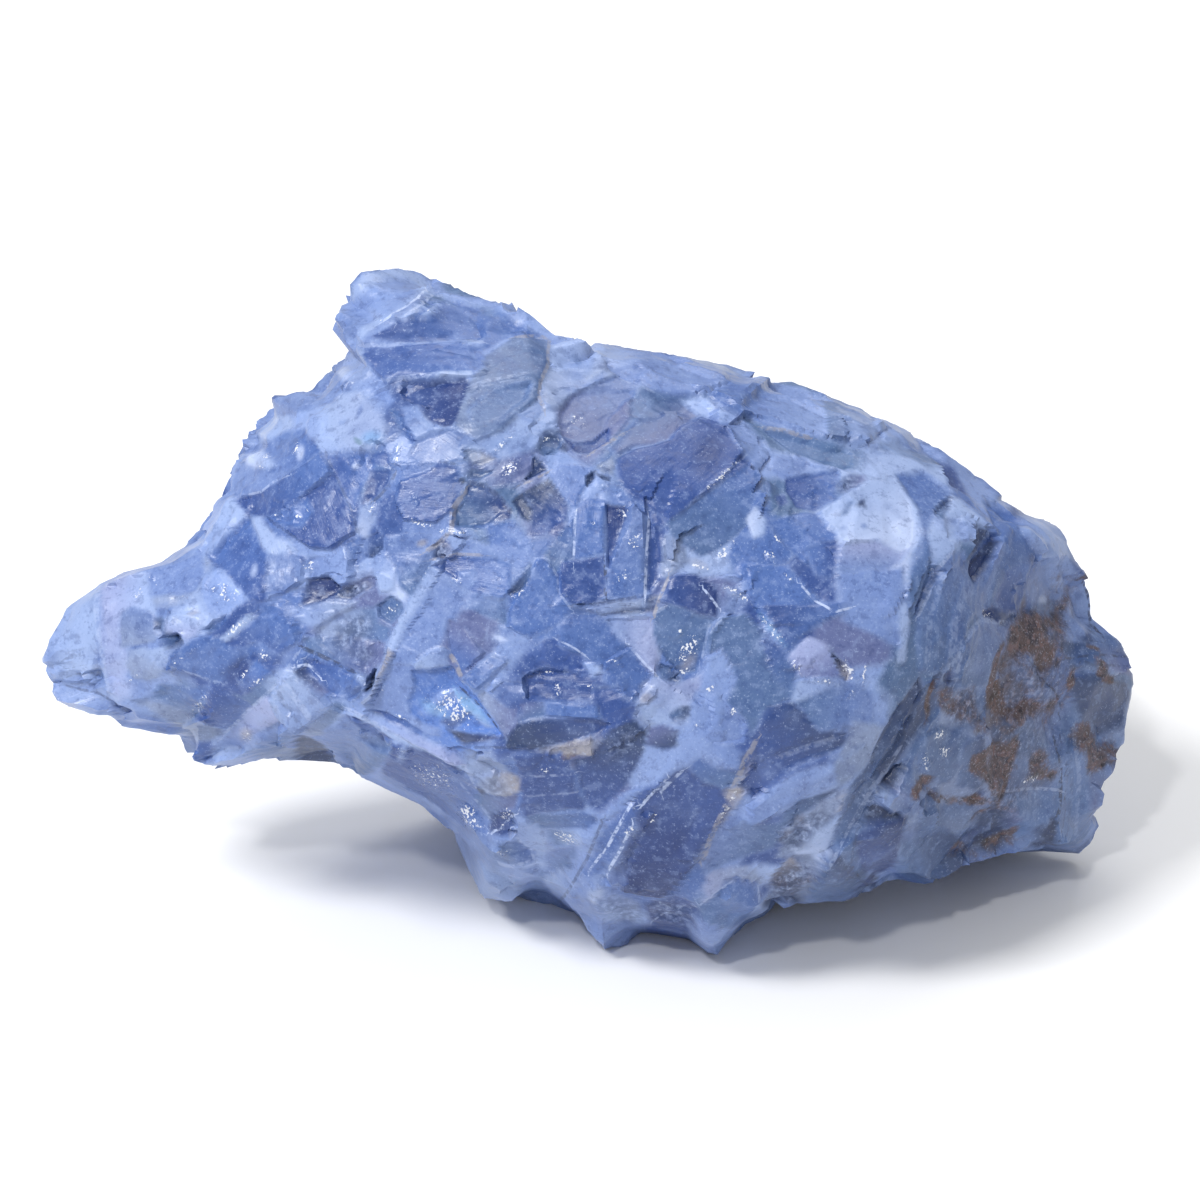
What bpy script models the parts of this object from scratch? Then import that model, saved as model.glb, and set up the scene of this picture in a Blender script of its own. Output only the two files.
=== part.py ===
"""Rough blue calcite, one cleaved translucent lump, as one closed solid.

The lump is drawn about a heart point inside it, so that every point of its skin is one distance
from the heart along one direction. A few broad faces and the broken outline give that distance
first. Cleavage grains then take its place patch by patch: each grain is a flat facet with its own
lean and height, and the steps between neighbours are the ledges of the broken stone.

Places are in millimetres, as seen by someone who faces the broad broken front: across to the
right, up, and near towards the eye, all measured from the middle of the front's outline.
"""

import math

import bpy
import numpy as np

MM = 0.001
STONE = "calcite"

# Stance of the stone
LEAN_BACK = math.radians(28.0)  # the broad front leans back by this much from upright
HEART = np.array([-1.5, 9.0, 0.0])
REST_DROP = 40.7  # from the heart straight down to the flat spot it rests on
BOX_MIDDLE = np.array([1.05, 3.0])  # middle of the box on the ground, across and behind

# Fineness of the solid
SPHERE_CUTS = 8
STRETCH = np.array([1.7, 1.05, 0.95])  # more directions along the long way
KEPT_SHARE = 0.0275  # triangles left of the first sphere's
BROAD_CRISPNESS = 12.0  # how sharply the broad faces meet
STEP_WIDTH = 0.4  # width of the ramp between two grains
TALLEST_STEP = 3.0  # most that a grain stands off the broad form

# Grains where the table of the front leaves room
PLAIN_GRAINS = 300
PLAIN_LENGTH = (8.0, 16.0)
PLAIN_NARROWING = (0.45, 0.9)
PLAIN_LEAN = 0.13
PLAIN_LIFT = 0.7
PLAIN_SEED = 28
PLAIN_CLEARANCE = 1.15  # no plain grain starts closer than this to a front grain's middle
CLEAVAGE = math.radians(78.0)  # angle between the sides of a calcite rhomb
GRAIN_DEPTH = 14.0  # how far in front or behind its middle a grain still claims the skin
NORMAL_PROBE = 2.0  # distance over which the lean of the broad form is read
FRONT_BIAS = np.array([0.0, 0.0, 0.6])  # turns a front grain's rhomb towards the eye that placed it
NEARER_WINS = 0.02  # where the outline folds back, a grain goes to the nearer skin
FLATTEST_SIGHT = 0.15  # a facet is never taken closer to edge-on than this, seen from the heart
SEEDING_AXIS = np.array([0.36, 0.48, 0.80])  # the plain grains' turns are counted from here
GROUND_SIZE = np.array([300.0, 300.0, 60.0])  # the block under the stone that levels its foot

# Fit of the finished skin to the outline
OUTLINE_BEARINGS = 240  # bearings round the heart at which the skin's own reach is read
EYE_DISTANCE = 520.0  # near parts look larger from here, so they count for more
RIM_HOLD = 3.0  # how quickly the fit fades from the rim towards the middle of the front
RIM_EXCESS = 1.006  # flat facets cut the rim's corners a little, which this gives back

# Looks of the plain solid
STONE_BLUE = (0.19, 0.27, 0.52, 1.0)
STONE_ROUGHNESS = 0.32

# Corners of the broken outline, clockwise from the snout's tip: across, up
OUTLINE = [
    (-60.0, -2.0), (-59.5, 0.0), (-57.5, 3.5), (-54.0, 6.0), (-51.5, 7.5), (-47.5, 8.5),
    (-44.5, 10.5), (-42.0, 13.5), (-39.5, 17.5), (-37.5, 23.0), (-35.5, 25.0), (-34.5, 27.0),
    (-30.5, 27.5), (-28.0, 30.0), (-26.0, 32.0), (-28.0, 34.0), (-27.0, 37.5), (-25.0, 40.5),
    (-21.0, 41.0), (-18.5, 40.5), (-16.0, 39.5), (-11.5, 37.5), (-8.0, 37.0), (-3.5, 33.5),
    (6.0, 32.0), (15.0, 30.5), (24.0, 28.0), (30.5, 25.5), (39.0, 21.0), (43.5, 18.0),
    (46.0, 15.5), (52.0, 12.5), (53.0, 11.0), (55.0, 7.5), (55.5, 2.5), (58.5, 0.0),
    (60.0, -3.0), (60.0, -6.0), (59.0, -11.0), (57.5, -15.5), (55.5, -22.0), (54.5, -23.5),
    (50.5, -23.0), (46.0, -23.5), (41.5, -25.0), (38.5, -27.0), (33.5, -26.5), (29.0, -28.5),
    (23.0, -29.0), (17.5, -31.0), (14.0, -35.0), (11.0, -33.0), (6.5, -32.5), (2.0, -35.5),
    (-1.0, -31.0), (-4.5, -29.0), (-11.5, -28.5), (-15.0, -21.0), (-18.5, -18.0),
    (-25.0, -15.0), (-28.0, -13.5), (-35.0, -13.0), (-41.5, -14.5), (-44.0, -13.0),
    (-45.0, -10.5), (-51.5, -9.5), (-55.5, -8.0), (-58.5, -6.5),
]  # fmt: skip

# Broad faces: the way each one looks (across, up, near) and its distance from the heart
BROAD_FACES = {
    "broken front": ((0.00, 0.03, 1.00), 24.0),
    "snout front": ((-0.36, 0.02, 0.93), 26.5),
    "cheek": ((-0.60, 0.45, 0.66), 32.0),
    "jaw": ((-0.35, -0.75, 0.56), 31.0),
    "right end": ((0.77, -0.25, 0.59), 42.5),
    "right shoulder": ((0.60, 0.55, 0.58), 43.0),
    "brow": ((0.00, 0.76, 0.65), 28.0),
    "crest slope": ((0.25, 0.68, 0.69), 23.0),
    "lower front": ((0.00, -0.60, 0.80), 32.0),
    "back": ((0.00, 0.47, -0.88), 27.0),
    "snout back": ((-0.45, 0.30, -0.84), 24.0),
    "back of the right end": ((0.60, 0.20, -0.77), 45.0),
    "back of the underside": ((0.02, -0.62, -0.78), 41.0),
}

# Grains of the front: across, up, length, width, turn in degrees, lift, lean right, lean up
FRONT_GRAINS = {
    "ear dome": (-22.0, 38.0, 9.5, 6.0, 28, 0.6, -0.25, 0.35),
    "ear bevel": (-18.5, 37.5, 6.5, 1.5, 42, 0.2, 0.10, -0.05),
    "ear front": (-17.5, 35.0, 13.0, 3.5, 8, -1.0, 0.00, -0.35),
    "ear shoulder": (-7.5, 35.0, 9.0, 4.0, -28, -0.4, 0.15, 0.25),
    "brow band": (-18.0, 31.0, 13.5, 3.0, 3, 0.6, 0.00, -0.05),
    "dark window": (-17.5, 27.0, 10.0, 5.0, 8, -0.7, 0.00, 0.10),
    "beige slab upper": (-8.0, 30.5, 7.5, 5.5, 12, 0.0, 0.08, 0.08),
    "beige slab lower": (-10.5, 25.5, 9.0, 6.0, 24, 0.3, 0.02, 0.00),
    "notch slope": (-27.0, 29.5, 6.5, 3.5, 35, -0.6, -0.30, 0.20),
    "white cloud": (-27.5, 24.5, 9.5, 6.0, 14, 0.5, -0.05, 0.15),
    "cloud rim": (-31.5, 25.5, 5.5, 4.0, 30, -0.3, -0.30, 0.20),
    "cheek facet": (-33.5, 20.5, 9.5, 5.0, 24, 0.4, -0.25, 0.05),
    "cheek lower facet": (-36.0, 16.5, 8.0, 4.0, 12, -0.3, -0.20, -0.15),
    "cheek edge": (-39.5, 13.5, 7.5, 2.5, 56, 0.2, -0.45, 0.20),
    "left block": (-28.5, 14.5, 9.0, 7.5, 72, 0.9, -0.08, 0.00),
    "left block foot": (-30.0, 9.0, 7.0, 5.0, 20, 0.2, -0.05, -0.15),
    "blue slope": (-37.5, 10.0, 9.0, 6.5, 38, 0.3, -0.10, 0.10),
    "grey wedge": (-23.5, 17.5, 4.5, 3.0, 64, -0.4, 0.20, 0.05),
    "pale cloud": (-16.5, 22.0, 6.0, 4.5, -10, 0.4, 0.00, 0.05),
    "middle block": (-18.5, 15.5, 9.5, 7.5, 10, 0.5, 0.05, 0.05),
    "middle block foot": (-20.5, 9.5, 7.0, 4.0, -12, -0.3, 0.00, -0.15),
    "pale vein": (-24.0, 11.5, 7.5, 2.0, 84, 0.2, -0.10, 0.00),
    "green window": (-11.0, 15.0, 7.5, 5.5, -30, -0.4, 0.12, 0.12),
    "grey chips": (-9.5, 19.5, 7.0, 4.0, 34, 0.3, 0.00, 0.05),
    "pale upright": (-13.0, 23.0, 5.5, 3.5, 40, 0.1, 0.05, 0.05),
    "crest slab left": (0.5, 30.5, 10.0, 5.0, -8, 0.2, 0.05, 0.20),
    "purple patch": (1.5, 25.0, 10.0, 7.0, 46, -0.5, 0.05, -0.05),
    "small grey grain": (-4.0, 22.5, 3.5, 3.0, 10, -0.8, 0.10, -0.10),
    "pale nook": (-2.5, 17.5, 6.0, 6.0, 66, 0.2, -0.05, 0.02),
    "mauve wedge": (-4.5, 15.5, 6.5, 5.5, 70, -0.3, -0.08, -0.08),
    "great dome left": (5.5, 22.5, 11.5, 5.0, 68, 0.9, -0.20, 0.10),
    "great dome": (11.5, 20.0, 14.0, 10.0, 52, 1.7, 0.02, 0.05),
    "great dome foot": (14.5, 14.0, 10.5, 6.0, 38, 0.9, 0.05, -0.20),
    "glitter block left": (0.5, 9.5, 10.5, 4.5, 92, 0.4, -0.05, 0.00),
    "glitter block right": (4.5, 10.0, 10.5, 4.0, 90, 0.9, 0.06, -0.02),
    "block side": (7.5, 10.0, 9.5, 2.0, 92, -0.5, 0.35, 0.00),
    "block sill": (4.0, 4.0, 9.5, 1.5, 6, 0.3, 0.00, -0.35),
    "crest slab middle": (11.5, 29.0, 12.0, 5.0, -12, 0.1, 0.05, 0.25),
    "crest slab right": (22.5, 25.5, 12.0, 5.5, -18, 0.3, 0.08, 0.22),
    "crest sill": (25.0, 21.5, 13.5, 3.5, -10, -0.4, 0.02, 0.10),
    "pale shelf": (22.5, 19.0, 8.0, 5.0, -20, 0.2, 0.02, 0.05),
    "white oval": (32.0, 13.0, 10.0, 8.0, 62, 0.8, 0.10, 0.05),
    "oval pits": (26.0, 14.0, 6.0, 4.5, 60, -0.3, 0.00, -0.05),
    "sparkling slope": (20.0, 11.0, 10.0, 6.5, 58, 0.2, 0.05, -0.08),
    "blue slab": (23.5, 4.5, 10.5, 7.5, 50, 0.6, 0.02, 0.02),
    "slab foot": (19.0, 3.5, 12.0, 4.0, 54, -0.4, -0.10, -0.05),
    "clear corner": (13.0, 10.0, 5.5, 5.0, 10, -0.5, 0.00, 0.00),
    "deep facet upper": (11.5, 5.0, 7.5, 4.5, -8, 0.5, 0.05, 0.05),
    "deep facet lower": (10.5, -0.5, 8.5, 6.0, 76, 0.2, 0.00, -0.20),
    "pale triangle": (5.0, 0.0, 7.5, 5.0, -58, 0.1, 0.05, -0.05),
    "smooth slope": (17.5, -2.5, 15.5, 9.0, 112, 0.5, 0.03, 0.00),
    "amber corner": (28.5, 0.0, 7.5, 6.0, -52, 0.5, 0.02, -0.10),
    "pale veil": (27.5, -5.5, 10.0, 6.0, 6, 0.1, 0.05, 0.00),
    "rounded grain upper": (-5.0, 5.5, 9.5, 6.0, 56, 0.3, -0.02, 0.05),
    "rounded grain": (0.0, 0.5, 8.0, 6.5, -10, 0.8, 0.00, -0.05),
    "dark mouth": (0.0, -3.0, 13.0, 4.0, -12, -0.7, 0.00, -0.25),
    "lens grain": (-1.5, -8.0, 15.5, 6.0, 10, 0.7, 0.00, -0.05),
    "tan rim": (-1.5, -11.5, 5.5, 2.0, 14, 0.2, 0.00, -0.20),
    "pocket": (9.0, -8.0, 7.0, 5.0, 40, -0.8, 0.05, 0.00),
    "small pale knot": (6.5, -5.0, 5.0, 3.5, -10, 0.5, 0.00, 0.00),
    "purple flank": (-14.0, 0.0, 9.5, 5.0, 62, -0.2, 0.05, 0.00),
    "pale strip": (-9.5, -2.5, 7.0, 2.0, 44, 0.6, 0.05, 0.00),
    "left field": (-16.5, 3.0, 10.0, 6.5, 58, 0.2, 0.00, 0.05),
    "soft field": (-12.0, 7.5, 8.5, 5.0, -14, -0.2, 0.05, 0.10),
    "cream fin": (-20.5, 1.5, 17.5, 1.5, 58, 1.5, -0.10, 0.00),
    "fin gap": (-24.5, -3.5, 5.0, 1.5, 58, -1.6, 0.10, -0.05),
    "crushed zone": (-25.5, 2.0, 9.5, 6.5, 40, -0.7, 0.05, -0.05),
    "dark spot": (-29.5, 5.5, 5.0, 2.5, 16, -0.9, 0.00, -0.10),
    "white chips": (-21.0, 7.5, 5.0, 3.5, 70, 0.5, 0.00, 0.05),
    "bright patch": (-40.5, 5.5, 7.0, 5.0, 40, 0.5, -0.12, 0.08),
    "snout cloud": (-48.5, 5.5, 11.0, 5.0, 18, 0.3, -0.12, 0.30),
    "snout grain": (-49.5, 1.0, 5.5, 5.0, -84, 0.1, -0.12, 0.00),
    "snout chip": (-46.5, 0.5, 3.0, 2.0, -50, -0.7, 0.00, 0.00),
    "snout lower cloud": (-49.5, -4.0, 6.5, 4.5, -40, 0.2, -0.12, -0.15),
    "snout tip": (-57.0, 1.5, 8.5, 5.5, 58, 0.8, -0.40, 0.15),
    "snout tip fold": (-56.0, -3.5, 7.5, 2.5, 8, 0.1, -0.30, -0.10),
    "snout tip ledge": (-54.5, -6.5, 8.5, 2.5, -24, -0.9, -0.20, -0.25),
    "snout ledge end": (-48.5, -9.0, 7.5, 2.0, -10, -1.1, -0.05, -0.35),
    "banded block": (-39.5, -3.0, 14.0, 7.0, 43, 1.1, -0.04, 0.00),
    "banded block end": (-45.0, -7.0, 7.5, 5.0, 43, 0.5, -0.08, -0.05),
    "band shelf": (-35.0, 1.0, 7.5, 4.5, 40, 1.3, -0.04, 0.05),
    "pale prism": (-31.5, -7.0, 8.0, 5.0, -50, 0.9, 0.04, -0.05),
    "prism bars": (-28.5, -3.5, 8.0, 4.0, -34, 0.5, 0.00, 0.02),
    "clear wedge": (-37.5, -11.0, 10.0, 4.5, 28, 0.4, -0.05, -0.15),
    "chin chip": (-43.0, -12.5, 3.0, 2.5, 0, -0.9, -0.10, -0.20),
    "under shadow": (-31.5, -12.5, 7.5, 2.5, -4, -2.0, 0.00, -0.40),
    "sparkle triangle": (-15.0, -7.0, 9.5, 6.5, -48, -0.7, 0.05, 0.00),
    "triangle slope": (-20.5, -5.5, 7.5, 4.5, 58, 0.0, 0.02, 0.00),
    "long pale ridge": (-19.0, -11.0, 15.0, 1.5, -25, 1.2, 0.00, 0.05),
    "barred block": (-23.0, -13.5, 12.0, 4.5, -27, 0.6, -0.02, -0.08),
    "speckled block": (-14.5, -16.5, 9.5, 5.5, -34, 0.2, 0.00, -0.10),
    "warm chip": (-10.5, -14.5, 5.0, 4.0, -60, -0.2, 0.05, -0.05),
    "stepped block": (-4.5, -16.5, 9.0, 7.0, -4, 0.4, 0.02, 0.00),
    "dark quads": (2.0, -15.5, 8.5, 5.5, -66, -0.5, -0.10, 0.00),
    "pale lower face": (-10.5, -25.0, 10.0, 6.5, -14, 0.2, -0.10, -0.15),
    "pale lower rough": (-4.0, -24.0, 9.0, 6.5, 48, -0.1, 0.00, -0.10),
    "glint ledge": (2.0, -23.0, 14.5, 2.5, 58, 0.9, -0.35, 0.05),
    "deep window": (10.0, -20.0, 13.5, 9.0, 60, -0.1, 0.10, 0.00),
    "window foot": (6.0, -29.5, 12.0, 5.0, -4, 0.2, 0.05, -0.15),
    "left foot": (3.0, -32.0, 6.5, 4.0, -58, 0.2, 0.00, -0.20),
    "right foot": (14.5, -31.0, 7.0, 5.0, 62, 0.0, 0.08, -0.15),
    "speckled line": (16.0, -17.5, 13.5, 2.0, 60, 0.5, 0.10, 0.00),
    "blue block": (22.0, -10.5, 11.0, 7.5, 20, 0.2, 0.02, 0.00),
    "pale slab": (22.5, -16.5, 12.5, 3.0, 26, 1.0, 0.02, -0.10),
    "low slab": (18.0, -23.5, 10.0, 5.0, 28, 0.0, 0.05, -0.10),
    "white crush": (25.0, -21.5, 10.5, 5.5, 58, -0.6, 0.10, -0.10),
    "veil edge": (31.0, -9.0, 10.0, 5.0, 70, 0.2, 0.15, 0.00),
    "streaked face": (36.5, -1.0, 16.5, 6.0, 62, 0.2, 0.12, -0.02),
    "streaked face top": (41.5, 4.5, 12.0, 4.5, 60, 0.4, 0.12, 0.05),
    "dark slant": (44.0, 9.5, 6.5, 3.0, 60, -0.8, 0.10, 0.00),
    "dark slant low": (37.5, 5.5, 5.5, 2.0, 60, -0.5, 0.10, 0.00),
    "crest end left": (36.0, 21.0, 10.0, 5.5, -28, 0.2, 0.10, 0.20),
    "crest end": (43.0, 15.5, 10.0, 5.5, -38, 0.4, 0.10, 0.10),
    "round chip": (41.5, 12.5, 3.5, 3.0, 0, 0.4, 0.05, 0.05),
    "right shoulder": (49.0, 10.0, 9.0, 6.0, -34, 0.3, 0.10, 0.15),
    "shoulder end": (53.5, 7.5, 6.5, 4.0, -50, 0.5, 0.20, 0.15),
    "rust gully": (49.5, 2.0, 10.5, 4.0, 66, -0.8, 0.00, 0.05),
    "pale cheek end": (54.0, 3.5, 7.5, 4.5, -70, 0.4, 0.05, 0.10),
    "tip ledge": (56.5, -2.0, 7.5, 3.5, -14, 0.9, 0.10, 0.10),
    "teal block": (56.5, -7.5, 8.0, 6.0, -80, 0.3, 0.15, -0.05),
    "fibre slab": (54.0, -15.5, 15.5, 4.0, 80, 0.6, 0.00, 0.00),
    "rust hollow": (47.0, -6.0, 6.5, 5.0, 50, -0.6, -0.05, 0.10),
    "grey window": (48.0, -11.5, 7.0, 5.0, 4, 0.1, -0.05, 0.00),
    "pale pane": (44.0, -2.5, 8.0, 5.5, 70, 0.4, -0.10, 0.05),
    "glint face": (40.0, -10.0, 11.0, 6.0, 60, 0.3, -0.10, 0.00),
    "dark striation": (33.0, -15.0, 21.0, 2.5, 62, -1.3, 0.10, 0.00),
    "pale tablet": (34.0, -17.5, 5.0, 2.5, -18, 1.0, -0.10, 0.05),
    "corner facet": (34.0, -23.5, 9.5, 5.5, 22, 0.1, -0.05, -0.15),
    "low facet": (40.5, -21.5, 7.5, 6.5, 40, 0.3, 0.00, -0.10),
    "rust foot": (46.0, -19.5, 6.5, 5.0, 60, -0.3, 0.00, -0.10),
    "fibre foot": (49.5, -20.0, 5.5, 5.5, 10, 0.1, 0.05, -0.05),
}


def along(vectors):
    """Each row made one long."""
    return vectors / np.linalg.norm(vectors, axis=-1, keepdims=True)


def outline_reach(angle):
    """Distance from the heart to the outline, which runs straight between its corners.

    The ray from the heart meets the straight side between corners p and q at the distance
    cross(p, q - p) / cross(ray, q - p).
    """
    corners = np.array(OUTLINE) - HEART[:2]
    corners = corners[np.argsort(np.arctan2(corners[:, 1], corners[:, 0]))]
    bearings = np.arctan2(corners[:, 1], corners[:, 0])
    start = (np.searchsorted(bearings, angle) - 1) % len(corners)
    p = corners[start]
    side = corners[(start + 1) % len(corners)] - p
    ray = np.stack([np.cos(angle), np.sin(angle)], axis=-1)
    across_side = p[..., 0] * side[..., 1] - p[..., 1] * side[..., 0]
    return across_side / (ray[..., 0] * side[..., 1] - ray[..., 1] * side[..., 0])


def gauge(places):
    """How many times further from the heart a place is than the skin of the broad form.

    It is the power mean of the same ratio for the outline and for each broad face, so the
    form is rounded only where two of them meet.
    """
    angle = np.arctan2(places[:, 1], places[:, 0])
    total = (np.hypot(places[:, 0], places[:, 1]) / outline_reach(angle)) ** BROAD_CRISPNESS
    for looks, distance in BROAD_FACES.values():
        share = places @ along(np.array(looks)) / distance
        total += np.clip(share, 0.0, None) ** BROAD_CRISPNESS
    return total ** (1.0 / BROAD_CRISPNESS)


def broad_normals(places):
    """The way the broad form looks at each place: the slope of the gauge, read a little apart."""
    slopes = []
    for step in np.eye(3) * NORMAL_PROBE:
        slopes.append(gauge(places + step) - gauge(places - step))
    return along(np.stack(slopes, axis=-1))


def grain(middle, normal, long_way, length, width, lift, lean):
    """One grain: its middle, its facet's normal, and the two measures of its rhomb footprint."""
    long_way = along(long_way - normal * (long_way @ normal))
    short_way = np.cross(normal, long_way)
    slanted = math.cos(CLEAVAGE) * long_way + math.sin(CLEAVAGE) * short_way
    measures = np.linalg.inv(np.stack([long_way, slanted, normal], axis=1))
    return {
        "middle": middle + normal * lift,
        "facet": along(normal + lean),
        "measures": measures / np.array([[length / 2], [width / 2], [GRAIN_DEPTH]]),
        "size": min(length, width) / 2,
    }


def front_grains(skin):
    """The named grains, each set on the skin's nearest point of the front."""
    grains = []
    for across, up, length, width, turn, lift, lean_right, lean_up in FRONT_GRAINS.values():
        apart = np.hypot(skin[:, 0] + HEART[0] - across, skin[:, 1] + HEART[1] - up)
        middle = skin[np.argmin(apart - NEARER_WINS * skin[:, 2])]
        normal = broad_normals(middle[None])[0]
        heading = math.radians(turn)
        long_way = np.array([math.cos(heading), math.sin(heading), 0.0])
        lean = np.array([lean_right, lean_up, 0.0])
        square_on = along(normal + FRONT_BIAS)
        grains.append(grain(middle, square_on, long_way, length, width, lift, normal - square_on + lean))
    return grains


def plain_grains(skin_of, named):
    """Grains spread evenly over the rest of the skin, with seeded sizes, turns and leans."""
    dice = np.random.default_rng(PLAIN_SEED)
    count = np.arange(PLAIN_GRAINS)
    height = 1 - (2 * count + 1) / PLAIN_GRAINS
    turn = count * math.pi * (3 - math.sqrt(5))
    ring = np.sqrt(1 - height**2)
    ways = along(np.stack([height, ring * np.cos(turn), ring * np.sin(turn)], axis=-1) * STRETCH)
    middles = skin_of(ways)
    normals = broad_normals(middles)
    grains = []
    for middle, normal in zip(middles, normals):
        length = dice.uniform(*PLAIN_LENGTH)
        width = length * dice.uniform(*PLAIN_NARROWING)
        heading = dice.uniform(0, 2 * math.pi)
        lean = dice.normal(0, PLAIN_LEAN, 3)
        lift = dice.uniform(-PLAIN_LIFT, PLAIN_LIFT)
        apart = [np.abs(front["measures"] @ (middle - front["middle"])).max() for front in named]
        if min(apart) < PLAIN_CLEARANCE:
            continue
        aside = along(np.cross(normal, SEEDING_AXIS))
        long_way = math.cos(heading) * aside + math.sin(heading) * np.cross(normal, aside)
        grains.append(grain(middle, normal, long_way, length, width, lift, lean))
    return grains


def broken_skin(ways):
    """The skin along each way from the heart: the facet of the grain whose rhomb it falls in.

    Each grain measures how far a point is from its middle in halves of its own rhomb, and
    the least measure claims the point. Next to a border the two facets meet in a short ramp.
    """

    def skin_of(some_ways):
        return some_ways / gauge(some_ways)[:, None]

    broad = skin_of(ways)
    far = 1 / gauge(ways)
    named = front_grains(broad)
    first = np.full(len(ways), np.inf)
    second = first.copy()
    reach_first, reach_second = far.copy(), far.copy()
    size_first, size_second = np.ones(len(ways)), np.ones(len(ways))
    for piece in named + plain_grains(skin_of, named):
        measure = np.abs((broad - piece["middle"]) @ piece["measures"].T).max(axis=1)
        slope = np.clip(ways @ piece["facet"], FLATTEST_SIGHT, None)
        reach = piece["middle"] @ piece["facet"] / slope
        reach = np.clip(reach, far - TALLEST_STEP, far + TALLEST_STEP)
        closest = measure < first
        closer = ~closest & (measure < second)
        second = np.where(closest, first, np.where(closer, measure, second))
        reach_second = np.where(closest, reach_first, np.where(closer, reach, reach_second))
        size_second = np.where(closest, size_first, np.where(closer, piece["size"], size_second))
        first = np.where(closest, measure, first)
        reach_first = np.where(closest, reach, reach_first)
        size_first = np.where(closest, piece["size"], size_first)
    from_border = (second - first) / (1 / size_first + 1 / size_second)
    share = 0.5 - 0.5 * np.clip(from_border / STEP_WIDTH, 0, 1)
    return ways * (reach_first + (reach_second - reach_first) * share)[:, None]


def fitted_to_outline(places):
    """The skin moved in or out, square to the view, until its rim lies on the outline.

    For each bearing round the heart the widest place of the skin is found, as it looks from
    the eye, and the ratio of the outline to it is the stretch at the rim. The stretch fades as a
    power of the distance from the line of sight through the heart.
    """
    looks_larger = EYE_DISTANCE / (EYE_DISTANCE - places[:, 2])
    bearing = np.arctan2(places[:, 1], places[:, 0])
    spread = np.hypot(places[:, 0], places[:, 1])
    slot = ((bearing / (2 * math.pi) + 0.5) * OUTLINE_BEARINGS).astype(int) % OUTLINE_BEARINGS
    widest = np.zeros(OUTLINE_BEARINGS)
    np.maximum.at(widest, slot, spread * looks_larger)
    middles = ((np.arange(OUTLINE_BEARINGS) + 0.5) / OUTLINE_BEARINGS - 0.5) * 2 * math.pi
    rim = np.interp(bearing, middles, widest, period=2 * math.pi)
    rimness = np.clip(spread * looks_larger / rim, 0, 1) ** RIM_HOLD
    stretch = 1 + (RIM_EXCESS * outline_reach(bearing) / rim - 1) * rimness
    return places * np.stack([stretch, stretch, np.ones(len(places))], axis=-1)


def stood_up(places):
    """From the eye's directions, about the heart, to the ground's: right, behind and above."""
    across, up, near = (places + HEART).T
    lean_sin, lean_cos = math.sin(LEAN_BACK), math.cos(LEAN_BACK)
    behind = up * lean_sin - near * lean_cos
    above = up * lean_cos + near * lean_sin
    drop = HEART[1] * lean_cos + HEART[2] * lean_sin - REST_DROP
    return np.stack([across - BOX_MIDDLE[0], behind - BOX_MIDDLE[1], above - drop], axis=-1)


def stone_material():
    material = bpy.data.materials.new("blue calcite")
    material.use_nodes = True
    shader = material.node_tree.nodes["Principled BSDF"]
    shader.inputs["Base Color"].default_value = STONE_BLUE
    shader.inputs["Roughness"].default_value = STONE_ROUGHNESS
    shader.inputs["Metallic"].default_value = 0.0
    material.diffuse_color = STONE_BLUE
    return material


def make_stone(collection):
    """A sphere of triangles pushed out to the broken skin, then thinned where it is flat."""
    bpy.ops.mesh.primitive_ico_sphere_add(subdivisions=SPHERE_CUTS, radius=1.0)
    stone = bpy.context.object
    stone.name = stone.data.name = STONE
    directions = np.empty(len(stone.data.vertices) * 3)
    stone.data.vertices.foreach_get("co", directions)
    ways = along(along(directions.reshape(-1, 3)) * STRETCH)
    # The sphere's third way is up, and the skin's is near, so turning them keeps it right side out
    ways = np.stack([ways[:, 0], ways[:, 2], -ways[:, 1]], axis=-1)
    places = stood_up(fitted_to_outline(broken_skin(ways))) * MM
    stone.data.vertices.foreach_set("co", places.ravel())
    stone.data.materials.append(stone_material())
    for owner in list(stone.users_collection):
        owner.objects.unlink(stone)
    collection.objects.link(stone)
    thinning = stone.modifiers.new("thin the flat facets", "DECIMATE")
    thinning.ratio = KEPT_SHARE
    return stone


def cut_flat_spot(stone, collection):
    """What reaches below the ground is cut away, which leaves the flat spot the stone rests on."""
    bpy.ops.mesh.primitive_cube_add(size=1.0)
    ground = bpy.context.object
    ground.name = ground.data.name = "ground cutter"
    corners = np.empty(len(ground.data.vertices) * 3)
    ground.data.vertices.foreach_get("co", corners)
    corners = (corners.reshape(-1, 3) - [0, 0, 0.5]) * GROUND_SIZE * MM
    ground.data.vertices.foreach_set("co", corners.ravel())
    for owner in list(ground.users_collection):
        owner.objects.unlink(ground)
    collection.objects.link(ground)
    ground.hide_render = True
    ground.display_type = "WIRE"
    cut = stone.modifiers.new("flat spot", "BOOLEAN")
    cut.operation = "DIFFERENCE"
    cut.object = ground


def main():
    for leftover in list(bpy.data.objects):
        bpy.data.objects.remove(leftover, do_unlink=True)
    collections = {}
    for name in ("blue calcite", "cutters"):
        collections[name] = bpy.data.collections.new(name)
        bpy.context.scene.collection.children.link(collections[name])
    stone = make_stone(collections["blue calcite"])
    cut_flat_spot(stone, collections["cutters"])


main()
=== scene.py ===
"""Rough blue calcite, finished, on a pale floor in soft light.

The stone's skin is one closed surface about a heart point inside it. Its broad faces, outline and
cleavage grains are those of the plain solid, and finer grains, steps, chips and pits are added to
them. Most grains have a tone of the stone's own: deep clear blue, milky blue, grey or white. Some
grains, patches, spots and lines of the front are painted shade, painted light or painted glints.

Places are in millimetres, as seen by someone who faces the broad broken front: across to the
right, up, and near towards the eye, all measured from the middle of the front's outline.
"""

import math

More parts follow.
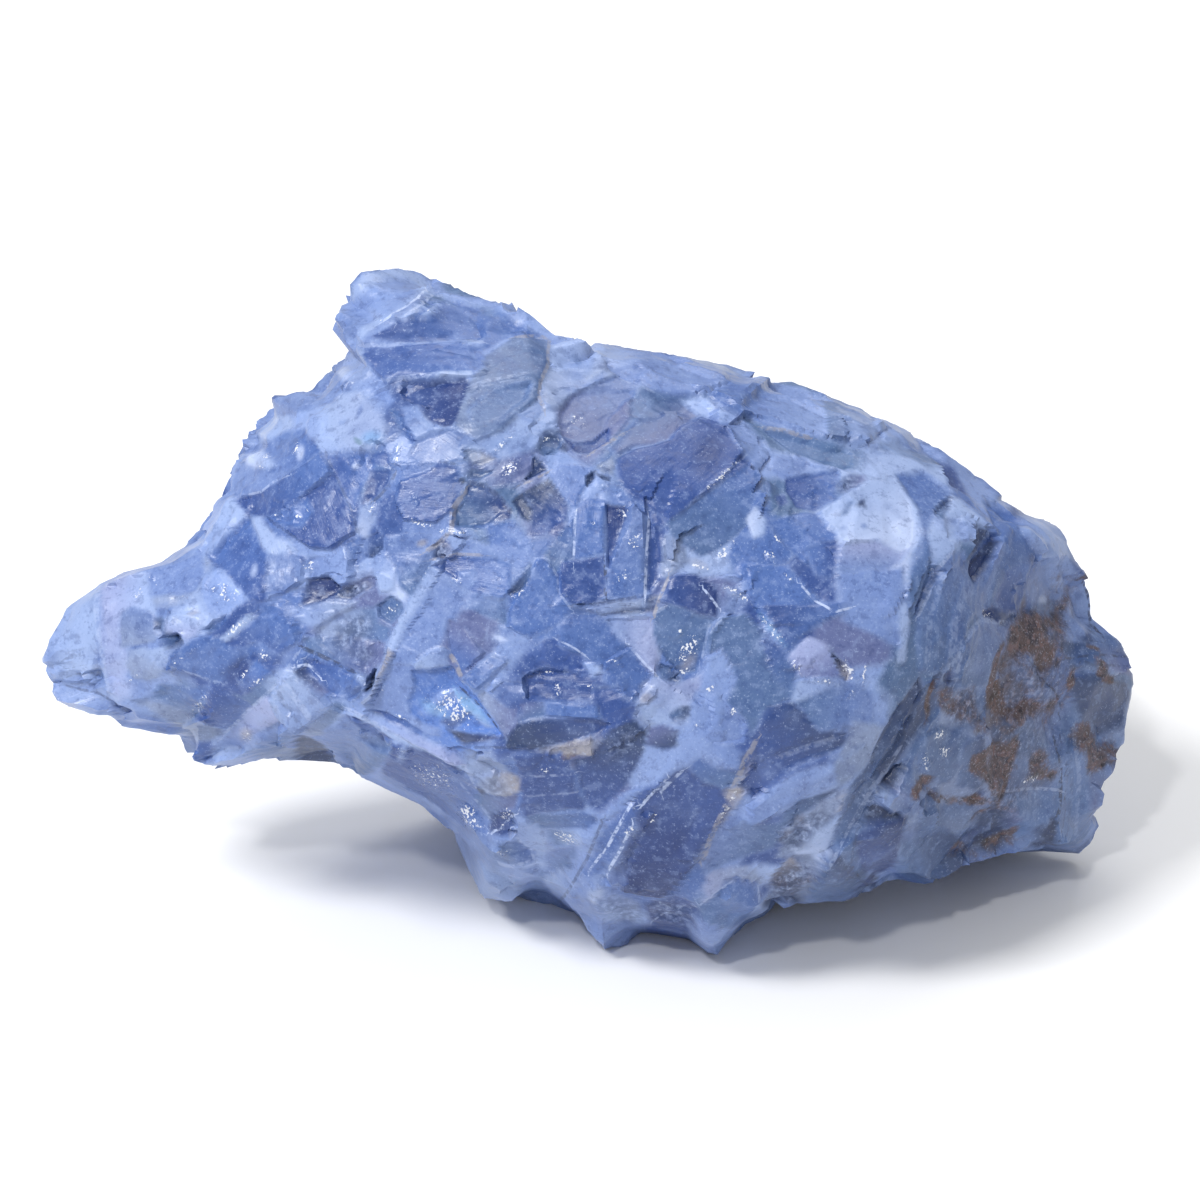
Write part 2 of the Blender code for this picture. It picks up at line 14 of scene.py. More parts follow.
import bpy
import numpy as np
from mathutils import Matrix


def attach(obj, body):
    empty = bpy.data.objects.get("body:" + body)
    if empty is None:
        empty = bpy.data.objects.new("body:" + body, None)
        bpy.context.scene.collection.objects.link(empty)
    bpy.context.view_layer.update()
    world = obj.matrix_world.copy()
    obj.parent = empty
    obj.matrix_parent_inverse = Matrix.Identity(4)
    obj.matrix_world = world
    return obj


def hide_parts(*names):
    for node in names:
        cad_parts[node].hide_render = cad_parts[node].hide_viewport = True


bl_info = {
    "name": "Rough blue calcite",
    "version": (1, 0, 0),
    "blender": (4, 5, 0),
    "location": "3D View > Sidebar > Calcite",
    "description": "Makes the finished skin of a rough lump of blue calcite, with its floor and light",
    "category": "Object",
}

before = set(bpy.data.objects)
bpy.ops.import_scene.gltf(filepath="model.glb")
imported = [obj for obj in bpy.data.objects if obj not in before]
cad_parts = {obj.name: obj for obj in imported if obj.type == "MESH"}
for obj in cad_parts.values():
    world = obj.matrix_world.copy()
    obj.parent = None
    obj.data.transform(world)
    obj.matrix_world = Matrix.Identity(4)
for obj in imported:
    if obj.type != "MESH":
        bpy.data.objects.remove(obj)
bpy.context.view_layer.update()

MM = 0.001
STONE = "calcite"

# Stance of the stone, as in the plain solid
LEAN_BACK = math.radians(28.0)  # the broad front leans back by this much from upright
HEART = np.array([-1.5, 9.0, 0.0])
REST_DROP = 40.7  # from the heart straight down to the flat spot it rests on
BOX_MIDDLE = np.array([1.05, 3.0])  # middle of the box on the ground, across and behind

# The skin's grid: six squares of a cube blown up to a ball, with more of it towards the eye
SQUARE_CUTS = 128
STRETCH = np.array([1.7, 1.05, 0.95])
TOWARDS_EYE = 0.5

# The broad form, its plain grains and its fit to the outline, as in the plain solid
BROAD_CRISPNESS = 12.0
STEP_WIDTH = 0.4
TALLEST_STEP = 3.0
PLAIN_GRAINS = 300
PLAIN_LENGTH = (8.0, 16.0)
PLAIN_NARROWING = (0.45, 0.9)
PLAIN_LEAN = 0.13
PLAIN_LIFT = 0.7
PLAIN_SEED = 28
PLAIN_CLEARANCE = 1.15
CLEAVAGE = math.radians(78.0)  # angle between the sides of a calcite rhomb
GRAIN_DEPTH = 14.0
NORMAL_PROBE = 2.0
FRONT_BIAS = np.array([0.0, 0.0, 0.6])
NEARER_WINS = 0.02
FLATTEST_SIGHT = 0.15
SEEDING_AXIS = np.array([0.36, 0.48, 0.80])
OUTLINE_BEARINGS = 240
EYE_DISTANCE = 520.0
OUTLINE_BLUR = 9  # half degrees
RATIO_BLUR = 3  # bearings
RIM_HOLD = 3.0
TEETH_HOLD = 7.0
RIM_EXCESS = 1.006
LINE_MARGIN = 2.5  # lines are measured up to this far from them

# Corners of the broken outline, clockwise from the snout's tip: across, up
OUTLINE = [
    (-60.0, -2.0), (-59.5, 0.0), (-57.5, 3.5), (-54.0, 6.0), (-51.5, 7.5), (-47.5, 8.5),
    (-44.5, 10.5), (-42.0, 13.5), (-39.5, 17.5), (-37.5, 23.0), (-35.5, 25.0), (-34.5, 27.0),
    (-30.5, 27.5), (-28.0, 30.0), (-26.0, 32.0), (-28.0, 34.0), (-27.0, 37.5), (-25.0, 40.5),
    (-21.0, 41.0), (-18.5, 40.5), (-16.0, 39.5), (-11.5, 37.5), (-8.0, 37.0), (-3.5, 33.5),
    (6.0, 32.0), (15.0, 30.5), (24.0, 28.0), (30.5, 25.5), (39.0, 21.0), (43.5, 18.0),
    (46.0, 15.5), (52.0, 12.5), (53.0, 11.0), (55.0, 7.5), (55.5, 2.5), (58.5, 0.0),
    (60.0, -3.0), (60.0, -6.0), (59.0, -11.0), (57.5, -15.5), (55.5, -22.0), (54.5, -23.5),
    (50.5, -23.0), (46.0, -23.5), (41.5, -25.0), (38.5, -27.0), (33.5, -26.5), (29.0, -28.5),
    (23.0, -29.0), (17.5, -31.0), (14.0, -35.0), (11.0, -33.0), (6.5, -32.5), (2.0, -35.5),
    (-1.0, -31.0), (-4.5, -29.0), (-11.5, -28.5), (-15.0, -21.0), (-18.5, -18.0),
    (-25.0, -15.0), (-28.0, -13.5), (-35.0, -13.0), (-41.5, -14.5), (-44.0, -13.0),
    (-45.0, -10.5), (-51.5, -9.5), (-55.5, -8.0), (-58.5, -6.5),
]  # fmt: skip

# Broad faces: the way each one looks (across, up, near) and its distance from the heart
BROAD_FACES = {
    "broken front": ((0.00, 0.03, 1.00), 24.0),
    "snout front": ((-0.36, 0.02, 0.93), 26.5),
    "cheek": ((-0.60, 0.45, 0.66), 32.0),
    "jaw": ((-0.35, -0.75, 0.56), 31.0),
    "right end": ((0.77, -0.25, 0.59), 42.5),
    "right shoulder": ((0.60, 0.55, 0.58), 43.0),
    "brow": ((0.00, 0.76, 0.65), 28.0),
    "crest slope": ((0.25, 0.68, 0.69), 23.0),
    "lower front": ((0.00, -0.60, 0.80), 32.0),
    "back": ((0.00, 0.47, -0.88), 27.0),
    "snout back": ((-0.45, 0.30, -0.84), 24.0),
    "back of the right end": ((0.60, 0.20, -0.77), 45.0),
    "back of the underside": ((0.02, -0.62, -0.78), 41.0),
}

# Grains of the front: across, up, length, width, turn in degrees, lift, lean right, lean up, tone
FRONT_GRAINS = {
    "ear dome": (-22.0, 38.0, 9.5, 6.0, 28, 0.6, -0.25, 0.35, "sky"),
    "ear bevel": (-18.5, 37.5, 6.5, 1.5, 42, 0.2, 0.10, -0.05, "pale"),
    "ear front": (-17.5, 35.0, 13.0, 3.5, 8, -1.0, 0.00, -0.35, "soft"),
    "ear shoulder": (-7.5, 35.0, 9.0, 4.0, -28, -0.4, 0.15, 0.25, "soft"),
    "brow band": (-18.0, 31.0, 13.5, 3.0, 3, 0.6, 0.00, -0.05, "blue"),
    "dark window": (-17.5, 27.0, 10.0, 5.0, 8, -0.7, 0.00, 0.10, "navy"),
    "beige slab upper": (-8.0, 30.5, 7.5, 5.5, 12, 0.0, 0.08, 0.08, "grey"),
    "beige slab lower": (-10.5, 25.5, 9.0, 6.0, 24, 0.3, 0.02, 0.00, "grey"),
    "notch slope": (-27.0, 29.5, 6.5, 3.5, 35, -0.6, -0.30, 0.20, "sky"),
    "white cloud": (-27.5, 24.5, 9.5, 6.0, 14, 0.5, -0.05, 0.15, "pale"),
    "cloud rim": (-31.5, 25.5, 5.5, 4.0, 30, -0.3, -0.30, 0.20, "sky"),
    "cheek facet": (-33.5, 20.5, 9.5, 5.0, 24, 0.4, -0.25, 0.05, "blue"),
    "cheek lower facet": (-36.0, 16.5, 8.0, 4.0, 12, -0.3, -0.20, -0.15, "deep"),
    "cheek edge": (-39.5, 13.5, 7.5, 2.5, 56, 0.2, -0.45, 0.20, "sky"),
    "left block": (-28.5, 14.5, 9.0, 7.5, 72, 0.9, -0.08, 0.00, "deep"),
    "left block foot": (-30.0, 9.0, 7.0, 5.0, 20, 0.2, -0.05, -0.15, "sky"),
    "blue slope": (-37.5, 10.0, 9.0, 6.5, 38, 0.3, -0.10, 0.10, "blue"),
    "grey wedge": (-23.5, 17.5, 4.5, 3.0, 64, -0.4, 0.20, 0.05, "steel"),
    "pale cloud": (-16.5, 22.0, 6.0, 4.5, -10, 0.4, 0.00, 0.05, "sky"),
    "middle block": (-18.5, 15.5, 9.5, 7.5, 10, 0.5, 0.05, 0.05, "soft"),
    "middle block foot": (-20.5, 9.5, 7.0, 4.0, -12, -0.3, 0.00, -0.15, "soft"),
    "pale vein": (-24.0, 11.5, 7.5, 2.0, 84, 0.2, -0.10, 0.00, "pale"),
    "green window": (-11.0, 15.0, 7.5, 5.5, -30, -0.4, 0.12, 0.12, "teal"),
    "grey chips": (-9.5, 19.5, 7.0, 4.0, 34, 0.3, 0.00, 0.05, "mauve"),
    "pale upright": (-13.0, 23.0, 5.5, 3.5, 40, 0.1, 0.05, 0.05, "pale"),
    "crest slab left": (0.5, 30.5, 10.0, 5.0, -8, 0.2, 0.05, 0.20, "mist"),
    "purple patch": (1.5, 25.0, 10.0, 7.0, 46, -0.5, 0.05, -0.05, "mauve"),
    "small grey grain": (-4.0, 22.5, 3.5, 3.0, 10, -0.8, 0.10, -0.10, "slate"),
    "pale nook": (-2.5, 17.5, 6.0, 6.0, 66, 0.2, -0.05, 0.02, "sky"),
    "mauve wedge": (-4.5, 15.5, 6.5, 5.5, 70, -0.3, -0.08, -0.08, "mauve"),
    "great dome left": (5.5, 22.5, 11.5, 5.0, 68, 0.9, -0.20, 0.10, "steel"),
    "great dome": (11.5, 20.0, 14.0, 10.0, 52, 1.7, 0.02, 0.05, "deep"),
    "great dome foot": (14.5, 14.0, 10.5, 6.0, 38, 0.9, 0.05, -0.20, "blue"),
    "glitter block left": (0.5, 9.5, 10.5, 4.5, 92, 0.4, -0.05, 0.00, "soft"),
    "glitter block right": (4.5, 10.0, 10.5, 4.0, 90, 0.9, 0.06, -0.02, "blue"),
    "block side": (7.5, 10.0, 9.5, 2.0, 92, -0.5, 0.35, 0.00, "deep"),
    "block sill": (4.0, 4.0, 9.5, 1.5, 6, 0.3, 0.00, -0.35, "slate"),
    "crest slab middle": (11.5, 29.0, 12.0, 5.0, -12, 0.1, 0.05, 0.25, "soft"),
    "crest slab right": (22.5, 25.5, 12.0, 5.5, -18, 0.3, 0.08, 0.22, "steel"),
    "crest sill": (25.0, 21.5, 13.5, 3.5, -10, -0.4, 0.02, 0.10, "teal"),
    "pale shelf": (22.5, 19.0, 8.0, 5.0, -20, 0.2, 0.02, 0.05, "sky"),
    "white oval": (32.0, 13.0, 10.0, 8.0, 62, 0.8, 0.10, 0.05, "white"),
    "oval pits": (26.0, 14.0, 6.0, 4.5, 60, -0.3, 0.00, -0.05, "mist"),
    "sparkling slope": (20.0, 11.0, 10.0, 6.5, 58, 0.2, 0.05, -0.08, "blue"),
    "blue slab": (23.5, 4.5, 10.5, 7.5, 50, 0.6, 0.02, 0.02, "deep"),
    "slab foot": (19.0, 3.5, 12.0, 4.0, 54, -0.4, -0.10, -0.05, "deep"),
    "clear corner": (13.0, 10.0, 5.5, 5.0, 10, -0.5, 0.00, 0.00, "pale"),
    "deep facet upper": (11.5, 5.0, 7.5, 4.5, -8, 0.5, 0.05, 0.05, "mauve"),
    "deep facet lower": (10.5, -0.5, 8.5, 6.0, 76, 0.2, 0.00, -0.20, "blue"),
    "pale triangle": (5.0, 0.0, 7.5, 5.0, -58, 0.1, 0.05, -0.05, "mist"),
    "smooth slope": (17.5, -2.5, 15.5, 9.0, 112, 0.5, 0.03, 0.00, "soft"),
    "amber corner": (28.5, 0.0, 7.5, 6.0, -52, 0.5, 0.02, -0.10, "mauve"),
    "pale veil": (27.5, -5.5, 10.0, 6.0, 6, 0.1, 0.05, 0.00, "sky"),
    "rounded grain upper": (-5.0, 5.5, 9.5, 6.0, 56, 0.3, -0.02, 0.05, "blue"),
    "rounded grain": (0.0, 0.5, 8.0, 6.5, -10, 0.8, 0.00, -0.05, "blue"),
    "dark mouth": (0.0, -3.0, 13.0, 4.0, -12, -0.7, 0.00, -0.25, "deep"),
    "lens grain": (-1.5, -8.0, 15.5, 6.0, 10, 0.7, 0.00, -0.05, "deep"),
    "tan rim": (-1.5, -11.5, 5.5, 2.0, 14, 0.2, 0.00, -0.20, "tan"),
    "pocket": (9.0, -8.0, 7.0, 5.0, 40, -0.8, 0.05, 0.00, "mist"),
    "small pale knot": (6.5, -5.0, 5.0, 3.5, -10, 0.5, 0.00, 0.00, "pale"),
    "purple flank": (-14.0, 0.0, 9.5, 5.0, 62, -0.2, 0.05, 0.00, "mauve"),
    "pale strip": (-9.5, -2.5, 7.0, 2.0, 44, 0.6, 0.05, 0.00, "sky"),
    "left field": (-16.5, 3.0, 10.0, 6.5, 58, 0.2, 0.00, 0.05, "soft"),
    "soft field": (-12.0, 7.5, 8.5, 5.0, -14, -0.2, 0.05, 0.10, "soft"),
    "cream fin": (-20.5, 1.5, 17.5, 1.5, 58, 1.5, -0.10, 0.00, "pale"),
    "fin gap": (-24.5, -3.5, 5.0, 1.5, 58, -1.6, 0.10, -0.05, "slate"),
    "crushed zone": (-25.5, 2.0, 9.5, 6.5, 40, -0.7, 0.05, -0.05, "mauve"),
    "dark spot": (-29.5, 5.5, 5.0, 2.5, 16, -0.9, 0.00, -0.10, "navy"),
    "white chips": (-21.0, 7.5, 5.0, 3.5, 70, 0.5, 0.00, 0.05, "white"),
    "bright patch": (-40.5, 5.5, 7.0, 5.0, 40, 0.5, -0.12, 0.08, "pale"),
    "snout cloud": (-48.5, 5.5, 11.0, 5.0, 18, 0.3, -0.12, 0.30, "mist"),
    "snout grain": (-49.5, 1.0, 5.5, 5.0, -84, 0.1, -0.12, 0.00, "soft"),
    "snout chip": (-46.5, 0.5, 3.0, 2.0, -50, -0.7, 0.00, 0.00, "slate"),
    "snout lower cloud": (-49.5, -4.0, 6.5, 4.5, -40, 0.2, -0.12, -0.15, "sky"),
    "snout tip": (-57.0, 1.5, 8.5, 5.5, 58, 0.8, -0.40, 0.15, "sky"),
    "snout tip fold": (-56.0, -3.5, 7.5, 2.5, 8, 0.1, -0.30, -0.10, "sky"),
    "snout tip ledge": (-54.5, -6.5, 8.5, 2.5, -24, -0.9, -0.20, -0.25, "blue"),
    "snout ledge end": (-48.5, -9.0, 7.5, 2.0, -10, -1.1, -0.05, -0.35, "blue"),
    "banded block": (-39.5, -3.0, 14.0, 7.0, 43, 1.1, -0.04, 0.00, "deep"),
    "banded block end": (-45.0, -7.0, 7.5, 5.0, 43, 0.5, -0.08, -0.05, "steel"),
    "band shelf": (-35.0, 1.0, 7.5, 4.5, 40, 1.3, -0.04, 0.05, "blue"),
    "pale prism": (-31.5, -7.0, 8.0, 5.0, -50, 0.9, 0.04, -0.05, "pale"),
    "prism bars": (-28.5, -3.5, 8.0, 4.0, -34, 0.5, 0.00, 0.02, "blue"),
    "clear wedge": (-37.5, -11.0, 10.0, 4.5, 28, 0.4, -0.05, -0.15, "sky"),
    "chin chip": (-43.0, -12.5, 3.0, 2.5, 0, -0.9, -0.10, -0.20, "blue"),
    "under shadow": (-31.5, -12.5, 7.5, 2.5, -4, -2.0, 0.00, -0.40, "slate"),
    "sparkle triangle": (-15.0, -7.0, 9.5, 6.5, -48, -0.7, 0.05, 0.00, "electric"),
    "triangle slope": (-20.5, -5.5, 7.5, 4.5, 58, 0.0, 0.02, 0.00, "soft"),
    "long pale ridge": (-19.0, -11.0, 15.0, 1.5, -25, 1.2, 0.00, 0.05, "pale"),
    "barred block": (-23.0, -13.5, 12.0, 4.5, -27, 0.6, -0.02, -0.08, "blue"),
    "speckled block": (-14.5, -16.5, 9.5, 5.5, -34, 0.2, 0.00, -0.10, "blue"),
    "warm chip": (-10.5, -14.5, 5.0, 4.0, -60, -0.2, 0.05, -0.05, "mist"),
    "stepped block": (-4.5, -16.5, 9.0, 7.0, -4, 0.4, 0.02, 0.00, "blue"),
    "dark quads": (2.0, -15.5, 8.5, 5.5, -66, -0.5, -0.10, 0.00, "mauve"),
    "pale lower face": (-10.5, -25.0, 10.0, 6.5, -14, 0.2, -0.10, -0.15, "sky"),
    "pale lower rough": (-4.0, -24.0, 9.0, 6.5, 48, -0.1, 0.00, -0.10, "sky"),
    "glint ledge": (2.0, -23.0, 14.5, 2.5, 58, 0.9, -0.35, 0.05, "soft"),
    "deep window": (10.0, -20.0, 13.5, 9.0, 60, -0.1, 0.10, 0.00, "navy"),
    "window foot": (6.0, -29.5, 12.0, 5.0, -4, 0.2, 0.05, -0.15, "blue"),
    "left foot": (3.0, -32.0, 6.5, 4.0, -58, 0.2, 0.00, -0.20, "soft"),
    "right foot": (14.5, -31.0, 7.0, 5.0, 62, 0.0, 0.08, -0.15, "soft"),
    "speckled line": (16.0, -17.5, 13.5, 2.0, 60, 0.5, 0.10, 0.00, "tan"),
    "blue block": (22.0, -10.5, 11.0, 7.5, 20, 0.2, 0.02, 0.00, "deep"),
    "pale slab": (22.5, -16.5, 12.5, 3.0, 26, 1.0, 0.02, -0.10, "sky"),
    "low slab": (18.0, -23.5, 10.0, 5.0, 28, 0.0, 0.05, -0.10, "soft"),
    "white crush": (25.0, -21.5, 10.5, 5.5, 58, -0.6, 0.10, -0.10, "mist"),
    "veil edge": (31.0, -9.0, 10.0, 5.0, 70, 0.2, 0.15, 0.00, "sky"),
    "streaked face": (36.5, -1.0, 16.5, 6.0, 62, 0.2, 0.12, -0.02, "teal"),
    "streaked face top": (41.5, 4.5, 12.0, 4.5, 60, 0.4, 0.12, 0.05, "teal"),
    "dark slant": (44.0, 9.5, 6.5, 3.0, 60, -0.8, 0.10, 0.00, "slate"),
    "dark slant low": (37.5, 5.5, 5.5, 2.0, 60, -0.5, 0.10, 0.00, "slate"),
    "crest end left": (36.0, 21.0, 10.0, 5.5, -28, 0.2, 0.10, 0.20, "steel"),
    "crest end": (43.0, 15.5, 10.0, 5.5, -38, 0.4, 0.10, 0.10, "blue"),
    "round chip": (41.5, 12.5, 3.5, 3.0, 0, 0.4, 0.05, 0.05, "sky"),
    "right shoulder": (49.0, 10.0, 9.0, 6.0, -34, 0.3, 0.10, 0.15, "soft"),
    "shoulder end": (53.5, 7.5, 6.5, 4.0, -50, 0.5, 0.20, 0.15, "sky"),
    "rust gully": (49.5, 2.0, 10.5, 4.0, 66, -0.8, 0.00, 0.05, "rust"),
    "pale cheek end": (54.0, 3.5, 7.5, 4.5, -70, 0.4, 0.05, 0.10, "sky"),
    "tip ledge": (56.5, -2.0, 7.5, 3.5, -14, 0.9, 0.10, 0.10, "mist"),
    "teal block": (56.5, -7.5, 8.0, 6.0, -80, 0.3, 0.15, -0.05, "teal"),
    "fibre slab": (54.0, -15.5, 15.5, 4.0, 80, 0.6, 0.00, 0.00, "steel"),
    "rust hollow": (47.0, -6.0, 6.5, 5.0, 50, -0.6, -0.05, 0.10, "rust"),
    "grey window": (48.0, -11.5, 7.0, 5.0, 4, 0.1, -0.05, 0.00, "steel"),
    "pale pane": (44.0, -2.5, 8.0, 5.5, 70, 0.4, -0.10, 0.05, "steel"),
    "glint face": (40.0, -10.0, 11.0, 6.0, 60, 0.3, -0.10, 0.00, "steel"),
    "dark striation": (33.0, -15.0, 21.0, 2.5, 62, -1.3, 0.10, 0.00, "slate"),
    "pale tablet": (34.0, -17.5, 5.0, 2.5, -18, 1.0, -0.10, 0.05, "sky"),
    "corner facet": (34.0, -23.5, 9.5, 5.5, 22, 0.1, -0.05, -0.15, "steel"),
    "low facet": (40.5, -21.5, 7.5, 6.5, 40, 0.3, 0.00, -0.10, "steel"),
    "rust foot": (46.0, -19.5, 6.5, 5.0, 60, -0.3, 0.00, -0.10, "slate"),
    "fibre foot": (49.5, -20.0, 5.5, 5.5, 10, 0.1, 0.05, -0.05, "slate"),
}

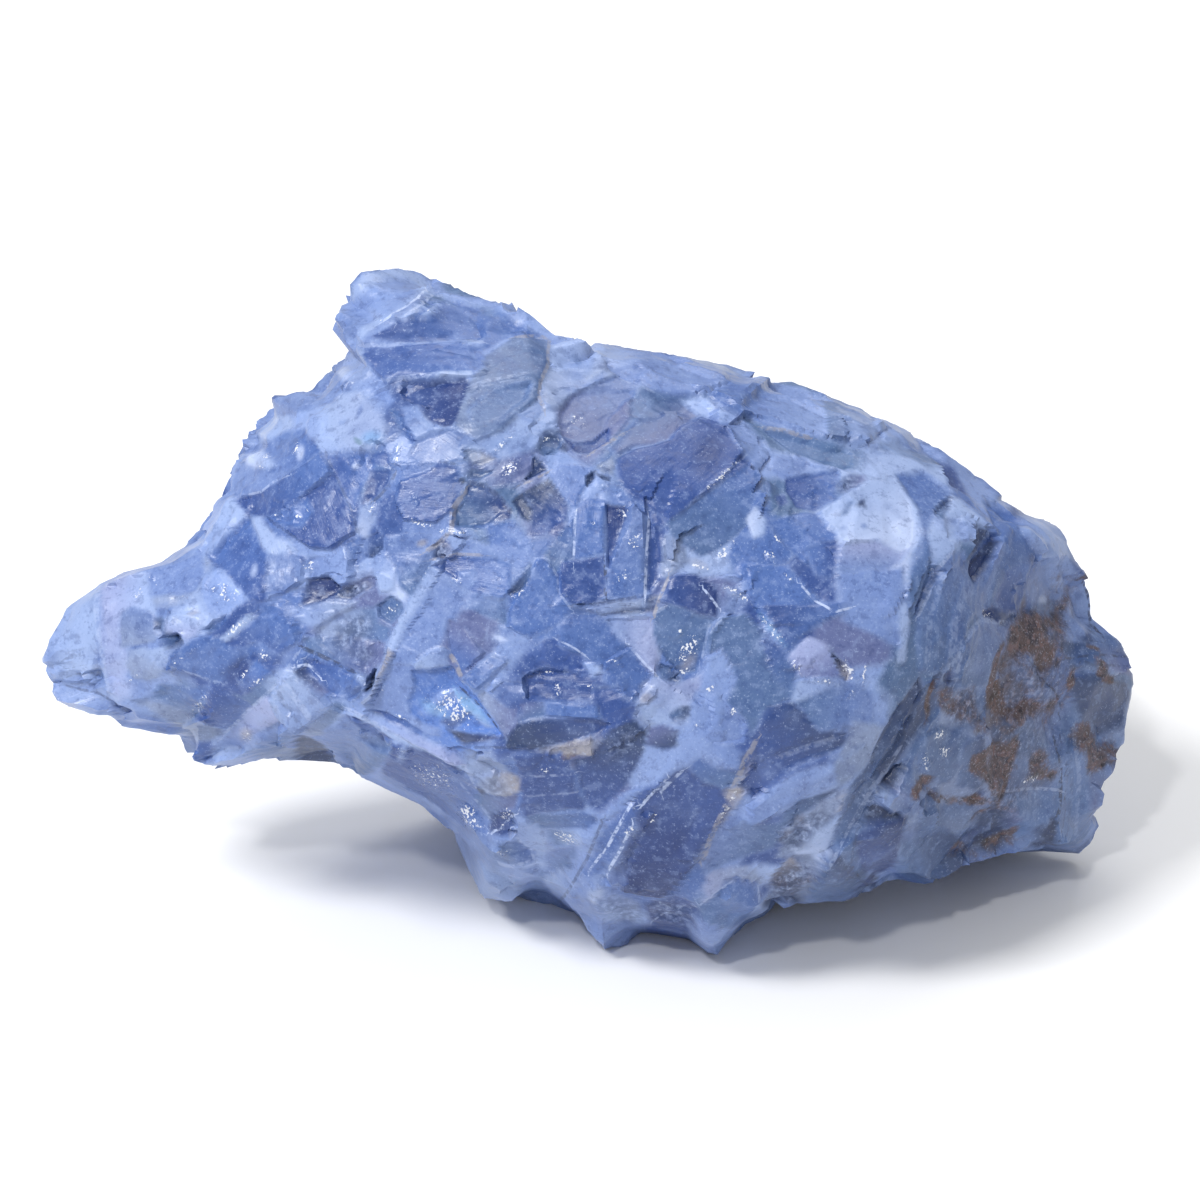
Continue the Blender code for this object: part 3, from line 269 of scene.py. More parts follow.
# Facets of the front: tone, tone at the far end, heading of that change in degrees, softness of the
# edge, lift, corners (across, up, across, up and so on)
PATCHES = {
    "ear dome": ("pale", "pale", 0, 0.6, 0.0, [-28.1, 35.1, -27.0, 37.7, -24.8, 40.6, -21.5, 41.1,
        -18.2, 40.8, -16.8, 38.3, -18.0, 38.1, -22.5, 35.3, -25.2, 32.8, -28.2, 33.8]),
    "ear dome heart": ("soft", "sky", 200, 1.2, 0.1, [-25.4, 37.9, -23.9, 39.1, -21.3, 40.1,
        -19.0, 39.2, -18.3, 38.4, -22.5, 35.6, -24.8, 36.9]),
    "ear left cheek": ("soft", "sky", 40, 0.8, -0.1, [-28.1, 35.1, -27.0, 37.5, -25.4, 37.9,
        -23.3, 35.7, -25.2, 34.4, -25.3, 33.1, -28.0, 33.9]),
    "ear bevel": ("sky", "soft", 30, 0.25, 0.15, [-22.5, 35.4, -18.1, 38.2, -17.0, 38.1, -25.1, 33.1]),
    "ear bevel shade": ("blue", "soft", 30, 0.2, -0.3, [-19.4, 35.9, -17.2, 37.8, -16.5, 37.7,
        -18.6, 35.9, -19.4, 35.6]),
    "ear step": ("pale", "sky", 30, 0.3, 0.1, [-18.9, 35.6, -16.4, 37.5, -16.2, 36.9, -17.0, 36.2]),
    "ear right slope": ("blue", "blue", 0, 0.5, -0.1, [-16.0, 37.8, -14.5, 37.7, -9.4, 35.9,
        -4.4, 33.5, -8.4, 33.5, -11.1, 32.3, -12.1, 33.6, -12.5, 35.7]),
    "ear front": ("deep", "blue", 20, 0.3, -0.2, [-23.8, 33.4, -20.7, 35.6, -19.0, 35.6, -17.0, 36.2,
        -16.1, 37.5, -11.7, 35.8, -11.2, 34.0, -11.7, 33.5, -20.3, 33.0]),
    "ear right streak": ("steel", "blue", 0, 0.6, 0.0, [-11.8, 36.4, -10.4, 36.7, -7.9, 35.7,
        -8.6, 35.4, -11.1, 35.9]),
    "crest light": ("sky", "sky", 0, 0.6, 0.0, [-17.0, 38.3, -15.8, 38.5, -8.4, 37.3, -3.1, 33.4,
        -4.5, 33.6, -9.4, 36.3]),
    "top bump": ("soft", "sky", 120, 0.5, 0.1, [-18.6, 40.8, -17.0, 40.4, -15.8, 39.4, -15.5, 38.4,
        -17.0, 38.3]),
    "brow band": ("deep", "blue", 0, 0.3, 0.2, [-24.6, 32.1, -18.6, 32.8, -12.5, 32.8, -12.2, 29.7,
        -22.5, 28.9, -24.6, 31.2]),
    "brow band end": ("blue", "blue", 0, 0.25, 0.0, [-12.4, 32.5, -11.4, 32.6, -11.2, 30.8, -12.2, 29.7]),
    "step pale": ("pale", "pale", 0, 0.2, 0.1, [-17.0, 29.5, -12.7, 29.8, -12.7, 29.1, -15.8, 29.1]),
    "window fade": ("navy", "navy", 0, 0.5, -0.1, [-22.5, 28.7, -20.3, 29.1, -19.9, 26.3]),
    "dark window": ("navy", "navy", 180, 0.25, -0.35, [-20.3, 29.0, -13.1, 29.0, -12.9, 28.3,
        -14.7, 24.2, -15.8, 23.8, -17.9, 24.9, -17.6, 26.0, -20.1, 26.6, -20.6, 27.5]),
    "beige slab": ("grey", "steel", 0, 0.25, 0.15, [-11.3, 31.6, -8.0, 33.5, -4.3, 33.2, -4.3, 30.4,
        -4.9, 29.3, -5.5, 26.7, -9.6, 23.4, -12.1, 22.1, -14.1, 23.4, -14.6, 24.2, -12.9, 28.7,
        -11.3, 30.4]),
    "slab dusk": ("steel", "grey", 270, 1.5, 0.0, [-10.4, 27.9, -5.9, 28.7, -6.6, 26.7, -9.4, 24.4,
        -12.5, 23.4, -13.1, 25.4]),
    "crest veil": ("pale", "sky", 0, 0.8, 0.0, [-4.1, 33.1, 2.0, 32.6, 2.0, 29.5, -1.4, 30.1,
        -3.5, 29.7, -4.1, 30.4]),
    "crest shade": ("soft", "steel", 300, 0.6, -0.1, [-2.9, 32.8, -1.4, 32.4, -0.4, 30.8, -1.0, 30.6]),
    "upper mist": ("mist", "soft", 0, 0.5, 0.1, [-3.5, 29.7, -1.4, 30.1, 2.0, 29.7, 2.0, 29.0,
        -1.6, 27.2, -2.9, 25.6, -4.7, 25.6, -5.1, 27.1, -4.7, 28.7]),
    "purple patch": ("mauve", "soft", 60, 0.25, -0.25, [-3.2, 24.0, -3.0, 25.4, -1.6, 27.1, 0.0, 28.1,
        4.7, 30.4, 5.9, 28.7, 5.1, 27.1, 2.6, 25.0, 2.0, 23.4, 0.4, 22.3, -1.0, 22.1, -2.7, 22.7]),
    "purple foot": ("navy", "deep", 0, 0.3, -0.2, [-2.8, 22.7, -1.0, 22.1, 0.6, 22.3, 2.6, 23.8,
        2.6, 22.2, 0.6, 21.0, -1.0, 21.0]),
    "slate grain": ("slate", "steel", 290, 0.2, -0.3, [-4.8, 23.2, -3.0, 22.8, -2.6, 22.2, -3.5, 20.7,
        -4.9, 20.6, -5.5, 21.5]),
    "pale field": ("sky", "pale", 100, 0.8, 0.0, [-12.7, 22.2, -9.6, 23.3, -5.3, 26.3, -3.3, 25.4,
        -3.4, 23.4, -4.7, 23.3, -5.5, 21.6, -7.4, 20.7, -9.6, 20.1]),
    "pale field facet": ("sky", "sky", 0, 0.3, 0.1, [-7.8, 25.0, -5.3, 26.3, -4.7, 25.4, -5.9, 24.2,
        -7.2, 24.4]),
    "notch slope": ("mist", "sky", 300, 0.6, 0.0, [-28.4, 29.7, -27.6, 31.0, -26.0, 32.0, -24.7, 32.2,
        -24.6, 31.1, -21.1, 26.7, -21.9, 26.1]),
    "notch facet": ("white", "pale", 0, 0.5, 0.1, [-27.6, 29.7, -25.8, 31.0, -25.2, 30.8, -25.8, 29.5,
        -27.0, 28.7]),
    "white cloud": ("white", "pale", 180, 1.6, 0.1, [-27.8, 27.2, -25.4, 27.5, -23.5, 26.2,
        -22.1, 23.8, -22.3, 22.5, -23.9, 21.3, -26.4, 21.2, -29.9, 23.4, -29.9, 25.4]),
    "cloud fringe": ("pale", "sky", 180, 1.6, 0.0, [-32.9, 25.4, -30.9, 26.3, -28.9, 25.6, -28.9, 23.4,
        -27.6, 22.2, -30.9, 22.2, -32.9, 23.4]),
    "cheek top facet": ("soft", "sky", 200, 0.4, 0.1, [-30.4, 27.5, -29.5, 29.0, -28.7, 29.3,
        -25.8, 27.7, -27.6, 27.4, -27.9, 26.2, -29.9, 25.9]),
    "steel lens": ("steel", "blue", 0, 0.25, -0.3, [-21.9, 25.7, -20.9, 25.4, -18.9, 22.3, -19.4, 22.1,
        -20.9, 23.8]),
    "pale upright": ("sky", "pale", 0, 0.6, 0.1, [-20.6, 25.9, -18.6, 26.0, -17.0, 24.1, -15.8, 23.7,
        -17.4, 22.2, -18.9, 22.3, -20.0, 24.0]),
    "milky middle": ("soft", "soft", 250, 1.0, 0.0, [-18.9, 22.3, -17.0, 23.4, -14.5, 23.7,
        -12.1, 22.1, -13.7, 21.3, -13.3, 20.1, -16.0, 19.5, -18.6, 19.6, -19.9, 20.5]),
    "warm grey chip": ("grey", "tan", 0, 0.5, -0.1, [-13.8, 21.4, -11.7, 21.1, -9.9, 20.1, -11.7, 19.3,
        -13.3, 20.1]),
    "slate chip": ("slate", "steel", 0, 0.25, -0.2, [-12.7, 19.3, -10.2, 18.7, -11.6, 18.0, -13.1, 18.2]),
    "cheek brow": ("sky", "soft", 270, 0.5, 0.0, [-35.4, 24.6, -34.2, 26.9, -30.5, 27.8, -30.0, 25.8]),
    "cheek edge pale": ("sky", "pale", 60, 0.6, 0.0, [-38.0, 22.8, -35.2, 24.8, -32.8, 24.9,
        -32.2, 23.8, -37.6, 20.8, -39.9, 16.3]),
    "cheek facet": ("soft", "blue", 20, 0.25, -0.2, [-37.6, 20.6, -36.0, 21.7, -31.2, 23.6,
        -29.3, 21.0, -31.0, 19.6, -33.2, 18.5, -34.4, 19.0, -34.2, 19.6, -35.2, 20.6]),
    "cheek white crush": ("white", "pale", 0, 0.7, 0.1, [-37.6, 20.4, -36.0, 21.1, -34.2, 19.5,
        -35.2, 19.0, -36.6, 19.1, -37.5, 19.4]),
    "cheek low left": ("soft", "soft", 290, 0.35, 0.0, [-38.9, 18.2, -38.4, 19.6, -37.5, 19.0,
        -33.2, 18.4, -36.0, 16.5, -38.8, 15.8, -39.3, 16.7]),
    "cheek bar": ("deep", "blue", 30, 0.25, 0.1, [-38.8, 15.8, -36.0, 16.4, -29.1, 20.8, -27.9, 18.6,
        -32.8, 14.7, -35.8, 13.5, -38.2, 14.6]),
    "cheek bar foot": ("deep", "deep", 0, 0.3, -0.1, [-38.7, 15.7, -36.0, 16.4, -35.2, 14.7,
        -35.8, 13.5, -38.1, 14.6]),
    "left block": ("deep", "deep", 235, 0.3, 0.3, [-30.8, 15.9, -27.9, 18.3, -25.2, 12.1, -28.1, 10.3,
        -30.3, 10.2, -35.4, 13.5]),
    "left block dusk": ("blue", "blue", 0, 0.8, 0.0, [-35.4, 13.5, -30.8, 15.9, -30.1, 14.3,
        -31.3, 12.5, -33.2, 12.5]),
    "right facet": ("deep", "blue", 0, 0.5, -0.1, [-28.5, 20.6, -26.5, 20.4, -24.1, 21.0, -23.3, 19.4,
        -25.1, 16.6, -25.7, 14.7, -26.5, 15.4]),
    "wedge": ("navy", "navy", 90, 0.25, -0.1, [-23.9, 19.0, -21.7, 19.0, -21.9, 17.4, -22.9, 16.2,
        -24.9, 15.0]),
    "wedge cap": ("deep", "deep", 0, 0.3, -0.1, [-24.1, 20.8, -22.5, 21.0, -21.6, 20.6, -21.9, 19.4,
        -24.2, 19.8]),
    "white veil": ("pale", "white", 270, 0.6, 0.1, [-25.0, 14.9, -23.1, 15.5, -23.3, 13.5, -24.1, 11.5,
        -24.9, 11.1, -25.4, 12.3]),
    "dark diamond": ("deep", "slate", 300, 0.25, -0.2, [-23.6, 12.9, -22.4, 11.5, -22.4, 10.3,
        -23.5, 9.3, -24.5, 9.5]),
    "middle block": ("deep", "deep", 0, 0.35, 0.2, [-20.6, 17.6, -17.4, 19.0, -16.2, 20.0, -14.2, 19.4,
        -13.5, 17.0, -15.0, 14.3, -16.6, 13.1, -20.2, 13.5, -21.2, 15.4]),
    "middle block left": ("deep", "deep", 270, 0.35, 0.0, [-22.9, 15.5, -21.2, 16.6, -20.2, 14.3,
        -20.2, 11.9, -22.3, 11.5, -23.3, 12.9]),
    "middle foot": ("soft", "soft", 0, 0.6, 0.0, [-22.1, 11.5, -20.2, 12.1, -17.2, 11.9, -17.0, 10.3,
        -22.3, 9.5]),
    "green window": ("teal", "blue", 270, 0.35, -0.2, [-13.5, 17.0, -13.1, 17.7, -11.5, 17.1,
        -9.9, 15.7, -9.1, 14.3, -11.5, 12.5, -14.7, 12.7, -14.7, 14.7]),
    "edge strip": ("sky", "pale", 60, 0.5, 0.1, [-44.1, 10.3, -42.1, 12.0, -39.3, 16.2, -37.7, 13.7,
        -42.1, 9.5, -43.3, 9.3]),
    "blue slope": ("blue", "deep", 300, 0.3, 0.0, [-42.1, 9.3, -37.7, 13.7, -36.8, 13.5, -35.4, 9.9,
        -31.2, 9.3, -31.2, 7.5, -32.0, 6.0, -35.2, 4.4, -37.4, 4.6, -40.0, 7.5]),
    "slope white vein": ("pale", "pale", 200, 0.9, 0.1, [-37.4, 13.5, -36.0, 13.7, -34.4, 11.5,
        -32.8, 11.1, -32.0, 9.9, -34.8, 9.3, -36.0, 10.5]),
    "bright patch": ("sky", "sky", 250, 1.0, 0.1, [-42.5, 7.0, -40.9, 7.9, -37.4, 4.8, -39.9, 2.8,
        -41.9, 3.0, -42.7, 5.6]),
    "light chunk": ("soft", "soft", 300, 0.6, 0.1, [-35.4, 9.3, -32.8, 10.1, -31.2, 8.5, -31.2, 6.6,
        -35.2, 4.4]),
    "foot block": ("soft", "sky", 20, 0.3, 0.1, [-31.0, 9.3, -28.5, 9.5, -26.7, 10.7, -25.7, 8.3,
        -25.7, 6.8, -27.1, 6.2, -28.7, 7.3, -30.8, 7.1]),
    "foot side": ("blue", "soft", 0, 0.4, -0.1, [-26.5, 10.7, -24.9, 11.7, -24.1, 11.1, -24.1, 9.5,
        -25.5, 8.3]),
    "dark spot": ("navy", "navy", 0, 0.3, -0.4, [-30.9, 7.0, -28.7, 7.3, -27.3, 6.2, -27.7, 5.2,
        -30.0, 3.8, -31.7, 3.6, -30.9, 5.6]),
    "small lens": ("soft", "blue", 20, 0.35, 0.0, [-35.4, 4.2, -34.0, 5.4, -31.2, 5.6, -31.4, 4.2,
        -33.2, 3.4]),
    "crush strip": ("slate", "mauve", 20, 0.5, -0.2, [-27.7, 5.6, -24.1, 7.3, -23.1, 7.0, -23.5, 6.0,
        -26.1, 4.6, -27.7, 4.8]),
    "white chunk": ("pale", "sky", 90, 0.5, 0.2, [-23.4, 9.3, -21.9, 9.9, -21.0, 7.9, -21.2, 5.6,
        -22.9, 5.4, -23.5, 7.5]),
    "soft facet": ("soft", "steel", 300, 0.5, 0.1, [-21.4, 9.5, -17.2, 10.1, -17.0, 8.5, -19.4, 5.0,
        -20.6, 6.0]),
    "dark cluster": ("steel", "steel", 0, 0.4, -0.3, [-23.4, 4.0, -21.7, 5.2, -20.4, 4.4, -20.2, 3.2,
        -21.6, 2.0, -23.1, 2.8]),
    "crushed zone": ("steel", "mist", 180, 0.8, -0.2, [-30.1, 1.6, -27.1, 3.6, -23.3, 3.8, -23.0, 2.2,
        -21.6, 1.6, -22.1, -0.3, -24.2, -2.7, -27.1, -2.3, -29.7, -0.3]),
    "pale sill": ("sky", "mist", 0, 0.8, 0.1, [-33.2, 3.4, -28.9, 4.4, -25.3, 4.4, -26.9, 3.0,
        -30.0, 1.6, -31.6, 2.0]),
    "window of green": ("teal", "navy", 30, 0.3, -0.2, [-13.3, 17.1, -12.7, 17.7, -11.2, 17.3,
        -9.8, 16.3, -8.3, 14.5, -8.4, 13.4, -11.2, 12.8, -14.7, 12.6, -14.7, 14.6, -13.8, 15.5]),
    "mauve wedge": ("slate", "deep", 300, 0.35, 0.0, [-7.1, 16.5, -4.1, 18.3, -1.8, 15.0, -2.2, 13.6,
        -4.6, 11.8, -5.9, 11.8, -6.2, 13.4, -5.9, 14.6]),
    "wedge dusk": ("slate", "slate", 60, 0.4, -0.2, [-8.2, 15.5, -7.1, 16.5, -5.9, 14.6, -6.2, 13.2,
        -7.1, 13.6]),
    "dark chip upper": ("slate", "slate", 0, 0.25, -0.3, [-6.0, 20.9, -4.4, 19.1, -7.4, 17.5, -6.1, 19.1]),
    "pale nook": ("soft", "blue", 270, 0.4, 0.1, [-4.1, 18.5, -3.0, 19.7, -1.0, 19.8, 0.7, 19.3,
        -1.0, 15.0, -1.8, 15.0]),
    "nook chip a": ("slate", "slate", 0, 0.2, -0.25, [-0.2, 18.3, 1.0, 18.9, 0.9, 18.1, 0.0, 17.0]),
    "nook chip b": ("slate", "slate", 0, 0.2, -0.2, [1.0, 18.5, 2.7, 18.3, 2.9, 17.7, 1.7, 17.9]),
    "nook lens": ("grey", "mist", 0, 0.4, 0.1, [1.0, 19.5, 2.7, 20.4, 3.3, 19.3, 2.9, 18.3, 1.5, 18.7]),
    "block left flank": ("blue", "steel", 240, 0.5, 0.0, [-4.6, 9.7, -1.2, 14.4, -1.4, 9.1, -2.6, 8.9,
        -3.3, 7.2]),
    "block panel left": ("blue", "blue", 250, 0.3, 0.1, [-1.2, 14.4, -1.0, 15.0, 0.2, 15.9, 2.1, 15.6,
        2.1, 9.7, -1.4, 9.1]),
    "block deep strip": ("navy", "deep", 250, 0.25, -0.3, [2.1, 15.2, 4.4, 15.0, 5.0, 13.8, 2.3, 7.6]),
    "block panel right": ("blue", "soft", 60, 0.25, 0.2, [4.4, 14.2, 5.2, 15.4, 6.8, 13.6, 6.6, 5.4,
        2.5, 4.8, 2.4, 7.6]),
    "block low left": ("deep", "deep", 120, 0.3, 0.1, [-2.6, 8.9, 2.1, 9.5, 2.1, 5.2, 0.7, 4.2,
        -1.6, 4.2, -2.8, 5.4, -3.0, 7.2]),
    "block side": ("deep", "deep", 0, 0.3, -0.2, [6.8, 13.4, 8.7, 12.1, 8.0, 6.8, 7.0, 5.4, 6.6, 5.6]),
    "pale triangle": ("mist", "grey", 0, 0.3, 0.1, [8.6, 12.1, 9.9, 11.7, 10.9, 10.5, 11.3, 8.9,
        8.9, 6.8, 8.2, 7.6]),
    "block sill bar": ("soft", "mist", 0, 0.3, 0.2, [-1.6, 3.8, 6.4, 4.8, 6.4, 4.0, 2.1, 3.1]),
    "left field upper": ("deep", "blue", 0, 0.5, 0.0, [-17.0, 8.5, -14.5, 9.7, -8.5, 8.9, -8.3, 5.8,
        -9.6, 4.4, -13.3, 5.8]),
    "crush spot": ("slate", "mauve", 0, 0.4, -0.2, [-17.0, 10.9, -15.3, 11.2, -14.7, 10.1, -16.1, 9.1,
        -17.0, 9.3]),
    "sky patch": ("blue", "soft", 300, 0.7, 0.0, [-11.2, 12.8, -8.0, 13.4, -6.3, 11.3, -5.9, 9.7,
        -7.5, 8.0, -10.6, 10.1]),
    "rounded grain upper": ("blue", "blue", 60, 0.3, 0.2, [-5.3, 9.3, -4.2, 9.1, -3.0, 7.0, -3.0, 5.4,
        -1.8, 3.8, -2.6, 2.3, -6.3, 0.3, -8.8, 1.5, -8.5, 3.5]),
    "rounded grain edge facet": ("steel", "slate", 240, 0.3, -0.1, [-5.9, 9.1, -8.4, 5.8, -8.6, 5.0,
        -7.1, 5.6, -5.9, 7.6]),
    "left field facet": ("soft", "steel", 300, 0.4, 0.0, [-12.9, 5.6, -8.7, 4.8, -8.7, 1.7, -13.6, 4.0]),
    "small pale round": ("soft", "soft", 0, 0.4, 0.1, [-14.1, 7.8, -12.3, 8.0, -12.0, 6.6, -13.2, 5.8,
        -14.3, 6.4]),
    "pale wedge": ("sky", "mist", 300, 0.35, 0.1, [1.9, 2.5, 7.2, 3.1, 8.2, -1.0, 8.0, -2.6, 7.0, -2.6,
        3.5, 0.5]),
    "blue lens": ("deep", "deep", 200, 0.4, 0.0, [-5.1, 0.1, -3.4, 0.5, -0.1, -1.4, -0.3, -3.0,
        -3.0, -3.4, -5.1, -2.2]),
    "white chip": ("sky", "pale", 0, 0.4, 0.2, [-0.4, -2.2, 1.7, -2.2, 1.9, -3.4, 0.7, -3.8]),
    "lower right blue": ("blue", "soft", 60, 0.4, 0.0, [2.1, -2.0, 4.8, -0.5, 7.2, -3.0, 7.2, -4.8,
        5.8, -6.3, 3.1, -5.5, 1.9, -4.2]),
    "dark mouth": ("deep", "deep", 0, 0.4, -0.3, [-7.1, -3.8, -5.1, -3.0, -1.8, -3.2, 1.1, -4.2,
        0.3, -6.3, -2.2, -6.7, -6.7, -6.3]),
    "purple flank": ("mauve", "blue", 240, 0.5, 0.0, [-15.3, 2.5, -13.6, 1.7, -11.2, -1.2, -13.8, -3.6,
        -15.1, -1.4, -15.5, 1.1]),
    "pale strip": ("sky", "mist", 40, 0.3, 0.3, [-13.9, -4.0, -10.6, -1.2, -8.5, -2.0, -12.4, -5.5]),
    "pale block": ("sky", "pale", 0, 0.4, 0.1, [-17.8, -1.0, -16.1, -0.5, -15.3, -1.4, -15.3, -3.0,
        -17.8, -3.0]),
    "deep facet upper": ("deep", "navy", 0, 0.3, 0.2, [8.0, 4.4, 9.1, 6.8, 9.9, 7.4, 12.1, 7.6,
        14.2, 6.2, 14.8, 4.8, 14.5, 2.7]),
    "crest left mist": ("sky", "mist", 300, 0.6, 0.0, [-0.1, 32.6, 1.1, 32.3, 2.4, 30.1, 0.3, 28.6,
        -0.9, 29.6]),
    "crest slab middle": ("soft", "soft", 300, 0.5, 0.1, [2.4, 30.0, 1.6, 31.7, 0.7, 32.5, 10.6, 31.3,
        15.5, 29.6, 15.5, 28.2, 12.2, 27.1, 10.2, 26.9, 7.1, 27.8]),
    "crest slab right": ("blue", "sky", 350, 0.4, 0.1, [15.5, 28.2, 15.5, 29.5, 24.5, 27.6, 26.4, 26.0,
        26.8, 22.2, 19.8, 23.7, 14.7, 26.1, 13.5, 27.1]),
    "crest end": ("steel", "soft", 0, 0.35, -0.1, [26.4, 26.1, 30.6, 25.4, 32.4, 24.4, 32.4, 21.0,
        26.8, 22.2]),
    "crest sill": ("teal", "steel", 180, 0.4, -0.3, [19.4, 23.5, 26.8, 22.2, 29.4, 20.6, 29.4, 19.4,
        28.4, 18.9, 22.5, 21.0]),
    "sill veil": ("soft", "soft", 0, 0.6, 0.0, [20.4, 20.4, 24.5, 20.2, 24.5, 19.0, 21.6, 17.9,
        20.4, 19.0]),
    "sill lens": ("deep", "blue", 0, 0.35, -0.2, [22.0, 18.1, 27.8, 19.0, 28.2, 17.3, 27.6, 15.7,
        25.3, 14.5, 23.3, 14.9, 22.0, 16.7]),
    "oval shoulder": ("pale", "pale", 0, 1.5, 0.2, [25.9, 14.1, 28.6, 16.3, 33.1, 18.6, 33.1, 10.8,
        29.0, 10.2, 27.8, 10.6]),
    "small dark lens": ("deep", "deep", 0, 0.5, 0.0, [20.8, 16.1, 21.9, 16.3, 22.3, 15.3, 21.4, 14.9]),
    "dome beige": ("steel", "mauve", 300, 0.9, 0.0, [7.7, 26.9, 10.4, 26.7, 12.4, 25.1, 9.0, 22.2,
        5.3, 21.4, 3.4, 20.6, 2.6, 21.4]),
    "dome cap": ("pale", "sky", 300, 0.8, 0.1, [10.6, 26.5, 12.6, 27.2, 18.0, 23.9, 15.1, 23.9,
        12.6, 24.9]),
    "great dome": ("deep", "deep", 200, 0.7, 0.3, [12.4, 24.7, 15.1, 23.9, 18.0, 21.4, 15.1, 17.9,
        9.2, 13.2, 4.5, 16.5, 3.6, 18.1, 3.4, 20.2, 5.3, 21.2, 9.2, 22.2, 10.2, 23.7]),
    "dome right": ("soft", "sky", 30, 0.7, 0.1, [15.1, 23.9, 18.0, 23.7, 19.8, 22.0, 20.8, 20.2,
        20.4, 19.0, 18.8, 19.0, 16.7, 21.0]),
    "dome lower": ("blue", "steel", 250, 0.4, 0.0, [18.0, 19.8, 19.6, 18.1, 18.4, 15.3, 18.0, 13.2,
        16.3, 11.4, 14.7, 10.2, 12.6, 9.4, 9.4, 11.8, 8.6, 13.0]),
    "white flecks": ("white", "pale", 0, 0.5, 0.1, [17.7, 13.6, 18.7, 15.0, 20.0, 13.3, 19.6, 12.0,
        18.4, 11.4]),
    "right slope": ("blue", "blue", 300, 0.5, 0.0, [20.0, 13.2, 24.1, 14.3, 25.9, 14.1, 27.6, 11.6,
        27.8, 9.4, 27.0, 7.3, 24.5, 8.5, 22.5, 10.2]),
    "slope dark": ("blue", "deep", 0, 0.5, 0.0, [24.5, 10.6, 27.8, 11.2, 27.6, 8.1, 26.6, 6.9, 25.3, 7.5]),
    "blue slab": ("blue", "blue", 300, 0.35, 0.2, [17.3, 8.7, 22.1, 8.5, 27.2, 3.4, 25.9, 1.8,
        20.0, 1.8, 18.0, 4.7]),
    "oval foot": ("sky", "soft", 250, 0.6, 0.0, [27.8, 9.4, 33.1, 10.2, 33.1, 4.0, 27.8, 3.4, 27.4, 7.1]),
    "snout dome": ("sky", "pale", 0, 0.5, 0.0, [-59.9, -2.4, -59.8, 0.1, -59.2, 2.0, -56.6, 4.6,
        -53.9, 5.6, -54.1, 2.0, -53.9, -1.6, -55.8, -2.7, -58.3, -2.8]),
    "snout dome shade": ("sky", "pale", 0, 0.9, -0.1, [-59.4, -0.1, -57.9, 0.5, -56.1, 0.5,
        -55.4, -0.5, -56.9, -1.3, -58.8, -1.6]),
    "snout lip": ("pale", "pale", 0, 0.4, 0.3, [-59.1, -2.6, -54.2, -2.1, -53.7, -2.8, -55.1, -3.5,
        -57.1, -3.6, -58.3, -3.3]),
    "snout hollow": ("soft", "steel", 60, 0.4, -0.3, [-56.3, -3.9, -53.7, -3.1, -53.0, -5.5]),
    "snout jaw": ("sky", "sky", 320, 0.5, 0.1, [-60.0, -2.8, -52.9, -5.7, -51.9, -7.0, -52.2, -9.0,
        -53.4, -9.1, -57.3, -7.8, -58.6, -6.7, -57.9, -5.5, -59.4, -4.5]),
    "jaw ledge": ("sky", "pale", 0, 0.4, 0.2, [-58.6, -6.7, -57.8, -5.6, -55.6, -5.5, -52.7, -6.7,
        -54.2, -7.2]),
    "snout lilac": ("lilac", "pale", 0, 0.6, 0.0, [-53.6, 5.7, -52.3, 6.8, -50.2, 7.6, -48.6, 7.6,
        -48.4, 5.1, -47.5, 2.8, -50.2, 3.7, -51.3, 3.2, -51.6, 1.8, -51.6, -0.7, -50.6, -0.9,
        -50.9, -4.5, -49.4, -5.7, -51.7, -6.6, -52.7, -5.5, -53.3, -2.8, -53.7, 0.5]),
    "snout grain upper": ("soft", "mist", 250, 0.3, 0.1, [-51.3, 3.2, -50.2, 3.7, -48.6, 3.4,
        -47.5, 2.6, -47.3, 1.4, -47.7, -0.1, -51.6, -0.7, -51.6, 1.8]),
    "snout grain lower": ("pale", "mist", 240, 0.3, 0.1, [-50.6, -0.9, -46.5, -0.7, -46.0, -1.8,
        -46.7, -3.4, -48.1, -4.4, -50.2, -4.1, -50.9, -2.8]),
    "snout brow": ("soft", "soft", 20, 0.6, 0.0, [-48.6, 7.6, -42.3, 9.7, -42.2, 7.6, -43.4, 5.7,
        -45.2, 5.0, -48.4, 5.1]),
    "snout pale chunk": ("lilac", "pale", 90, 0.5, 0.2, [-46.7, 2.4, -45.2, 3.2, -43.6, 3.2,
        -42.3, 2.6, -42.9, 0.9, -44.4, -0.1, -45.0, 0.5, -46.5, 0.9]),
    "snout chip a": ("slate", "steel", 0, 0.2, -0.3, [-47.7, 2.4, -46.9, 2.6, -46.7, 1.5, -47.5, 1.1]),
    "snout chip b": ("steel", "slate", 0, 0.25, -0.5, [-46.9, 0.5, -45.4, 0.9, -44.9, 0.4, -45.7, -0.3,
        -46.7, -0.5]),
    "chest gap": ("steel", "blue", 0, 0.25, -0.4, [-42.6, 1.1, -41.5, 2.2, -40.0, 2.9, -39.8, 2.4,
        -40.6, 1.7, -41.7, 1.0]),
    "chest white vein": ("pale", "pale", 0, 0.4, 0.1, [-40.8, 0.2, -37.3, 3.0, -36.3, 2.6, -39.8, -0.1]),
    "chest upper band": ("deep", "blue", 60, 0.3, 0.1, [-40.2, -0.5, -36.1, 2.4, -34.2, 3.1,
        -31.5, 1.6, -32.1, -0.1, -33.6, -1.6, -36.1, -0.1, -36.7, -0.7]),
    "chest first band": ("blue", "blue", 150, 0.3, 0.2, [-46.7, -3.6, -45.7, -1.3, -42.7, 0.6,
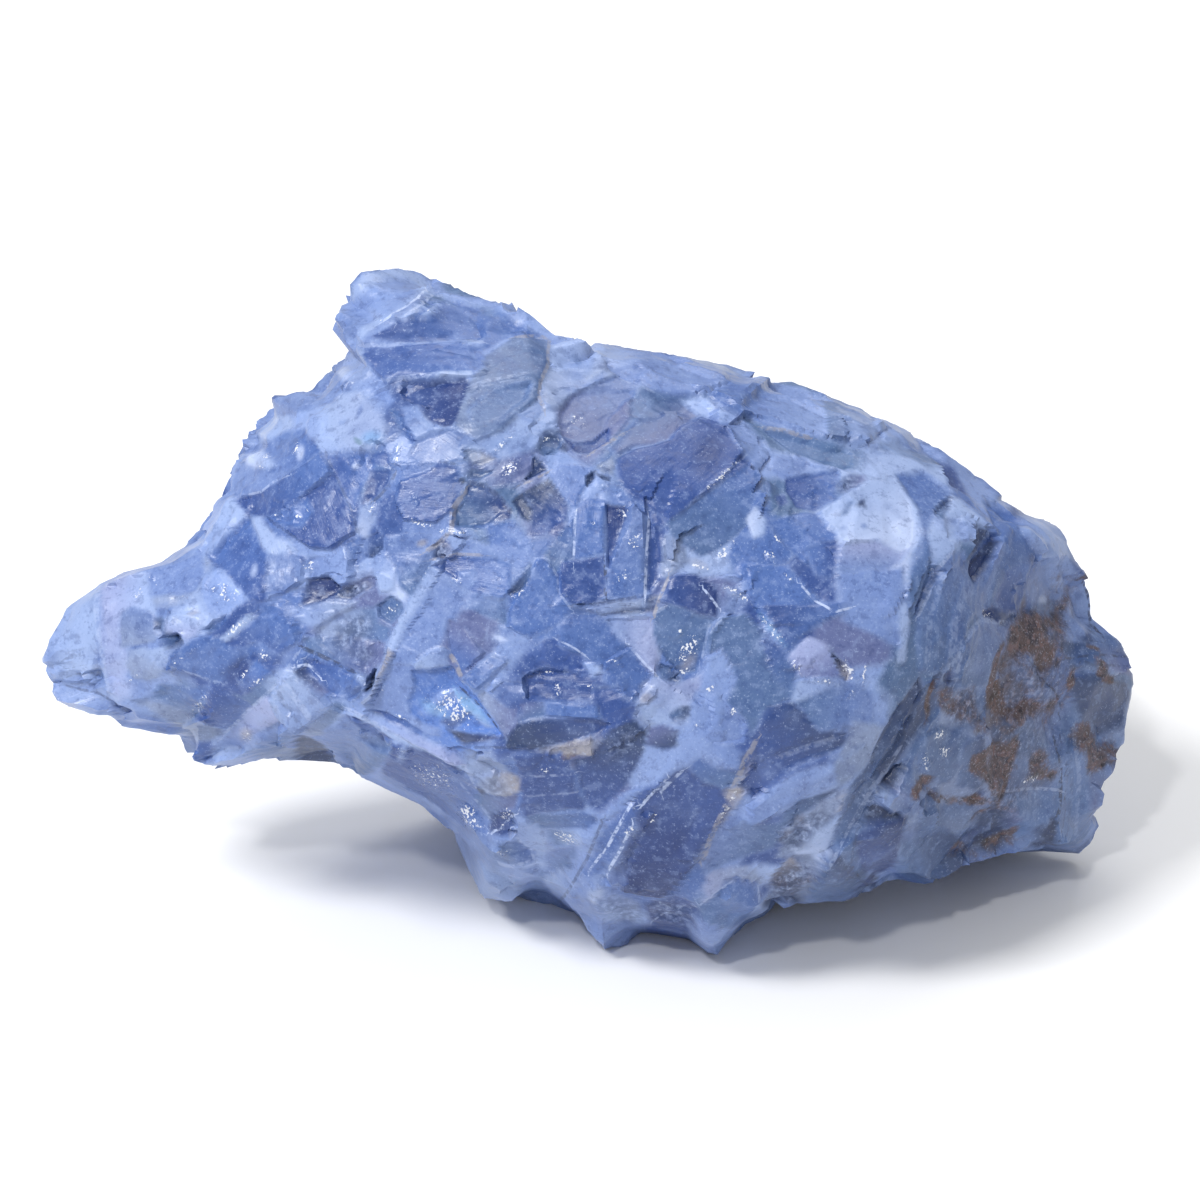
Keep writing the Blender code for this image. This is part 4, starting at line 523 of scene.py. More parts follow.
        -41.1, 0.5, -38.6, -0.9, -36.5, -0.1, -36.1, -0.9, -40.7, -4.9, -43.2, -3.7, -45.7, -3.1]),
    "chest second band": ("steel", "blue", 30, 0.25, 0.0, [-48.1, -6.0, -47.3, -4.6, -43.8, -5.1,
        -41.3, -4.9, -43.4, -8.0]),
    "chest third band": ("blue", "deep", 150, 0.25, 0.1, [-43.4, -8.8, -40.8, -5.1, -37.5, -6.6,
        -36.9, -7.5, -39.2, -9.5, -40.5, -9.7]),
    "chest fourth band": ("deep", "blue", 60, 0.25, 0.1, [-39.0, -5.6, -36.8, -2.1, -35.4, -2.8,
        -35.0, -3.5, -37.3, -5.7, -38.0, -6.1]),
    "grey prism": ("mist", "grey", 330, 0.35, 0.0, [-49.4, -6.6, -47.7, -6.6, -44.4, -8.0, -43.4, -9.1,
        -40.1, -9.8, -41.3, -11.1, -43.2, -11.2, -44.6, -10.7, -45.4, -9.5, -48.1, -7.8]),
    "throat": ("blue", "soft", 150, 0.6, -0.1, [-51.9, -8.4, -49.4, -7.6, -47.7, -8.8, -45.5, -9.6,
        -45.1, -10.5, -47.3, -10.7, -50.2, -10.2]),
    "pale prism": ("pale", "sky", 300, 0.25, 0.4, [-34.0, -4.6, -31.9, -2.8, -28.3, -7.0, -32.0, -10.5,
        -34.2, -8.5, -35.2, -6.6]),
    "prism side": ("slate", "mauve", 0, 0.25, -0.2, [-32.5, -3.1, -31.3, -2.7, -28.3, -5.7, -29.4, -5.8]),
    "clear wedge": ("soft", "lilac", 30, 0.3, 0.1, [-41.0, -12.2, -37.5, -7.6, -35.2, -6.1,
        -33.8, -8.8, -36.5, -10.0, -39.4, -12.4]),
    "clear wedge right": ("soft", "steel", 300, 0.3, 0.1, [-36.4, -10.3, -33.9, -8.9, -32.5, -10.7,
        -34.0, -12.2, -36.1, -13.3, -36.7, -11.8]),
    "chin left": ("blue", "deep", 0, 0.4, 0.0, [-43.9, -11.4, -41.6, -11.2, -41.4, -13.7, -44.1, -13.7]),
    "chin tooth": ("pale", "sky", 300, 0.4, 0.2, [-41.8, -14.4, -41.1, -12.0, -38.8, -11.6,
        -36.1, -13.3, -34.7, -13.0, -38.2, -14.0]),
    "under shade": ("slate", "slate", 0, 0.4, -0.2, [-32.2, -13.5, -32.2, -10.2, -30.5, -10.6,
        -28.9, -11.7, -27.7, -13.9, -30.9, -14.1]),
    "ribbed purple": ("steel", "mauve", 0, 0.5, 0.0, [-31.5, 0.6, -25.6, 0.6, -22.1, 0.0, -22.7, -2.5,
        -23.9, -4.0, -31.3, -0.8]),
    "deep blade": ("deep", "blue", 330, 0.25, -0.2, [-31.3, -1.8, -29.1, -2.3, -26.2, -3.5,
        -24.9, -4.8, -27.7, -6.3, -31.1, -3.3]),
    "white wedge": ("pale", "pale", 0, 0.2, 0.1, [-25.9, -3.6, -24.3, -3.9, -24.8, -4.8]),
    "fin gap": ("dark", "slate", 60, 0.2, -0.8, [-25.0, -6.2, -24.2, -3.9, -23.2, -2.7, -23.9, -5.5]),
    "cream fin": ("mist", "tan", 90, 0.35, 0.5, [-23.9, -5.6, -21.9, -0.6, -21.1, -1.2, -22.7, -4.1,
        -23.2, -5.9, -24.4, -7.1, -25.0, -6.3]),
    "fin field": ("soft", "soft", 300, 0.4, 0.0, [-21.1, -1.0, -20.3, -0.4, -18.4, -1.2, -19.5, -5.1,
        -20.3, -6.5, -20.3, -8.2, -22.7, -8.0, -24.4, -7.1, -23.2, -5.9, -22.6, -3.9]),
    "grey bar": ("mist", "steel", 45, 0.3, 0.1, [-31.4, -10.1, -27.8, -6.6, -26.3, -7.0, -29.4, -10.4,
        -30.9, -10.6]),
    "triangle cap": ("pale", "sky", 0, 0.35, 0.2, [-19.1, -2.4, -18.2, -1.5, -15.4, -0.6, -15.1, -1.2,
        -15.3, -2.7, -18.9, -3.1]),
    "sparkle triangle": ("electric", "blue", 110, 0.3, -0.3, [-19.3, -3.2, -14.8, -2.7, -14.1, -4.3,
        -12.1, -6.1, -9.2, -10.6, -13.7, -11.5, -19.5, -8.0, -19.9, -6.5, -19.1, -4.7]),
    "triangle foot": ("dark", "navy", 0, 0.35, 0.0, [-15.6, -10.0, -9.2, -10.7, -13.7, -11.5]),
    "triangle sill": ("sky", "soft", 0, 0.5, 0.1, [-19.5, -8.2, -16.6, -9.5, -16.0, -10.5,
        -17.6, -10.3, -19.5, -9.2]),
    "long ridge": ("sky", "lilac", 330, 0.25, 0.4, [-26.1, -7.5, -24.7, -7.1, -17.4, -10.9,
        -14.4, -12.1, -13.3, -13.3, -14.8, -13.1]),
    "ridge slot": ("deep", "blue", 330, 0.25, -0.2, [-24.2, -7.5, -21.9, -7.9, -18.7, -9.4,
        -17.4, -10.6, -21.9, -8.8]),
    "barred field": ("soft", "steel", 300, 0.35, 0.1, [-29.3, -10.6, -26.8, -8.1, -25.8, -8.2,
        -21.3, -11.5, -22.9, -14.2, -28.3, -12.3]),
    "bar one": ("deep", "blue", 330, 0.2, -0.2, [-26.5, -8.3, -25.4, -8.3, -23.0, -9.8, -23.3, -10.4,
        -25.0, -9.8]),
    "bar two": ("deep", "blue", 330, 0.2, -0.2, [-22.8, -10.0, -21.3, -10.8, -21.5, -11.5, -22.8, -10.8]),
    "dark block": ("deep", "navy", 350, 0.35, 0.1, [-21.5, -11.6, -20.3, -11.0, -14.4, -13.6,
        -12.8, -15.5, -13.9, -17.6, -15.0, -18.4, -16.6, -18.0, -20.3, -14.3]),
    "block edge": ("soft", "sky", 200, 0.5, 0.0, [-24.8, -15.0, -22.9, -14.3, -20.3, -14.5,
        -18.7, -16.2, -15.4, -17.9, -15.2, -19.7]),
    "speckled foot": ("deep", "blue", 300, 0.35, 0.0, [-15.0, -18.5, -13.3, -17.6, -10.7, -20.6,
        -11.3, -21.7, -12.9, -21.7, -14.4, -19.9]),
    "lower face": ("soft", "sky", 300, 0.6, 0.0, [-15.4, -19.9, -14.4, -19.9, -12.9, -21.7,
        -10.3, -21.8, -10.1, -23.5, -9.2, -25.4, -7.2, -25.9, -6.4, -28.8, -11.7, -28.8, -14.2, -22.1]),
    "dark rounds": ("navy", "deep", 0, 0.3, -0.3, [-10.6, -19.5, -9.2, -18.8, -7.9, -19.0, -7.8, -20.7,
        -8.6, -21.7, -10.3, -21.4]),
    "tan crumb": ("mist", "tan", 0, 0.5, 0.1, [-12.1, -15.1, -10.1, -14.1, -7.7, -16.4, -9.2, -17.0,
        -10.9, -16.8]),
    "crumb shade": ("slate", "mauve", 0, 0.4, -0.1, [-12.1, -15.9, -9.0, -17.2, -7.5, -17.0,
        -8.0, -18.5, -10.9, -19.2, -11.7, -17.8]),
    "stepped block": ("deep", "deep", 270, 0.25, 0.2, [-8.2, -12.3, -2.3, -12.3, -0.2, -18.5,
        -4.7, -18.7, -6.9, -19.3, -7.4, -14.3]),
    "block foot": ("steel", "blue", 0, 0.35, 0.1, [-6.5, -19.4, -4.7, -18.7, 0.2, -18.6, 0.8, -20.5,
        -4.3, -20.6]),
    "lens grain": ("slate", "deep", 30, 0.3, 0.1, [-8.9, -11.6, -8.8, -10.3, -8.0, -9.0, -5.2, -8.4,
        1.0, -8.4, 3.0, -9.0, 1.4, -10.2, -3.9, -11.6]),
    "tan rim": ("tan", "tan", 0, 0.3, 0.2, [-3.6, -11.6, 0.8, -10.3, 0.8, -12.7, -1.5, -12.5,
        -2.1, -13.1, -2.6, -12.2]),
    "pale bar": ("blue", "blue", 0, 0.25, 0.2, [-4.6, -6.6, 1.0, -6.8, 1.8, -8.4, -4.4, -8.2]),
    "purple block": ("mauve", "steel", 300, 0.3, 0.0, [-7.3, -6.8, -4.7, -6.8, -4.5, -8.2, -8.0, -9.0,
        -7.1, -7.8]),
    "slant bar": ("blue", "soft", 0, 0.25, 0.1, [-13.6, -4.1, -10.7, -1.5, -8.6, -1.7, -9.2, -2.9,
        -12.0, -5.4]),
    "grey rub": ("mist", "mauve", 0, 0.4, 0.0, [-12.1, -6.0, -11.3, -5.4, -8.6, -7.4, -7.5, -7.4,
        -7.8, -9.0, -9.0, -10.6]),
    "pale fan": ("pale", "pale", 330, 0.35, 0.1, [-7.8, -19.1, -6.0, -20.1, -4.5, -21.7, -4.1, -23.1,
        -5.2, -24.1, -7.9, -21.5]),
    "white crush": ("steel", "pale", 0, 0.6, 0.0, [-4.5, -20.7, -1.1, -20.7, 0.6, -21.7, 0.4, -23.5,
        -1.5, -22.7, -3.5, -22.7]),
    "low steel": ("soft", "steel", 300, 0.5, -0.1, [-4.1, -23.2, -1.5, -22.7, -0.4, -24.1, -1.5, -25.4,
        -3.5, -25.2, -4.7, -24.5]),
    "low pale": ("white", "pale", 0, 0.4, 0.1, [-9.4, -25.4, -6.8, -24.8, -5.2, -23.9, -4.5, -24.5,
        -6.0, -27.2, -7.2, -25.8, -9.0, -26.0]),
    "low pale chip": ("white", "pale", 0, 0.4, 0.2, [-4.8, -26.0, -2.3, -25.2, -0.5, -25.6,
        -3.1, -28.7, -4.3, -27.6]),
    "foot right": ("soft", "sky", 60, 0.35, 0.0, [-2.9, -28.8, 0.4, -24.1, 1.8, -24.5, 1.8, -30.7,
        -2.5, -30.7]),
    "dark round left": ("blue", "blue", 300, 0.35, 0.1, [-3.0, 1.8, -1.8, 3.0, 1.1, 3.2, 3.2, 1.4,
        7.2, -3.8, 5.2, -6.6, 3.8, -5.4, 1.9, -2.9, -0.3, -1.5, -3.0, -0.5]),
    "milk wedge": ("sky", "lilac", 0, 0.35, 0.0, [1.9, 2.6, 7.2, 2.8, 8.2, -1.7, 7.7, -3.8, 6.0, -2.3,
        4.8, -0.5, 3.6, 0.3]),
    "rough chunk": ("steel", "steel", 60, 0.3, -0.2, [7.8, 3.8, 9.3, 4.2, 14.4, 2.6, 13.4, 0.9,
        12.2, -3.3, 10.3, -3.8, 8.1, -0.7, 7.4, 0.9]),
    "dark leaf": ("steel", "slate", 0, 0.3, -0.3, [8.1, -2.3, 9.3, -2.7, 10.3, -4.0, 10.1, -4.6,
        9.1, -4.6, 8.3, -3.8]),
    "middle milk": ("pale", "lilac", 60, 0.6, 0.0, [6.2, -4.6, 7.7, -3.8, 10.1, -4.8, 13.0, -3.3,
        12.6, -5.0, 11.3, -7.0, 8.9, -9.1, 6.8, -8.7, 5.6, -7.0]),
    "centre light": ("sky", "soft", 300, 0.8, 0.0, [13.0, -1.7, 14.8, -0.7, 15.8, -2.7, 16.4, -4.2,
        15.4, -6.6, 17.5, -8.7, 17.5, -11.1, 14.6, -11.5, 11.3, -9.9, 11.3, -7.0, 12.6, -5.0]),
    "soft field": ("steel", "steel", 300, 0.5, 0.1, [14.8, 2.8, 17.5, 3.2, 19.5, 1.2, 20.1, -1.7,
        21.4, -4.6, 22.6, -6.2, 19.5, -7.8, 18.3, -10.7, 17.7, -8.7, 15.6, -6.6, 16.7, -4.2,
        15.0, -0.5, 13.2, -1.3, 13.4, 0.9]),
    "dark lobe": ("deep", "steel", 300, 0.35, 0.1, [19.3, 0.7, 21.6, -0.7, 23.2, -3.3, 23.0, -5.4,
        22.4, -6.2, 19.9, -2.5]),
    "upper facet": ("deep", "blue", 330, 0.35, 0.2, [19.5, 4.0, 25.2, 4.0, 29.1, 4.6, 29.1, 3.2,
        26.3, 2.2, 23.6, 0.3, 22.4, -1.3, 21.2, 0.3]),
    "lilac slab": ("lilac", "mauve", 300, 0.3, 0.2, [22.4, -1.3, 24.6, 0.5, 26.7, -0.1, 28.6, -3.8,
        25.7, -4.4, 23.4, -3.8]),
    "grey field": ("steel", "soft", 0, 0.5, 0.0, [23.4, -7.0, 22.8, -5.4, 23.6, -4.2, 29.1, -4.6,
        31.8, -5.8, 31.8, -8.7, 29.1, -9.9, 25.7, -9.9]),
    "striated band": ("deep", "slate", 30, 0.4, -0.1, [18.3, -10.3, 20.1, -7.4, 22.6, -6.4, 25.7, -9.9,
        29.1, -9.9, 31.8, -9.1, 30.6, -10.7, 23.6, -13.6, 18.5, -17.7, 17.1, -16.0, 18.7, -12.6]),
    "long pale slab": ("sky", "soft", 210, 0.35, 0.2, [17.5, -20.1, 18.5, -17.9, 23.4, -14.4,
        26.7, -13.4, 28.1, -14.4, 27.3, -16.0, 22.6, -17.9, 18.3, -20.4]),
    "grey chip": ("steel", "slate", 0, 0.3, -0.1, [9.1, -8.1, 10.1, -7.2, 11.5, -7.0, 11.3, -8.1,
        9.7, -8.7]),
    "purple square": ("mauve", "slate", 300, 0.4, 0.0, [6.8, -9.5, 8.5, -9.1, 10.3, -9.7, 10.1, -11.5,
        8.5, -11.9, 6.6, -11.5]),
    "dark mass": ("slate", "deep", 250, 0.4, -0.1, [0.5, -12.8, 2.7, -9.7, 5.2, -8.7, 6.6, -9.9,
        6.4, -11.9, 4.4, -16.0, 1.5, -18.7, 0.1, -18.3, -1.6, -13.2]),
    "window top": ("blue", "steel", 300, 0.5, 0.0, [12.2, -12.6, 14.6, -14.0, 16.7, -14.4, 17.1, -16.0,
        14.8, -16.2, 13.0, -15.6, 11.3, -14.0]),
    "window milk": ("sky", "soft", 0, 0.8, 0.1, [10.9, -9.9, 17.5, -12.3, 16.7, -14.0, 14.6, -14.0,
        12.6, -12.1, 11.3, -13.6, 9.7, -13.6]),
    "deep window": ("navy", "deep", 60, 0.4, 0.2, [10.1, -14.2, 11.3, -14.0, 13.0, -15.8, 14.4, -16.0,
        16.0, -17.7, 11.1, -25.8, 8.5, -28.3, 3.8, -27.5, 5.6, -22.2, 5.8, -19.1, 6.8, -17.1]),
    "window rib": ("deep", "blue", 240, 0.35, 0.1, [1.7, -21.1, 6.0, -16.4, 10.1, -14.0, 6.8, -17.1,
        1.7, -25.8, -0.7, -26.3]),
    "pale ribbon": ("sky", "soft", 60, 0.35, 0.1, [0.1, -18.3, 1.7, -18.9, 3.8, -16.8, 5.6, -16.0,
        6.4, -16.2, 1.9, -20.1, -1.1, -25.8, -2.2, -25.8, -0.5, -21.8]),
    "right of line": ("soft", "steel", 330, 0.5, 0.0, [13.8, -21.1, 16.4, -19.1, 19.5, -20.3,
        22.4, -19.7, 20.7, -22.8, 13.0, -25.6]),
    "dark under slab": ("steel", "slate", 0, 0.4, -0.2, [21.6, -19.1, 23.2, -17.8, 28.3, -16.0,
        22.4, -20.5]),
    "grit upper": ("mist", "tan", 30, 0.5, -0.1, [21.6, -20.9, 24.6, -20.1, 25.7, -18.5, 28.5, -16.8,
        28.3, -18.7, 24.6, -20.7, 23.6, -23.0, 21.2, -22.2]),
    "white tongue": ("white", "pale", 60, 0.5, 0.1, [22.2, -24.2, 25.2, -20.7, 28.1, -19.1,
        26.1, -25.2, 24.2, -25.8]),
    "left tooth": ("sky", "soft", 270, 0.4, 0.0, [-1.1, -30.5, 1.6, -30.3, 6.3, -32.3, 5.2, -34.3,
        3.8, -34.6, 2.1, -35.8]),
    "mottled foot": ("soft", "mist", 300, 0.5, 0.2, [-2.8, -28.7, 0.2, -26.7, 5.6, -29.1, 6.8, -31.6,
        1.6, -30.3, -1.1, -30.5]),
    "dark crush": ("deep", "slate", 0, 0.5, -0.2, [6.5, -31.2, 7.4, -28.7, 12.9, -29.8, 12.6, -32.8]),
    "right tooth": ("soft", "soft", 300, 0.35, 0.1, [11.6, -30.5, 16.2, -25.9, 18.7, -27.1,
        19.3, -28.7, 18.7, -29.9, 14.0, -35.1, 12.0, -33.7, 11.5, -32.8]),
    "pale lip": ("lilac", "pale", 0, 0.35, 0.3, [12.5, -27.6, 14.0, -25.8, 15.1, -25.1, 17.4, -25.5,
        18.7, -24.4, 21.5, -24.7, 19.9, -27.2, 16.5, -25.8]),
    "brown grit": ("mist", "slate", 300, 0.4, -0.3, [19.5, -29.1, 20.3, -26.7, 22.3, -23.9,
        23.2, -24.6, 24.9, -24.6, 25.7, -26.9, 23.2, -29.5, 21.9, -28.8, 19.6, -29.9]),
    "shaded wall": ("teal", "slate", 250, 0.4, 0.0, [27.8, -20.6, 30.2, -16.3, 31.4, -17.2,
        30.9, -28.5, 28.0, -28.8, 24.4, -28.6]),
    "oval lower": ("lilac", "soft", 270, 0.9, 0.0, [27.9, 11.0, 31.3, 11.4, 35.1, 11.0, 35.9, 10.7,
        34.9, 8.9, 33.4, 7.9, 30.6, 7.5, 27.5, 8.2]),
    "white oval": ("pale", "white", 300, 0.7, 0.1, [25.6, 14.3, 30.6, 17.3, 32.1, 17.8, 33.6, 17.6,
        34.9, 17.0, 35.7, 15.9, 36.5, 12.8, 36.3, 11.4, 35.7, 10.4, 34.6, 10.0, 32.1, 11.2, 28.0, 10.5,
        27.4, 12.1, 26.5, 12.4]),
    "oval grit": ("steel", "mauve", 0, 0.5, -0.1, [27.9, 17.8, 29.1, 18.5, 30.6, 18.4, 31.0, 17.9,
        27.3, 15.6]),
    "smooth arc": ("steel", "blue", 100, 0.7, 0.0, [34.2, 18.3, 37.1, 18.8, 40.5, 16.5, 38.6, 14.8,
        37.7, 12.1, 38.2, 9.5, 36.2, 3.1, 35.1, 4.9, 36.0, 9.1, 37.1, 11.9, 36.6, 14.8]),
    "slot upper": ("slate", "slate", 0, 0.3, -0.4, [38.6, 13.7, 38.4, 14.6, 40.5, 16.5, 39.8, 14.5]),
    "slot right": ("navy", "deep", 60, 0.3, -0.5, [42.2, 7.7, 42.4, 8.9, 43.4, 10.4, 45.5, 12.4,
        45.6, 11.3, 44.7, 8.9, 42.8, 6.4]),
    "slot lower": ("blue", "soft", 60, 0.25, -0.4, [36.3, 2.8, 36.2, 3.8, 38.6, 8.1, 39.1, 7.7]),
    "streaked fan": ("steel", "soft", 60, 0.6, 0.1, [38.6, 7.1, 40.1, 9.7, 41.9, 10.0, 42.1, 7.3,
        42.8, 6.3, 46.1, 11.1, 46.8, 8.2, 44.5, 4.5, 42.3, 2.1, 40.8, -3.5, 36.8, -3.5, 36.4, 2.7]),
    "shoulder crest": ("soft", "sky", 320, 0.7, 0.1, [31.6, 24.7, 35.3, 23.4, 38.2, 21.6, 41.3, 20.3,
        44.3, 17.2, 47.0, 15.0, 46.1, 11.1, 45.5, 12.5, 42.6, 15.5, 40.4, 19.2, 37.1, 21.0, 32.7, 22.3]),
    "crest block": ("steel", "blue", 0, 0.3, 0.1, [26.2, 26.4, 27.8, 26.4, 31.4, 24.2, 31.4, 21.9,
        26.8, 22.1]),
    "pale flank": ("pale", "pale", 0, 0.5, 0.0, [34.2, 3.3, 35.3, 4.5, 35.6, 2.7, 35.3, -2.2, 34.4, -2.2]),
    "oval foot blue": ("soft", "soft", 250, 0.8, 0.0, [27.8, 7.5, 34.9, 8.2, 35.3, 4.9, 34.4, 3.1,
        34.6, -0.6, 28.5, 2.3]),
    "fringe": ("pale", "sky", 0, 0.6, 0.1, [22.6, -6.8, 23.2, -4.2, 25.0, -3.9, 29.0, -4.1]),
    "bead wedge": ("slate", "tan", 300, 0.25, -0.3, [27.0, -1.1, 28.7, -2.4, 29.4, -3.9, 28.7, -4.4,
        27.9, -3.5]),
    "web": ("grey", "mist", 60, 0.7, 0.0, [29.2, -8.6, 33.1, -9.2, 30.9, -13.9, 29.4, -15.6,
        27.9, -16.1, 27.4, -13.6, 28.7, -11.0]),
    "grit face": ("mist", "mist", 60, 0.5, -0.1, [21.2, -24.0, 22.1, -20.5, 26.1, -18.0, 28.7, -16.9,
        26.8, -20.2, 23.9, -20.9, 23.2, -23.7]),
    "grit pillars": ("slate", "mist", 0, 0.4, -0.2, [21.2, -26.4, 22.4, -23.8, 25.0, -23.5,
        25.7, -25.3, 24.1, -29.0, 21.2, -29.0]),
    "dark wall": ("slate", "steel", 240, 0.5, 0.0, [29.0, -16.0, 30.9, -13.9, 33.1, -9.5, 36.9, -3.7,
        37.5, -5.3, 34.6, -11.4, 32.4, -14.3, 31.3, -18.3, 29.8, -20.7, 29.6, -23.8, 30.1, -25.5,
        28.7, -29.0, 24.6, -29.0, 28.1, -20.2]),
    # Painted shade in the nook beside the tablet, and, two rows down, in the nook under it
    "nook": ("dark", "slate", 60, 0.3, -0.6, [32.3, -15.9, 34.0, -13.7, 35.1, -13.5, 35.0, -15.0,
        34.3, -16.4]),
    "tablet": ("sky", "lilac", 330, 0.2, 0.6, [31.8, -16.3, 34.0, -16.2, 36.6, -17.1, 35.1, -19.2,
        32.1, -18.2]),
    "nook low": ("pit", "dark", 60, 0.3, -0.5, [30.5, -20.8, 31.6, -18.3, 33.0, -18.6, 32.2, -19.9]),
    "deep prism": ("navy", "navy", 330, 0.35, 0.1, [31.6, -20.7, 33.1, -18.9, 35.1, -19.3, 34.9, -21.6,
        34.0, -24.9, 32.4, -25.9, 30.5, -25.5, 29.8, -23.7, 30.1, -21.1]),
    "foot facet": ("steel", "slate", 0, 0.5, 0.0, [35.9, -21.8, 38.8, -21.1, 41.5, -21.5, 42.3, -22.7,
        42.1, -24.6, 40.8, -26.2, 38.4, -26.8, 36.4, -26.8, 34.6, -25.9, 34.2, -24.8]),
    "wall end": ("slate", "navy", 0, 0.3, -0.3, [39.4, -4.2, 40.2, -2.7, 40.6, -4.0, 39.9, -4.9]),
    "grit ground": ("mist", "steel", 0, 0.5, -0.1, [40.4, -5.5, 42.1, -5.1, 43.9, -5.5, 44.3, -7.7,
        43.0, -9.5, 39.0, -9.2, 39.3, -7.3]),
    "glass mound": ("steel", "steel", 90, 0.5, 0.2, [37.3, -10.3, 39.0, -9.5, 41.5, -9.9, 43.0, -11.0,
        42.4, -12.8, 40.6, -15.2, 39.0, -15.9, 37.5, -14.7, 36.9, -12.8]),
    "side facet": ("steel", "slate", 0, 0.4, 0.1, [41.5, -11.4, 43.9, -10.3, 44.3, -14.7, 43.4, -16.5,
        40.8, -16.1]),
    "chip navy": ("pit", "navy", 0, 0.25, -0.3, [42.1, -17.5, 43.4, -16.5, 44.4, -17.1, 43.0, -18.1]),
    "chip dark low": ("dark", "pit", 0, 0.4, -0.3, [42.4, -22.9, 43.2, -21.3, 44.1, -21.1, 44.9, -21.8,
        44.7, -23.8, 43.4, -23.8]),
    "grey facet": ("steel", "grey", 300, 0.4, 0.1, [38.8, -18.3, 41.9, -17.6, 43.0, -18.2, 43.0, -20.4,
        40.8, -21.4, 38.6, -20.2]),
    "shoulder smooth": ("steel", "blue", 60, 0.6, 0.0, [43.9, 15.7, 47.4, 14.0, 50.0, 9.1, 47.4, 3.3,
        45.6, 2.0, 44.1, 3.5, 45.1, 7.9, 46.4, 10.4]),
    "shoulder slab": ("blue", "deep", 240, 0.4, 0.0, [44.9, 4.6, 46.4, 7.9, 49.2, 8.9, 49.8, 8.1,
        47.9, 4.3, 47.4, 2.1, 45.9, 2.3]),
    "end light": ("sky", "sky", 300, 0.6, 0.1, [47.7, 13.8, 50.2, 12.9, 53.0, 10.9, 53.5, 8.4,
        55.6, 4.8, 55.8, 2.0, 52.8, 1.3, 51.7, 4.8]),
    "milky prism": ("steel", "soft", 60, 0.4, 0.2, [40.7, -4.6, 41.3, -0.3, 43.6, 2.5, 47.3, 1.8,
        46.7, -0.1, 45.1, -2.3, 44.4, -5.0, 41.1, -5.2]),
    "rust face": ("rust", "steel", 90, 0.6, -0.1, [47.4, 2.1, 48.7, 3.8, 51.2, 4.6, 52.5, 3.9,
        52.3, 0.2, 51.0, -3.3, 49.2, -3.8, 47.4, -2.3, 45.9, -4.1, 45.4, -2.8]),
    "blue flake": ("sky", "blue", 250, 0.3, 0.4, [48.2, -1.7, 49.2, -3.9, 51.0, -5.2, 52.4, -7.4,
        51.9, -10.3, 50.7, -9.5, 50.2, -7.4, 48.4, -5.6]),
    "amber block": ("rust", "slate", 300, 0.4, 0.0, [45.8, -4.8, 48.3, -4.5, 48.6, -7.0, 45.9, -7.1]),
    "grey window": ("slate", "steel", 0, 0.4, 0.1, [44.9, -9.5, 47.4, -8.9, 50.5, -9.9, 51.1, -12.0,
        48.7, -13.2, 46.2, -13.2, 45.1, -11.4]),
    "end panel": ("steel", "steel", 30, 0.4, 0.1, [45.9, -17.2, 48.9, -16.4, 51.7, -16.5, 51.7, -19.3,
        46.4, -22.6, 45.4, -18.8]),
    "purple chip": ("slate", "mauve", 0, 0.3, 0.0, [45.4, -18.0, 47.4, -18.6, 47.8, -20.1, 45.6, -20.8]),
    "fibrous slab": ("steel", "steel", 270, 0.4, 0.2, [52.8, -12.5, 52.5, -8.1, 54.0, -8.4,
        56.8, -15.0, 54.8, -23.6, 51.7, -22.6, 51.7, -19.6]),
    "teal block": ("slate", "slate", 60, 0.4, 0.1, [53.0, -4.8, 54.3, -3.8, 59.6, -4.6, 60.1, -6.4,
        59.1, -9.7, 55.3, -11.1]),
    "end middle": ("steel", "slate", 100, 0.5, 0.0, [52.3, -0.3, 55.6, 1.8, 58.0, -3.8, 53.3, -3.4]),
    "tip": ("mauve", "steel", 100, 0.5, 0.1, [55.6, 1.1, 58.3, 0.5, 60.6, -2.3, 60.4, -4.1, 57.8, -3.4]),
    "end lower": ("steel", "mauve", 270, 0.5, -0.1, [55.3, -11.4, 59.4, -10.9, 58.1, -13.2,
        56.8, -18.3, 55.6, -20.1]),
    "end gap": ("slate", "dark", 0, 0.4, -0.3, [48.7, -22.9, 51.7, -19.7, 51.9, -22.4, 50.2, -23.1]),
    "tooth plate": ("soft", "sky", 250, 0.25, 0.1, [-1.3, -30.4, 4.0, -31.3, 6.4, -31.2, 5.1, -34.1,
        3.4, -34.4, 2.0, -35.5]),
    "tooth white a": ("pale", "sky", 0, 0.25, 0.1, [0.4, -27.4, 1.4, -27.2, 2.4, -27.6, 1.4, -28.2,
        1.2, -29.0, 0.6, -28.8]),
    "tooth white b": ("pale", "pale", 0, 0.3, 0.1, [1.4, -29.7, 2.6, -29.1, 4.0, -30.1, 3.8, -31.2,
        2.3, -31.0]),
    "tooth white c": ("pale", "sky", 0, 0.25, 0.1, [4.9, -30.3, 6.2, -29.9, 6.6, -31.0, 5.7, -31.5]),
    "mottled dark": ("navy", "deep", 0, 0.5, -0.1, [6.6, -29.0, 9.6, -28.3, 12.1, -29.0, 12.1, -31.0,
        10.7, -32.4, 8.5, -31.9, 7.1, -31.0]),
    "right plate": ("steel", "blue", 45, 0.2, 0.15, [11.6, -29.0, 13.0, -27.3, 15.3, -26.2,
        19.0, -27.6, 19.1, -29.0, 17.6, -30.8, 16.0, -31.8, 13.0, -31.0]),
    "right tooth plate": ("sky", "sky", 300, 0.25, 0.0, [11.7, -33.1, 17.5, -30.8, 14.1, -35.0]),
    "lip crisp": ("lilac", "mist", 20, 0.25, 0.2, [12.7, -27.3, 13.6, -25.5, 16.4, -24.9, 18.9, -24.7,
